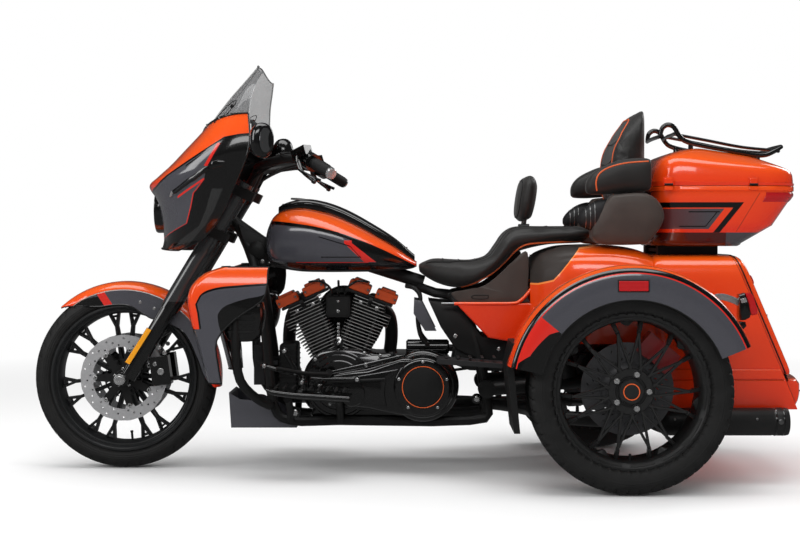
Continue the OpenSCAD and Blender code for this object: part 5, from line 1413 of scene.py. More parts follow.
def makeSeat():
    rows = smoothLine(seat["rows"], 6) / 1000
    rows[:, 0] = seat["rear"] - rows[:, 0]
    rings = ringsX(rows, 3.0, 72)
    # the rider's place is hollowed across, the top crowned lengthways
    bowl = np.exp(-((rings[..., 0] + .175) / .085) ** 2) * np.exp(-(rings[..., 1] / .1) ** 2)
    top = (rings[..., 2] - rows[:, None, 2]) / (rows[:, None, 3] - rows[:, None, 2])
    rings[..., 2] -= .01 * bowl * np.clip(top * 2 - 1, 0, 1)
    piece = build("seatPad", [loft(rings)], twoTone.material, "chassis", "seat")
    puff(piece, .0055, 4.0, .007, lambda p: np.clip((p[:, 2] - .65) / .05, .25, 1))
    cords, seams = [], []
    for s in (1, -1):
        cords.append(cordOn(piece, seat["piping"], s, .0032))
        seams.append(cordOver(piece, [(-.05, s * .07), (-.13, s * .118), (-.2, s * .128), (-.262, s * .12),
            (-.3, s * .112), (-.36, s * .112), (-.46, s * .118), (-.56, s * .112)], .0014, 10))
        seams.append(cordOver(piece, [(-.05, s * .064), (-.13, s * .112), (-.2, s * .122), (-.262, s * .114),
            (-.3, s * .106), (-.36, s * .106), (-.46, s * .112), (-.56, s * .106)], .0007, 10))
    for x in (-.105, -.165, -.225, -.4, -.47, -.54):
        seams.append(cordOver(piece, [(x, -.108), (x - .004, -.05), (x - .006, 0), (x - .004, .05), (x, .108)],
            .0012, 8))
    build("seatPiping", grouped(cords, seams), [pipingCord, blackSatin], "chassis")


makeSeat()


def makeRiderBackrest():
    rear = -.01683 - .372
    rows = smoothLine([[862, 60, 6], [868, 88, 15], [884, 116, 23], [930, 130, 28], [990, 124, 27], [1016, 106, 20],
        [1027, 84, 11], [1030, 60, 4]], 5) / 1000
    lean = (rows[:, 0] - .866) * .16
    rings = ringsZ(np.stack([rows[:, 0], rear - lean - rows[:, 2], rear - lean + rows[:, 2], rows[:, 1]], -1), 2.8,
        56)
    piece = build("riderBackrestPad", [loft(rings)], leather, "chassis", "rider_backrest")
    puff(piece, .005, 4.0, .006)
    loop = []
    a = np.linspace(0, 2 * np.pi, 73)
    c, s = signedPower(np.cos(a), .62), signedPower(np.sin(a), .62)
    outline = np.stack([.104 * c, .945 + .066 * s], -1)
    found = hits(piece, [(0.0, y, z) for y, z in outline], (-1, 0, 0))
    path = np.array([p + n * .0004 for p, n in found if p is not None])
    loop.append(tube(path, .0013, 8))
    post = [tube([(rear - .004, s2 * .028, .84), (rear - .01, s2 * .028, .878)], .007, 14) for s2 in (1, -1)]
    base = roundBlock((rear - .024, -.05, .8485), (rear + .01, .05, .858), .004)
    build("riderBackrestDetail", grouped(loop, post + [base]), [blackSatin, steel], "chassis")


makeRiderBackrest()

rest = {"x": -.8167,
        # height, half width, thickness
        "back": [[902, 110, 40], [908, 150, 66], [930, 192, 100], [1000, 202, 112], [1070, 200, 112], [1126, 192, 98],
                 [1177, 178, 76], [1222, 150, 46], [1244, 112, 28], [1253, 80, 12]],
        # ahead of the rest, half thickness, bottom, top
        "arm": [[222, 12, 968, 988], [216, 26, 958, 1006], [196, 40, 955, 1030], [158, 46, 955, 1052],
                [104, 48, 960, 1072], [30, 42, 966, 1079], [2, 34, 972, 1074]]}


def makePassengerRest():
    rows = smoothLine(rest["back"], 5) / 1000
    x0 = rest["x"] + .0065
    rings = ringsZ(np.stack([rows[:, 0], np.full(len(rows), x0), x0 + rows[:, 2], rows[:, 1]], -1), 3.0, 64)
    # wings come forward at the sides
    wrap = .03 * np.clip(np.abs(rings[..., 1]) / .2, 0, 1) ** 3
    rings[..., 0] += wrap * np.clip((rings[..., 0] - x0) / .05, 0, 1) * np.clip((1.22 - rings[..., 2]) / .1, 0, 1)
    back = build("passengerBackrestPad", [loft(rings)], leather, "chassis", "passenger_backrest")
    puff(back, .006, 4.0, .008, lambda p: np.clip((p[:, 0] - x0 - .004) / .03, 0, 1))
    arms = []
    for s in (1, -1):
        r = smoothLine(rest["arm"], 5) / 1000
        rings = ringsX(np.stack([rest["x"] + .008 + r[:, 0], r[:, 1], r[:, 2], r[:, 3]], -1), 2.6, 48, y0=s * .2508)
        piece = build("armRestPad" + ("Left" if s > 0 else "Right"), [loft(rings)], leather, "chassis")
        puff(piece, .0055, 4.0, .006, lambda p: np.clip((p[:, 0] - rest["x"] - .004) / .03, 0, 1))
        arms.append(piece)
    cords, seams = [], []
    for piece, s in zip(arms, (1, -1)):
        cords.append(cordOn(piece, [(-.622, .966), (-.618, .995), (-.628, 1.022), (-.66, 1.044), (-.72, 1.06),
            (-.8, 1.066)], s, .0026))
    for s in (1, -1):
        line = smoothLine([(s * .15, .95), (s * .158, 1.05), (s * .146, 1.15), (s * .1, 1.215), (0, 1.226)], 8)
        found = hits(back, [(-.4, y, z) for y, z in line], (-1, 0, 0))
        points = np.array([p + n * .0004 for p, n in (h for h in found if h is not None)])
        cords.append(tube(points, .0024, 10))
    for z in (1.0, 1.075, 1.145):
        line = smoothLine([(-.146, z), (0, z - .008), (.146, z)], 12)
        found = hits(back, [(-.4, y, q) for y, q in line], (-1, 0, 0))
        points = np.array([p + n * .0002 for p, n in (h for h in found if h is not None)])
        seams.append(tube(points, .0013, 8))
    build("restPiping", grouped(cords, seams), [pipingCord, blackSatin], "chassis")


makePassengerRest()
print("seats made")

engine = {"crank": (.252, .3), "front": 24.5, "rear": -20.5, "fins": 17, "finStep": .0114, "firstFin": .126,
    "clutchX": -.038}


# cylinder frame: across, sideways and along the cylinder's axis, which leans from the crank
def onCylinder(points, lean):
    points = np.asarray(points, float)
    t = math.radians(lean)
    x = engine["crank"][0] + points[..., 0] * math.cos(t) + points[..., 2] * math.sin(t)
    z = engine["crank"][1] - points[..., 0] * math.sin(t) + points[..., 2] * math.cos(t)
    return np.stack([x, points[..., 1], z], -1)


def cylinderBox(low, high, lean, r=.004):
    points, faces = roundBlock(low, high, r, 4)
    return onCylinder(points, lean), faces


# fin: superellipse plate; a thin bright plate in its middle stands 0.8 mm proud as the machined edge
def finPlates(lean, low, high, half, z):
    c, s = superCircle(36, 9)
    dark, bright = [], []
    for thick, grow, into in ((.0034, 0, dark), (.0015, .0009, bright)):
        x = (low + high) / 2 + ((high - low) / 2 + grow) * c
        y = (half + grow) * s
        rings = np.stack([np.stack([x, y, np.full(36, z + d)], -1) for d in (-thick / 2, thick / 2)])
        into.append(loft(onCylinder(rings, lean)))
    return dark, bright


def makeCylinders():
    dark, bright, blocks, bolts = [], [], [], []
    for lean, s in ((engine["front"], 1), (engine["rear"], -1)):
        for k in range(engine["fins"]):
            z = engine["firstFin"] + k * engine["finStep"]
            inner = min(.06, z * .385 - .004) if z < .2 else .06
            outer = np.interp(z, [.12, .16, .19, .235, .24, .275, .285, .32], [.058, .063, .07, .074, .086, .086,
                .06, .052])
            half = .076 if z < .25 else .081
            low, high = (-inner, outer) if s > 0 else (-outer, inner)
            d, b = finPlates(lean, low, high, half, z)
            dark += d
            bright += b
        c, v = superCircle(40, 2.2)
        rings = np.stack([np.stack([.05 * c, .06 * v, np.full(40, z)], -1) for z in (.112, .27)])
        dark.append(loft(onCylinder(rings, lean)))
        blocks.append(cylinderBox((-.048, -.066, .25), (.048, .066, .313), lean, .008))
        # cooling rib stack pins and head bolts
        for x in (-.04, .04):
            for y in (-.07, .07):
                p = onCylinder(np.array([[x, y, .118], [x, y, .262]]), lean)
                blocks.append(rod(p[0], p[1], .006, 12))
        for x in (-.03, .03):
            place = onCylinder(np.array([x, .082, .29]), lean)
            bolts.append(bolt(place, (0, 1, 0), .0055, .007))
        plug = onCylinder(np.array([[0, .07, .29], [0, .104, .304], [0, .118, .316]]), lean)
        blocks.append(tube(smoothLine(plug, 4), .0075, 12))
    build("cylinderFins", grouped(dark + blocks, bright, bolts), [blackCrinkle, finEdge, brightSteel], "chassis",
        "cylinders", angle=40)


makeCylinders()


def makeRockers():
    covers, bases, bolts = [], [], []
    for lean, s in ((engine["front"], 1), (engine["rear"], -1)):
        bases.append(cylinderBox((-.098 if s > 0 else -.078, -.072, .3125), (.078 if s > 0 else .098, .072, .323),
            lean, .003))
        for low, high in ((-.092, -.014), (.008, .086)):
            a, b = (low, high) if s > 0 else (-high, -low)
            covers.append(cylinderBox((a, -.072, .3235), (b, .072, .3565), lean, .006))
            covers.append(cylinderBox((a + .012, -.058, .354), (b - .012, .058, .366), lean, .005))
            for x in (a + .008, b - .008):
                place = onCylinder(np.array([x, .0705, .34]), lean)
                bolts.append(bolt(place, (0, 1, 0), .0042, .006))
                bolts.append(bolt(place * (1, -1, 1), (0, -1, 0), .0042, .006))
    build("rockerBoxes", grouped(covers, bases, bolts), [rockerOrange, blackGloss, steel], "chassis",
        "rocker_covers", angle=40)
    # coil cover and wiring in the vee
    box = roundBlock((.2125, -.03, .53), (.3, .094, .606), .012)
    lid = roundBlock((.222, .093, .54), (.291, .097, .597), .01)
    link = [bolt((.2565, .097, .553), (0, 1, 0), .0045, .004), bolt((.2565, .097, .588), (0, 1, 0), .0035, .003)]
    wires = []
    for dx, z in ((-.02, .606), (0.0, .606), (.02, .606)):
        wires.append(tube(smoothLine([(.256 + dx, .06, z - .01), (.256 + dx * 1.6, .07, z + .03), (.256 + dx * 3.4,
            .085, z + .052), (.256 + dx * 5.2, .08, z + .048)], 6), .0042, 10))
    pushrods = [rod((.252 + s * .022, .062, .425), (.252 + s * .07, .062, .56), .01, 16) for s in (1, -1)]
    build("veeCover", grouped([box, lid], link, wires + pushrods), [blackSatin, brightSteel, blackGloss], "chassis")


makeRockers()

primary = {"y": .149}


def makePrimary():
    cx, cz = engine["clutchX"], .3005
    y0 = primary["y"]
    # outline: round rear end, straight top falling forward, blunt front, foot line
    a = np.linspace(-95, 82, 34) * math.pi / 180
    rear = np.stack([cx - .108 * np.cos(a), cz + .108 * np.sin(a)], -1)
    front = [[.02, .4085], [.075, .3965], [.16, .377], [.262, .354], [.3, .345], [.315, .326], [.322, .3],
        [.322, .262], [.312, .244], [.285, .236], [.235, .226], [.15, .213], [.07, .2005], [.02, .1945]]
    outline = np.vstack([rear, front])
    core = np.array([.13, .295])

    def ring(grow, y):
        out = outline - core
        size = np.linalg.norm(out, axis=1, keepdims=True)
        return sideOutline(core + out * (1 + grow / size), y)

    levels = [(0.0, 0), (.004, 0.0), (.0055, 0.0), (.006, -.002), (.0105, -.003), (.0105, -.0075), (.03, -.011),
        (.046, -.015), (.052, -.022), (.0545, -.032), (.055, -.045)]
    body = loft(np.stack([ring(grow, y0 + .0005 + d) for d, grow in levels]))
    # raised panels on the cover's front half
    panel = [[.045, .362], [.115, .35], [.225, .332], [.262, .32], [.27, .3], [.27, .266], [.24, .252], [.15, .24],
        [.085, .236], [.092, .275], [.088, .32]]
    centre = np.mean(panel, axis=0)
    raised = loft(np.stack([sideOutline(centre + (np.array(panel) - centre) * k, y) for k, y in ((1.0, y0 + .05),
        (1.0, y0 + .0565), (.97, y0 + .06), (.9, y0 + .0612))]))
    bump = spun([[.045, .049], [.058, .048], [.064, .043], [.066, .03], [.0665, .0005]], (.205, y0, .28), (0, 1, 0),
        64)
    c = (cx, y0, cz)
    steps = [[.004, .124], [.02, .123], [.03, .119], [.0345, .1125], [.035, .109], [.045, .108], [.052, .1045],
        [.0525, .101], [.056, .1], [.0595, .0985], [.0625, .095], [.0645, .088], [.0652, .078], [.065, .0725],
        [.064, .0715], [.064, .069], [.065, .068], [.0653, .06], [.0655, .03], [.0656, .0006]]
    derby = spun(steps, c, (0, 1, 0), 96)
    ringPart = turned([[.0642, .0714], [.066, .071], [.0662, .07], [.066, .069], [.0642, .0686]], c, (0, 1, 0), 96)
    disc = spun([[.064, .0655], [.0664, .065], [.0668, .063], [.0668, .0005]], c, (0, 1, 0), 72)
    bolts = []
    for k in range(5):
        t = math.radians(90 + 72 * k)
        bolts.append(bolt((cx + .0855 * math.cos(t), y0 + .064, cz + .0855 * math.sin(t)), (0, 1, 0), .0042, .004))
    edge = ring(-.0045, y0 + .011)
    along = np.linspace(0, len(edge) - 1, 15)[:-1].astype(int)
    for k in along:
        bolts.append(bolt(edge[k], (0, 1, 0), .0044, .006))
    build("primaryCover", grouped([body, raised, bump, derby], [disc], [ringPart], bolts), [blackGloss, blackSatin,
        ringOrange, brightSteel], "chassis", "primary_cover", angle=40)


makePrimary()


def makeIntake():
    c = (.248, -.15, .54)
    shell = spun([[0.0, .086], [.006, .09], [.04, .092], [.052, .09], [.058, .084], [.061, .07], [.061, .0705],
        [.0595, .068], [.0595, .058], [.061, .056], [.0615, .03], [.0615, .0006]], c, (0, -1, 0), 80)
    fins = [turned([[.006 + k * .007, .0895], [.006 + k * .007, .0945], [.009 + k * .007, .0945], [.009 + k * .007,
        .0895]], c, (0, -1, 0), 80) for k in range(5)]
    bolts = [bolt((c[0] + .063 * math.cos(t), -.2105, c[2] + .063 * math.sin(t)), (0, -1, 0), .0045, .004)
        for t in np.linspace(0, 2 * np.pi, 4)[:-1] + .5]
    neck = tube(smoothLine([(.248, -.03, .52), (.248, -.09, .525), (.248, -.152, .535)], 5), .034, 24)
    build("airCleaner", grouped([shell], [neck] + fins, bolts), [blackGloss, blackCrinkle, brightSteel], "chassis",
        "air_cleaner", angle=35)


makeIntake()


def makeExhaust():
    ex, low = engine["crank"][0], .203
    rx = float(rearX)
    front = smoothLine([(ex + .128, -.06, .588), (ex + .136, -.112, .586), (ex + .186, -.16, .52),
        (ex + .192, -.182, .38), (ex + .13, -.184, .24), (ex, -.184, low), (ex - .25, -.184, low), (ex - .5, -.19,
        low), (rx + .24, -.25, low), (rx + .06, -.33, low), (rx - .12, -.375, low)], 8)
    cross = smoothLine([(ex - .46, -.188, low), (ex - .56, -.17, low), (ex - .66, 0, low), (rx + .24, .2, low),
        (rx + .06, .33, low), (rx - .12, .375, low)], 8)
    back = smoothLine([(ex - .112, -.06, .588), (ex - .124, -.112, .574), (ex - .172, -.16, .515), (ex - .17, -.184,
        .39), (ex - .12, -.186, .24), (ex - .06, -.184, low)], 8)
    pipes = [tube(front, .0235, 28), tube(cross, .0235, 28), tube(back, .0235, 28)]
    # heat shields over the front pipe, and clamps
    clamps = [tube(line[k:k + 3], .0265, 28) for line, k in ((front, 6), (back, 6), (front, 50), (front, 70))]
    cans, ends, details = [], [], []
    for s in (1, -1):
        c = (rx - .098, s * .375, low)
        cans.append(spun([[0, .024], [.012, .03], [.05, .0445], [.06, .0458], [.395, .0458], [.398, .0448],
            [.402, .0448], [.405, .0462], [.44, .0462], [.45, .044], [.4515, .0405], [.446, .038], [.385, .037],
            [.385, .0006]], c, (-1, 0, 0), 72))
        ends.append(turned([[.404, .0463], [.4065, .0472], [.409, .0463], [.409, .045], [.404, .045]], c,
            (-1, 0, 0), 72))
        ends.append(turned([[.43, .0463], [.4325, .047], [.435, .0463], [.435, .045], [.43, .045]], c, (-1, 0, 0),
            72))
        details.append(spun([[-.002, .0085], [.0012, .0085], [.002, .007], [.002, .0005]], (rx - .098 - .4195,
            s * .4212, low + .004), (0, s, 0), 24))
        for x in (rx - .17, rx - .44):
            details.append(bolt((x, s * .418, low + .012), (0, s, .2), .004, .004))
    hangers = [block((rx - .3, s * .332 - .006, low + .03), (rx - .24, s * .332 + .034, .2452)) for s in (1, -1)]
    build("exhaustSystem", grouped(pipes + cans + hangers, clamps + ends, details), [pipeBlack, blackGloss, steel],
        "chassis", "exhaust", angle=35)


makeExhaust()

shield = {"rows": [[712, 322, 236, 318, 30], [730, 390, 226, 342, 40], [752, 470, 220, 356, 60], [770, 540, 218,
    364, 140], [778, 600, 220, 366, 235], [764, 650, 226, 362, 238], [722, 690, 232, 350, 198], [664, 712, 238, 336,
    142]], "wall": .004}


# leg shield: over the front x = front - 34 (1 - t)^2 - 30 t^3, then back along the side
def shieldGrid(inset, columns=49, steps=6):
    r = smoothLine(shield["rows"], steps)[:, None, :] / 1000
    u = np.linspace(0, 1, columns)[None]
    t = np.clip(u / .6, 0, 1)
    q = np.clip((u - .6) / .4, 0, 1)
    w = r[..., 3] - r[..., 2]
    overFront = u < .6
    x = np.where(overFront, r[..., 0] - .034 * (1 - t) ** 2 - .03 * t**3 - inset, r[..., 0] - .03 - r[..., 4] * q
        - inset * (1 - q)) + headShift
    y = np.where(overFront, r[..., 2] + w * (.06 + .9 * t), r[..., 3] - w * .04 * (1 - q) - inset * q)
    return np.stack([x, y, np.broadcast_to(r[..., 1], x.shape)], -1)


def makeShields():
    outer, inner = shieldGrid(0), shieldGrid(shield["wall"])
    shader = Shader("legShieldPaint", coat=1.0, coatRough=.03, rough=.2)
    x, y, z = shader.place()
    orange = pearlWithPaintedLight(shader, z, low=.45, high=.72)
    slate = slateCoat(shader)
    foot = shader.line(x, [(.42, .664), (.4774, .6588), (.5704, .6522), (.6535, .6422), (.6933, .6256),
        (.7166, .589), (.78, .5)], True)
    nose = shader.line(z, [(.3, .8), (.5, .8), (.506, .7033), (.56, .71), (.5891, .7166), (.66, .68), (.72, .6)])
    band = z.over(foot)
    leg = x.over(nose) * z.over(.506)
    darkBand = z.over(foot - .0075)
    darkLeg = x.over(nose - .0065) * z.over(.504)
    # the pod's black front shows below a curved edge, and the inside is black
    podTop = shader.line(x, [(.4, .64), (.4785, .629), (.493, .619), (.5485, .607), (.591, .594), (.6186, .582),
        (.6355, .5654), (.644, .544)], True)
    podFront = shader.line(z, [(.4, .56), (.461, .612), (.491, .63), (.519, .6385), (.544, .642), (.64, .642)])
    pod = z.under(podTop) * x.under(podFront) * z.over(.45)
    normal = shader.tree.nodes.new("ShaderNodeSeparateXYZ")
    shader.tree.links.new(shader.node("ShaderNodeNewGeometry", {}, out=1).socket, normal.inputs[0])
    outside = ((x - .5) * Field(shader, normal.outputs[0]) + y * Field(shader, normal.outputs[1])).over(0, .002)
    material = layered(shader, slate, [(darkBand, palette["black"]), (darkLeg, palette["black"]), (band, orange),
        (leg, orange), (pod, palette["black"]), (1 - outside, palette["black"])])
    halves, lips = [], []
    for s in (1, -1):
        o, i = outer * (1, s, 1), inner * (1, s, 1)
        halves.append(wall(o, i))
        rim = np.concatenate([o[:, 0], o[-1, 1:], o[::-1, -1][1:], o[0, ::-1][1:]])
        lips.append(tube(rim[::2], .0026, 8))
        lips.append(block((.58, s * .346 - (.0155 if s < 0 else 0), .556),
            (.629, s * .346 + (.0155 if s > 0 else 0), .576)))
    build("legShields", halves, material, "chassis", "lower_fairings", angle=50)
    build("legShieldEdges", lips, blackSatin, "chassis")


makeShields()


def makePods():
    parts, slats, bolts = [], [], []
    for s in (1, -1):
        rows = smoothLine([[463, 30, 34], [470, 54, 42], [505, 70, 46], [550, 76, 47], [590, 71, 46], [603, 62, 42],
            [609, 44, 32]], 5) / 1000
        x = .567
        rings = ringsZ(np.stack([rows[:, 0], x - rows[:, 1], x + rows[:, 1] * .9, rows[:, 2]], -1), 3.4, 56,
            y0=s * .298)
        parts.append(loft(rings))
        for k in range(5):
            z = .497 + k * .02
            slats.append(roundBlock((x - .045, s * .3445 - .0025, z - .0032), (x + .044, s * .3445 + .0025,
                z + .0032), .003))
        bolts.append(bolt((x - .058, s * .3435, .585), (0, s, 0), .0042, .004))
        bolts.append(bolt((x + .048, s * .3435, .585), (0, s, 0), .0042, .004))
    build("glovePods", grouped(parts, slats, bolts), [blackGloss, blackSatin, steel], "chassis",
        "fairing_pods")


makePods()


def makeBoards():
    ribs = []
    for s in (1, -1):
        # rubber ribs on the rider's board, which slopes up to the front
        for k in range(9):
            t = k / 8
            x = .225 + .225 * t
            z = .2965 + .0135 * t + .0035
            ribs.append(roundBlock((x - .004, s * .31 - .06, z - .003), (x + .004, s * .31 + .06, z + .0035),
                .0028))
        for x in (-.115, -.155, -.195, -.235, -.275):
            ribs.append(roundBlock((x - .005, s * .308 - .052, .4085), (x + .005, s * .308 + .052, .4125), .002))
    # shift linkage with its pivots
    steelBits, darkBits = [], []
    y = .232
    darkBits.append(rod((.4995, y, .374), (.391, y, .3435), .0075, 18, .002))
    darkBits.append(rod((.372, y, .3215), (.432, y + .002, .4235), .008, 18, .002))
    darkBits.append(rod((.345, y - .006, .33), (.185, y - .012, .3285), .0065, 18, .002))
    for x, z, r in ((.5005, .3745, .011), (.3725, .3185, .0135), (.432, .4245, .0115), (.1855, .3285, .0105)):
        darkBits.append(spun([[-.01, r * .8], [-.009, r], [.006, r], [.008, r * .86], [.008, .0005]], (x, y, z),
            (0, 1, 0), 28))
        steelBits.append(bolt((x, y + .0075, z), (0, 1, 0), .0055, .005))
    for x, z, yy in ((.4005, .2105, .176), (-.225, .251, .12)):
        darkBits.append(spun([[-.012, .018], [.004, .018], [.006, .015], [.006, .0005]], (x, yy, z), (0, 1, 0), 32))
        steelBits.append(spun([[-.002, .0105], [.0075, .0105], [.01, .008], [.01, .0005]], (x, yy + .003, z),
            (0, 1, 0), 24))
    build("footRubbers", ribs, gripRubber, "chassis")
    build("shiftLinkage", grouped(darkBits, steelBits), [blackGloss, brightSteel], "chassis")


makeBoards()


def edged(outline, low, high, chamfer=.006):
    pts = np.asarray(outline, float)
    centre = pts.mean(0)
    out = pts - centre
    size = np.linalg.norm(out, axis=1, keepdims=True)
    rings = []
    for y, back in ((low, chamfer), (low + chamfer * .3, chamfer * .3), (low + chamfer, 0), (high - chamfer, 0),
            (high - chamfer * .3, chamfer * .3), (high, chamfer)):
        rings.append(sideOutline(centre + out * (1 - back / size), y))
    return loft(np.stack(rings))


def makeCase():
    parts, bolts = [], []
    main = smoothLine([[.38, .29], [.372, .35], [.345, .392], [.3, .42], [.21, .423], [.13, .408], [.062, .4],
        [.055, .3], [.07, .222], [.13, .208], [.32, .208], [.368, .235], [.38, .29]], 4)[:-1]
    parts.append(edged(main, -.11, .118, .014))
    box = [[-.143, .235], [-.143, .372], [-.118, .406], [.06, .408], [.06, .21], [-.118, .208]]
    parts.append(edged(box, -.11, .1475, .01))
    sump = [[-.008, .214], [.342, .214], [.352, .196], [.33, .168], [.29, .162], [.075, .162], [.04, .17],
        [-.008, .176]]
    parts.append(edged(sump, -.107, .107, .008))
    for y0, r in ((.108, .117), (.118, .106), (.128, .086)):
        parts.append(spun([[0, r - .004], [.003, r], [.01, r], [.013, r - .003], [.013, .0005]], (.252, y0, .3),
            (0, 1, 0), 72))
    for y0, r in ((-.108, .112), (-.12, .098), (-.134, .084)):
        parts.append(spun([[0, r - .004], [.003, r], [.012, r], [.016, r - .004], [.0165, .0005]], (.252, y0, .3),
            (0, -1, 0), 72))
    for x, z in ((.11, .418), (.165, .426), (.335, .405)):
        bolts.append(bolt((x, .1175, z - .018), (0, 1, 0), .0052, .006))
    for k in range(6):
        t = math.radians(60 * k + 15)
        bolts.append(bolt((.252 + .07 * math.cos(t), -.1505, .3 + .07 * math.sin(t)), (0, -1, 0), .0048, .005))
    # lifter blocks under the pushrods, starter and oil filter
    for lean in (engine["front"], engine["rear"]):
        parts.append(cylinderBox((-.046, -.05, .1), (.046, .05, .13), lean, .006))
    parts.append(rod((-.13, .07, .428), (.02, .07, .428), .026, 32, .006))
    parts.append(spun([[0, .034], [.004, .038], [.052, .038], [.06, .034], [.062, .0005]], (.372, 0, .262),
        (1, 0, 0), 40))
    # studs stepping down between the cylinders
    for k in range(6):
        bolts.append(bolt((.2565, .079, .44 + k * .0135), (0, 1, 0), .0042, .006))
    for x, z in ((.03, .19), (.13, .186), (.25, .186)):
        bolts.append(bolt((x, .1065, z), (0, 1, 0), .0048, .005))
    build("crankcase", grouped(parts, bolts), [blackGloss, brightSteel], "chassis", "engine_case",
        angle=40)


makeCase()


def makeBattery():
    parts, plates, bolts = [], [], []
    cover = [[-.058, .592], [-.152, .582], [-.248, .468], [-.356, .462], [-.352, .372], [-.215, .396],
        [-.152, .424], [-.1, .5]]
    parts.append(edged(cover, -.146, .146, .008))
    shelf = [[-.15, .425], [-.212, .398], [-.35, .374], [-.35, .345], [-.2, .35], [-.14, .372]]
    parts.append(edged(shelf, -.128, .128, .006))
    for s in (1, -1):
        panel = [[-.008, .594], [-.034, .59], [-.086, .486], [-.046, .486], [-.006, .546]]
        low, high = sorted((s * .112, s * .118))
        plates.append(edged(panel, low, high, .002))
        bolts.append(bolt((-.15, s * .146, .47), (0, s, 0), .006, .006))
        bolts.append(bolt((-.3, s * .146, .425), (0, s, 0), .005, .005))
        # hose behind the rear cylinder
        parts.append(tube(smoothLine([(.02, s * .07, .64), (-.01, s * .092, .632), (-.03, s * .1, .6),
            (-.02, s * .1, .54), (-.03, s * .096, .47), (-.06, s * .09, .43)], 6), .0075, 14))
    # gusset behind the steering head, with a horn on each side
    gusset = [[.612, .86], [.509, .806], [.509, .712], [.552, .702], [.592, .788]]
    parts.append(edged(gusset, -.04, .04, .006))
    for s in (1, -1):
        parts.append(spun([[0, .026], [.004, .031], [.01, .031], [.016, .022], [.018, .01], [.018, .0005]],
            (.545, s * .04, .765), (0, s, 0), 40))
        bolts.append(bolt((.525, s * .04, .725), (0, s, 0), .005, .005))
    # horn and regulator block ahead of the engine
    parts.append(roundBlock((.402, -.085, .262), (.462, .085, .44), .012))
    for k in range(8):
        z = .285 + k * .018
        parts.append(roundBlock((.4, -.088, z), (.466, .088, z + .0045), .002))
    build("batteryCover", grouped(parts, plates, bolts), [blackSatin, slateSatin, brightSteel], "chassis")


makeBattery()


def makeRiderBoards():
    boards, arms = [], []
    for s in (1, -1):
        edge = smoothLine([[.204, .266, .281], [.3, .273, .289], [.4, .28, .297], [.456, .288, .306],
            [.482, .297, .3115]], 4)
        half = np.interp(edge[:, 0], [.204, .222, .456, .484], [.06, .073, .073, .05])
        boards.append(loft(ringsX(np.stack([edge[:, 0], half, edge[:, 1], edge[:, 2]], -1), 6, 40, y0=s * .31)))
        boards.append(tube(smoothLine([(.206, s * .384, .279), (.3, s * .3835, .285), (.4, s * .3835, .292),
            (.462, s * .382, .3)], 4), .0085, 14))
        for x in (.245, .415):
            arms.append(tube(smoothLine([(x, s * .33, .272), (x + .002, s * .25, .262), (x, s * .19, .215),
                (x, s * .164, .182)], 6), .0125, 16))
        arms.append(rod((.236, s * .33, .27), (.424, s * .33, .284), .009, 16))
    build("riderBoards", grouped(boards, arms), [blackGloss, blackSatin], "chassis", "rider_footboards",
        angle=45)


makeRiderBoards()
print("engine and lower parts made")

body = {"slope": .42, "frontX": -.805, "tailX": -1.07006, "low": .245, "high": .752, "half": .33, "wall": .005}


# ring of the trunk: superellipse of power 9, sheared backward towards its foot
def trunkRing(x, slope, inset, low=None, n=128):
    b = body
    low = b["low"] if low is None else low
    c, s = superCircle(n, 9, np.pi / n)
    tight, foot = superCircle(n, 26, np.pi / n)
    c, s = np.where(s < 0, tight, c), np.where(s < 0, foot, s)
    half, z0, z1 = b["half"] - inset, low + inset, b["high"] - inset
    y, z = half * c, (z0 + z1) / 2 + (z1 - z0) / 2 * s
    return np.stack([x - slope * (b["high"] - z), y, z], -1)


def bodyPaint(name, low, high):
    shader = Shader(name, coat=1.0, coatRough=.03, rough=.2)
    z = shader.place()[2]
    shader.set("color", pearlWithPaintedLight(shader, z, low=low, high=high))
    return shader.material


bodyOrange = bodyPaint("bodyPaint", .3, .8)


def makeTrunk():
    b = body
    rows = [(b["frontX"] - .014 + (b["tailX"] - b["frontX"] + .014) * t, b["slope"] * t) for t in np.linspace(0, 1,
        13)]
    outside = [trunkRing(b["frontX"], 0, .014), trunkRing(b["frontX"] - .003, 0, .006)] + [trunkRing(x, slope, 0)
        for x, slope in rows]
    inside = [trunkRing(x, slope, b["wall"]) for x, slope in rows[::-1]] + [trunkRing(b["frontX"] - .006, 0, .019)]
    shell = np.stack(outside + inside + outside[:1])
    build("trunkTub", [loft(shell, caps=False)], bodyOrange, "chassis", "trunk_body", angle=45)
    # side skirt bands with a small ledge between them
    bands = []
    for s in (1, -1):
        for z0, z1, out in ((.238, .335, .335), (.3385, .371, .3375)):
            x1 = lambda z: b["tailX"] - b["slope"] * (b["high"] - z) + .002
            outline = np.array([[-.84, z0], [-.84, z1], [x1(z1), z1], [x1((z0 + z1) / 2), (z0 + z1) / 2],
                [x1(z0), z0]])
            bands.append(prism(sideOutline(outline, s * .326), (0, s * (out - .326), 0)))
    build("trunkSkirtBands", bands, bodyOrange, "chassis", bevel=.0028, segments=3)
    # seal round the opening
    seal = trunkRing(b["tailX"] + .001, b["slope"], .0035)
    build("trunkSeal", [tube(np.vstack([seal, seal[:2]]), .0028, 8)], gripRubber, "chassis")


makeTrunk()

door = {"pinX": -1.26774, "thick": .024, "foot": .348, "gap": .002}


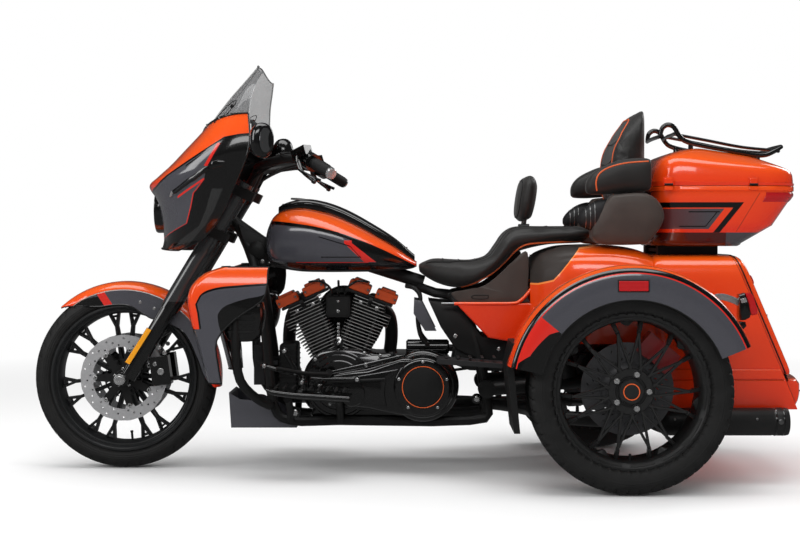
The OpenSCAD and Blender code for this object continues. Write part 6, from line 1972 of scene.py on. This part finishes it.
def makeDoor():
    b, d = body, door
    x0 = b["tailX"] - d["gap"]
    rings = [trunkRing(x0 - d["thick"] * t, b["slope"], inset, d["foot"]) for t, inset in ((0, .003), (.55, .0025),
        (.8, .003), (1.0, .006), (1.14, .011), (1.24, .02), (1.3, .034), (1.33, .06))]
    rings.append(trunkRing(x0 - d["thick"] * 1.34, b["slope"], .11, d["foot"]))
    panel = loft(np.stack(rings))
    hinges, lamps = [], []
    lean = unit([-1, 0, b["slope"]])
    face = lambda z: x0 - d["thick"] * 1.34 - b["slope"] * (b["high"] - z)
    for s in (1, -1):
        pin = (d["pinX"], s * .19, .352)
        hinges.append(spun([[-.03, .0088], [-.029, .0092], [.029, .0092], [.03, .0088]], pin, (0, 1, 0), 28))
        hinges.append(roundBlock((pin[0] + .001, pin[1] - .029, .3525), (pin[0] + .02, pin[1] + .029, .3605), .002))
        # tail lamp bars in the door's upper corners
        bar = [[face(.668) - .0045 + .0009, s * .272, .668], [face(.668) - .0045, s * .15, .668]]
        lamps.append(sweep(np.linspace(bar[0], bar[1], 6), np.stack(superCircle(24, 3), -1) * (.016, .0055),
            up=lean))
    grip = sweep(smoothLine([(face(.6) + .003, -.07, .6), (face(.6) - .012, -.052, .6), (face(.6) - .015, 0, .6),
        (face(.6) - .012, .052, .6), (face(.6) + .003, .07, .6)], 6), np.stack(superCircle(16, 3), -1) * (.008,
        .0035), up=(0, 0, 1))
    lock = spun([[0, .012], [.003, .012], [.004, .01], [.004, .004], [.002, .0035], [.002, .0003]],
        (face(.56) + .001, 0, .56), (-1, 0, b["slope"]), 28)
    bead = trunkRing(x0 - d["thick"] * .3, b["slope"], .0015, d["foot"])
    trims = [tube(np.vstack([bead, bead[:2]]), .0022, 8), grip]
    build("trunkDoorPanel", grouped([panel], hinges + trims, lamps, [lock]), [bodyOrange, blackSatin, redLens,
        brightSteel], "trunk_door", "trunk_door", angle=45)
    refine("number_plate", plateWhite, .0008)


makeDoor()


def makeBumper():
    foot = body["tailX"] - body["slope"] * (body["high"] - .3)
    pin = door["pinX"]
    outline = [[foot + .06, .238], [foot - .012, .2465], [foot - .022, .252], [foot - .029, .266],
        [foot - .033, .283], [foot - .034, .292], [foot - .034, .3185], [foot - .0325, .3235], [foot - .028, .327],
        [foot - .0265, .331], [foot - .023, .336], [foot - .018, .338], [pin + .012, .338]]
    t = np.linspace(-1, 1, 49)
    bulge = .034 * (1 - t**2)
    close = 1 - .1 * np.clip((np.abs(t) - .93) / .07, 0, 1) ** 2
    pts = np.array(outline)
    mid = np.array([foot, .29])
    rings = np.stack([np.stack([mid[0] + (pts[:, 0] - mid[0]) * k - bb, np.full(len(pts), .318 * tt),
        mid[1] + (pts[:, 1] - mid[1]) * k], -1) for tt, bb, k in zip(t, bulge, close)])
    lugs = []
    for s in (1, -1):
        for q in (-1, 1):
            lugs.append(roundBlock((pin - .0055, s * .19 + q * .035 - .004, .33), (pin + .0055, s * .19 + q * .035
                + .004, .357), .003))
        lugs.append(rod((pin, s * .19 - .034, .352), (pin, s * .19 + .034, .352), .004, 20))
    step = sweep(np.stack([rings[2:-2, 5, 0] - .0008, rings[2:-2, 5, 1], rings[2:-2, 5, 2] + .004], -1),
        np.stack(superCircle(12, 2), -1) * .0022)
    build("rearBumperCover", grouped([loft(rings)], [step] + lugs), [bodyOrange, blackSatin], "chassis",
        "rear_bumper", angle=40)


makeBumper()

deck = {"rows": [[286, 190, 712], [284, 195.8, 722], [262, 228, 746], [236, 256, 762], [176, 300, 780],
    [106, 326, 785], [20, 330, 785], [-60, 330, 774], [-121, 330, 753]], "foot": .455, "wall": .005}


def makeDeck():
    rows = smoothLine(deck["rows"], 8) / 1000
    a = np.linspace(0, np.pi, 121)
    c, s = signedPower(np.cos(a), 2 / 7), np.abs(np.sin(a)) ** (2 / 7)
    x = rearX + rows[:, 0][:, None]
    # a soft channel along each shoulder
    half, top = rows[:, 1][:, None], rows[:, 2][:, None]
    foot = deck["foot"]
    outer = np.stack([np.broadcast_to(x, (len(rows), 121)), half * c, foot + (top - foot) * s], -1)
    crease = np.exp(-((outer[..., 2] - (top - .042)) / .0075) ** 2) * (np.abs(c) > .8)
    outer[..., 1] -= np.sign(outer[..., 1]) * .003 * crease
    w = deck["wall"]
    inner = np.stack([np.broadcast_to(x, (len(rows), 121)), (half - w) * c, foot + (top - w - foot) * s], -1)
    shader = Shader("deckPaint", coat=1.0, coatRough=.03, rough=.2)
    px, _, pz = shader.place()
    orange = pearlWithPaintedLight(shader, pz, low=.3, high=.8)
    shoulder = shader.line(px, [(-.72, .8), (-.65, .79), (-.5654, .7765), (-.496, .6886), (-.4775, .668),
        (-.43, .6554), (-.4, .655)])
    above = pz.over(shoulder)
    # the bright orange line just under the shoulder line is a painted highlight along the ridge
    paintedHighlightLine = pz.between(shoulder - .006, shoulder + .001)
    grain = shader.mix(shader.cells(900), palette["skirt"], (.022, .016, .013))
    material = layered(shader, orange, [(paintedHighlightLine * px.over(-.62), (.95, .26, .05)), (above, grain)])
    shader.set("coat", 1 - above * .95)
    shader.set("rough", above * .35 + .2)
    build("rearDeckSkin", [wall(outer, inner)], material, "chassis", "rear_deck", angle=50)


makeDeck()

fender = {"r": .3475, "from": 12, "to": 158, "outer": [[0, 330.3], [34, 330.3], [36, 350], [40, 452], [47, 540],
    [51.5, 590], [52, 628], [49, 648], [42, 662], [31, 672], [20, 679.7]], "inner": [[20, 674.7], [33, 665],
    [44, 645], [47, 628], [44, 572], [34, 454], [28, 335.3], [0, 335.3]], "flare": [[46.5, 664], [46, 669],
    [43, 676], [38, 682], [30, 686.5], [18, 690], [0, 692], [-52, 692], [-56, 691], [-57, 689], [-55, 686],
    [0, 686], [19.7, 680.2]]}


def makeFenders():
    f = fender
    cx, cz = float(rearX), float(rearAxle[2])
    a = np.radians(np.linspace(f["from"], f["to"], 121))
    paint = bodyPaint("fenderPaint", .45, .72)

    def spinProfile(profile, s, grow=0.0):
        p = np.asarray(profile, float) / 1000
        r = f["r"] + p[:, 0][None] + grow
        return np.stack([cx + r * np.cos(a)[:, None], np.broadcast_to(s * p[:, 1], (len(a), len(p))),
            cz + r * np.sin(a)[:, None]], -1)

    skins, flares, lips = [], [], []
    for s in (1, -1):
        outer = smoothLine(f["outer"][1:], 3)
        profile = np.vstack([f["outer"][:1], outer, f["inner"]])
        skins.append(loft(spinProfile(profile, s)))
        flares.append(loft(spinProfile(f["flare"], s)))
        lips.append(tube(spinProfile([[-56.5, 688.8]], s)[:, 0], .0032, 8))
    build("rearFenderSkins", skins, paint, "chassis", "rear_fenders", angle=45)
    shader = Shader("flarePaint", coat=1.0, coatRough=.03, rough=.2)
    x, _, z = shader.place()
    dx, dz = x - cx, z - cz
    radius = (dx * dx + dz * dz) ** .5
    slate = slateCoat(shader)
    orange = pearlWithPaintedLight(shader, z, low=.45, high=.72)
    angle = dz.combine("ARCTAN2", dz, dx)
    inner = shader.line(angle, [(0, .4), (.262, .372), (.349, .345), (.611, .322), (.707, .3), (.72, .28)])
    front = angle.under(.69, .002) * dx.over(0)
    endRed = front * radius.over(inner)
    endDark = front * radius.under(inner)
    material = layered(shader, slate, [(endDark, palette["black"]), (endRed * radius.under(.375),
        palette["stripe"]), (radius.between(.3725, .3765), palette["stripe"]), (radius.over(.3765),
        palette["black"]), (radius.over(.3905), orange)])
    flap = []
    for s in (1, -1):
        outline = np.array([[350, 195], [369, 195], [392, 400], [374, 478], [354, 478], [369, 400]]) / 1000
        outline[:, 0] += cx
        flap.append(prism(sideOutline(outline, s * .3801), (0, s * .2515, 0)))
    build("fenderFlareRings", flares, material, "chassis", "fender_flares", angle=40)
    build("fenderFlaps", grouped(flap + lips), blackSatin, "chassis", bevel=.002)
    marks = []
    for s in (1, -1):
        low, high = (-.733, s * .6915 - (.005 if s < 0 else 0), .6445), (-.642, s * .6915 + (.005 if s > 0 else 0),
            .676)
        marks.append((roundBlock(np.minimum(low, high), np.maximum(low, high), .012), 0))
        low, high = (-.7365, s * .6895 - (.004 if s < 0 else 0), .641), (-.6385, s * .6895 + (.004 if s > 0 else 0),
            .6795)
        marks.append((roundBlock(np.minimum(low, high), np.maximum(low, high), .014), 1))
    build("fenderReflectors", marks, [redLens, blackSatin], "chassis")


makeFenders()


def makeTailLamps():
    red, dark, trim = [], [], []
    lensShape = [[-1.056, .634], [-1.074, .635], [-1.082, .628], [-1.0965, .578], [-1.094, .566], [-1.08, .563],
        [-1.073, .57], [-1.066, .604]]
    shell = [[-1.0365, .63], [-1.054, .6355], [-1.07, .6], [-1.076, .57], [-1.072, .556], [-1.056, .548],
        [-1.04, .548], [-1.0365, .56]]
    lower = [[-1.0365, .545], [-1.058, .543], [-1.062, .53], [-1.052, .519], [-1.0365, .522]]
    for s in (1, -1):
        for outline, half, into in ((lensShape, .0235, red), (shell, .0225, dark), (lower, .0215, dark)):
            low, high = sorted((s * .56 - half, s * .56 + half))
            into.append(edged(outline, low, high, .006))
        stem = smoothLine([(-.955, s * .575, .618), (-.985, s * .57, .622), (-1.02, s * .563, .612),
            (-1.045, s * .56, .6)], 5)
        trim.append(sweep(stem, np.stack(superCircle(16, 3), -1) * (.004, .011)))
        low, high = sorted((s * .5815, s * .585))
        trim.append(edged([[-1.04, .616], [-1.058, .62], [-1.062, .606], [-1.044, .602]], low, high, .0012))
    build("tailLamps", grouped(red, dark, trim), [redLens, blackGloss, brightSteel], "chassis",
        "rear_lamps", angle=35)


makeTailLamps()

side = {"tr": -.01683}


def makeSideCovers():
    tr = side["tr"]
    parts, trims, black = [], [], []
    for s in (1, -1):
        outline = np.array([[132, 586], [398, 586], [398, 452], [330, 452], [246, 466]]) / 1000
        pts = np.stack([tr - outline[:, 0], outline[:, 1]], -1)
        parts.append(prism(sideOutline(pts, s * .1685), (0, s * .021, 0)))
        ridge = smoothLine([(tr - .128, s * .186, .5835), (tr - .25, s * .1885, .5835), (tr - .33, s * .1885,
            .5845), (tr - .352, s * .1885, .592), (tr - .374, s * .187, .612), (tr - .396, s * .184, .64)], 8)
        trims.append(tube(ridge, .006, 14))
        black.append(tube(smoothLine([(tr - .085, s * .183, .583), (tr - .1, s * .185, .5835), (tr - .13, s * .186,
            .5835)], 5), .0052, 12))
    build("sideCoverPanels", parts, bodyPaint("sideCoverPaint", .52, .95), "chassis", "side_covers",
        bevel=.006, segments=3)
    build("sideCoverRidges", grouped(trims, black), [bodyOrange, steel], "chassis")
    outline = np.array([[148, 586.4], [370, 586.4], [380, 612], [380, 758], [330, 728], [290, 690], [240, 650],
        [190, 632], [120, 620]]) / 1000
    panels, cords = [], []
    for s in (1, -1):
        pts = np.stack([tr - outline[:, 0], outline[:, 1]], -1)
        dense = smoothLine(np.vstack([pts, pts[:1]]), 5)[:-1]
        centre = dense.mean(0)
        rings = [sideOutline(centre + (dense - centre) * k, s * y) for k, y in ((.96, .1683), (1, .17), (1, .1775),
            (.985, .1805), (.95, .1818), (.6, .1822))]
        panels.append(loft(np.stack(rings)))
        # sewn pocket outline and a small loop
        pocket = smoothLine([(-.405, .752), (-.405, .715), (-.42, .69), (-.455, .682), (-.505, .684), (-.512, .7),
            (-.512, .752)], 6)
        cords.append(tube(np.stack([pocket[:, 0], np.full(len(pocket), s * .1786), pocket[:, 1]], -1), .0016, 8))
        loop = smoothLine([(-.262, .612), (-.215, .612), (-.205, .606), (-.215, .6), (-.255, .6), (-.262, .606),
            (-.262, .612)], 5)
        cords.append(tube(np.stack([loop[:, 0], np.full(len(loop), s * .1824), loop[:, 1]], -1), .0016, 8))
    build("seatSkirts", grouped(panels, cords), [skirtGrain, blackSatin], "chassis", "seat_side_panels",
        angle=40)


makeSideCovers()

topBox = {"split": .983, "floor": .781, "front": -.817, "rear": -1.307, "taper": .175, "half": .29, "wall": .005}


# ring of the top box: rear and front x close in with t, corner power 5
def boxRing(z, t, inset, n=112):
    b = topBox
    x0, x1 = b["rear"] + b["taper"] * (1 - t) + inset, b["front"] - .008 * (1 - t) - inset
    half = b["half"] - .026 * (1 - t) - inset
    c, s = superCircle(n, 5, np.pi / n)
    return np.stack([(x0 + x1) / 2 + (x1 - x0) / 2 * c, half * s, np.full(n, z)], -1)


def lidRing(t, inset, drop=0.0, n=112):
    b = topBox
    x0, x1 = b["rear"] + inset * 1.05, b["front"] - .03 * t - inset
    half = b["half"] - inset
    c, s = superCircle(n, 5 + 2 * t, np.pi / n)
    x = (x0 + x1) / 2 + (x1 - x0) / 2 * c
    full = .084 + .078 * (x - b["rear"]) / .49
    return np.stack([x, half * s, .9845 + t * full - drop], -1)


def boxPaint(name, low, high):
    shader = Shader(name, coat=1.0, coatRough=.03, rough=.2)
    x, y, z = shader.place()
    orange = pearlWithPaintedLight(shader, z, low=low, high=high)
    slate = slateCoat(shader)
    normal = shader.tree.nodes.new("ShaderNodeSeparateXYZ")
    shader.tree.links.new(shader.node("ShaderNodeNewGeometry", {}, out=1).socket, normal.inputs[0])
    facing = (x + 1.062) * Field(shader, normal.outputs[0]) + y * Field(shader, normal.outputs[1])
    outside = facing.over(.002, .002)
    onSide = abs(y).over(.2, .004) * outside
    rear = shader.line(z, [(.78, -1.012), (.827, -1.036), (.929, -1.116), (.95, -1.12)])
    barTop = z.between(.9105, .9285) * x.over(rear)
    barEnd = x.between(rear, shader.line(z, [(.78, -.99), (.827, -1.014), (.929, -1.094), (.95, -1.1)])) \
        * z.between(.827, .9285)
    panelEnd = shader.line(z, [(.78, -.975), (.8415, -1.0), (.907, -1.05), (.93, -1.06)])
    panel = x.over(panelEnd) * z.between(.8385, .907)
    fade = 1 - (x + 1.0) / .17
    fade.socket.node.use_clamp = True
    panelColor = shader.mix(fade * .8 + .2, (.12, .012, .008), slate)
    chevron = (z - .8965).between(-.002, .002) * x.between(-1.035, -.93)
    chevronEnd = (x - shader.line(z, [(.78, -.96), (.8455, -.986), (.8965, -1.026), (.93, -1.04)])).between(-.002,
        .002) * z.between(.8455, .8965)
    chevronFoot = (z - .8475).between(-.002, .002) * x.between(-.985, -.9)
    # the lower front of the box is orange darkened to dark red as painted shade; the rear end is the slate panel
    lowPaintedShade = z.under(.827) * x.over(-1.06)
    lowGrey = z.under(.827) * x.under(-1.058)
    # the body crease on the sides is drawn as a darker orange line of painted shade
    crease = (x - shader.line(z, [(.78, -1.06), (.834, -1.094), (.958, -1.167), (.98, -1.18)])).between(-.0012,
        .0012)
    material = layered(shader, orange, [(crease * onSide * z.between(.83, .96), (.25, .02, .003)), (panel * onSide,
        panelColor), (barTop * onSide, palette["black"]), (barEnd * onSide, palette["black"]), (chevron * onSide,
        palette["black"]), (chevronEnd * onSide, palette["black"]), (chevronFoot * onSide, palette["black"]),
        (lowPaintedShade, (.06, .006, .004)), (lowGrey, slate), (1 - outside, palette["black"])])
    return material


def makeTopBox():
    b = topBox
    levels = [(b["floor"], 0, .012), (b["floor"] + .004, 0, .004), (b["floor"] + .01, 0, 0)]
    for z in np.linspace(.801, .851, 5):
        levels.append((z, .6 * (z - .791) / .06, 0))
    for z in np.linspace(.862, .953, 8):
        levels.append((z, .6 + .4 * (z - .851) / .102, 0))
    levels += [(.966, 1, 0), (.9675, 1, -.0038), (.9815, 1, -.004), (b["split"] - .0004, 1, -.003)]
    outer = [boxRing(z, t, inset) for z, t, inset in levels]
    inner = [boxRing(b["split"] - .0004, 1, b["wall"])] + [boxRing(z, t, b["wall"]) for z, t,
        _ in levels[-5:2:-1]] + [boxRing(b["floor"] + b["wall"], 0, .014)]
    tub = loft(np.stack(outer + inner))
    paint = boxPaint("topBoxPaint", .8, 1.0)
    catches = []
    for x in (-.861, -1.146):
        catches.append((roundBlock((x - .015, .2895, .9685), (x + .015, .2985, .9825), .004), 0))
    # red lamp wrapped round the rear corners
    index = np.nonzero(boxRing(.9605, 1, -.0012, 240)[:, 0] < -1.184)[0]
    rows = []
    for z in np.linspace(.93, .9615, 7):
        t = min(1, .6 + .4 * (z - .851) / .102)
        bulge = .003 * math.sin(math.pi * (z - .93) / .0315) ** .5
        ring = boxRing(z, t, -.001 - bulge, 240)
        rows.append(ring[index])
    outerLamp = np.stack(rows)
    innerLamp = np.stack([boxRing(z, min(1, .6 + .4 * (z - .851) / .102), .0015, 240)[index]
        for z in np.linspace(.93, .9615, 7)])
    build("topBoxTub", [(tub, 0)] + catches, [paint], "chassis", "top_box", angle=45)
    build("topBoxLamp", [wall(outerLamp, innerLamp)], redLens, "chassis")


makeTopBox()


def makeLid():
    steps = [(0, -.003), (.1, -.004), (.108, -.0005), (.25, .001), (.42, .004), (.54, .009), (.6, .014),
        (.65, .021), (.72, .036), (.8, .058), (.88, .084), (.95, .112), (.985, .134), (1.0, .16), (1.0, .203)]
    outer = [lidRing(t, inset) for t, inset in steps]
    inner = [lidRing(t, inset + .006) for t, inset in steps[:9]]
    shell = np.stack(inner[::-1] + outer)
    paint = bodyPaint("lidPaint", .98, 1.14)
    catches = []
    for x in (-.861, -1.146):
        catches.append((roundBlock((x - .013, .2895, .9848), (x + .013, .299, 1.009), .004), 0))
        catches.append((roundBlock((x - .017, .2915, .985), (x + .017, .295, 1.0125), .003), 0))
        catches.append((rod((x - .014, .2965, .9885), (x + .014, .2965, .9885), .0042, 16), 1))
    build("topBoxLid", [(loft(shell), 0)] + catches, [paint, blackSatin], "box_lid", "top_box_lid",
        angle=40)


makeLid()

def makeRack():
    rails = []
    for s in (1, -1):
        low = smoothLine([(-.856, s * .15, 1.158), (-.862, s * .152, 1.185), (-.88, s * .153, 1.1975),
            (-.902, s * .154, 1.19), (-.922, s * .155, 1.158), (-.945, s * .157, 1.14), (-1.0, s * .158, 1.126),
            (-1.1, s * .158, 1.108), (-1.17, s * .157, 1.095), (-1.215, s * .154, 1.094), (-1.25, s * .148, 1.108),
            (-1.275, s * .14, 1.122)], 6)
        rails.append(tube(low, np.interp(np.linspace(0, 1, len(low)), [0, .1, .9, 1], [.007, .0085, .0085, .006]),
            18))
        high = smoothLine([(-.915, s * .085, 1.17), (-1.02, s * .085, 1.15), (-1.15, s * .085, 1.125),
            (-1.262, s * .085, 1.114)], 6)
        rails.append(tube(high, .0055, 14))
        for x, top in ((-.96, 1.138), (-1.19, 1.094)):
            rails.append(tube([(x, s * .15, top - .03), (x, s * .156, top)], .0085, 14))
    for x, z in ((-.915, 1.172), (-1.262, 1.114)):
        rails.append(tube(smoothLine([(x, -.15, z - .006), (x - .004, -.08, z), (x - .005, 0, z), (x - .004, .08,
            z), (x, .15, z - .006)], 6), .0068, 16))
    rails.append(tube(smoothLine([(-.856, -.15, 1.158), (-.852, -.07, 1.158), (-.851, 0, 1.158),
        (-.852, .07, 1.158), (-.856, .15, 1.158)], 5), .007, 16))
    rear = smoothLine([(-1.275, -.14, 1.122), (-1.284, -.09, 1.127), (-1.286, 0, 1.128), (-1.284, .09, 1.127),
        (-1.275, .14, 1.122)], 6)
    rails.append(tube(rear, .0065, 16))
    build("luggageRack", rails, blackGloss, "box_lid", "luggage_rack")


makeRack()


def makeSpeakerPods():
    parts, black, trims = [], [], []
    outline = np.array([[-.604, .812], [-.606, .848], [-.628, .892], [-.662, .944], [-.69, .955], [-.79, .957],
        [-.838, .914], [-.842, .862], [-.8, .8], [-.77, .787], [-.64, .787]])
    dense = smoothLine(np.vstack([outline, outline[:1]]), 4)[:-1]
    centre = np.array([-.725, .872])
    for s in (1, -1):
        rings = [sideOutline(centre + (dense - centre) * k, s * y) for k, y in ((.93, .2085), (1, .216), (1, .288),
            (.985, .299), (.94, .307), (.85, .3115), (.6, .3145), (.3, .3155))]
        shell = np.stack(rings)
        boxSide = shell[..., 0] < -.8175
        shell[..., 1] = np.where(boxSide & (np.abs(shell[..., 1]) < .2935), s * .2935, shell[..., 1])
        parts.append(loft(shell))
        cup = smoothLine([[-.672, .026, .852, .935], [-.65, .04, .834, .94], [-.618, .047, .832, .932],
            [-.59, .046, .838, .915], [-.57, .036, .848, .896], [-.56, .016, .86, .88]], 5)
        black.append(loft(ringsX(cup, 2.4, 48, y0=s * .262)))
        for x in (-.583, -.598, -.613):
            z0, z1 = np.interp(-x, [.56, .57, .59, .62], [.86, .848, .838, .832]), np.interp(-x, [.56, .57, .59,
                .62], [.88, .896, .915, .932])
            mid, half = (z0 + z1) / 2, (z1 - z0) / 2
            wide = np.interp(-x, [.56, .57, .59, .62], [.016, .036, .046, .047])
            a = np.linspace(0, 2 * np.pi, 49)
            loop = np.stack([np.full(49, x), s * .262 + (wide + .0008) * signedPower(np.cos(a), 2 / 2.4),
                mid + (half + .0008) * signedPower(np.sin(a), 2 / 2.4)], -1)
            trims.append(tube(loop, .0014, 8))
    build("speakerPods", grouped(parts, black, trims), [skirtGrain, moulded("speakerCup", (.01, .01, .011)), steel],
        "chassis", "speaker_pods", angle=45)


makeSpeakerPods()
print("rear body made")

# every remaining mechanical node keeps its own shape, with softened edges and a finish of its own
finishes = {"satin": blackSatin, "paint": slateSatin, "black": blackGloss, "slate": slateSatin, "leather": leather,
    "skirt": skirtGrain, "plastic": plastic, "tyre": tyreRubber, "wheel": wheelBlack, "smoked": smokedScreen,
    "lens": clearLens, "redlens": redLens, "belt": beltRubber, "steel": brightSteel, "rocker": rockerOrange,
    "redcal": caliperRed, "pipe": pipeBlack, "plate": plateWhite}
keptEdge = {"frame": 0.0, "cylinders": 0.0}
stillShown = [node for node in frame["nodes"] if node not in replaced]
for node in stillShown:
    refine(node, finishes[slotOf[node]], keptEdge.get(node, .0012))
print("mechanical nodes finished:", len(stillShown))
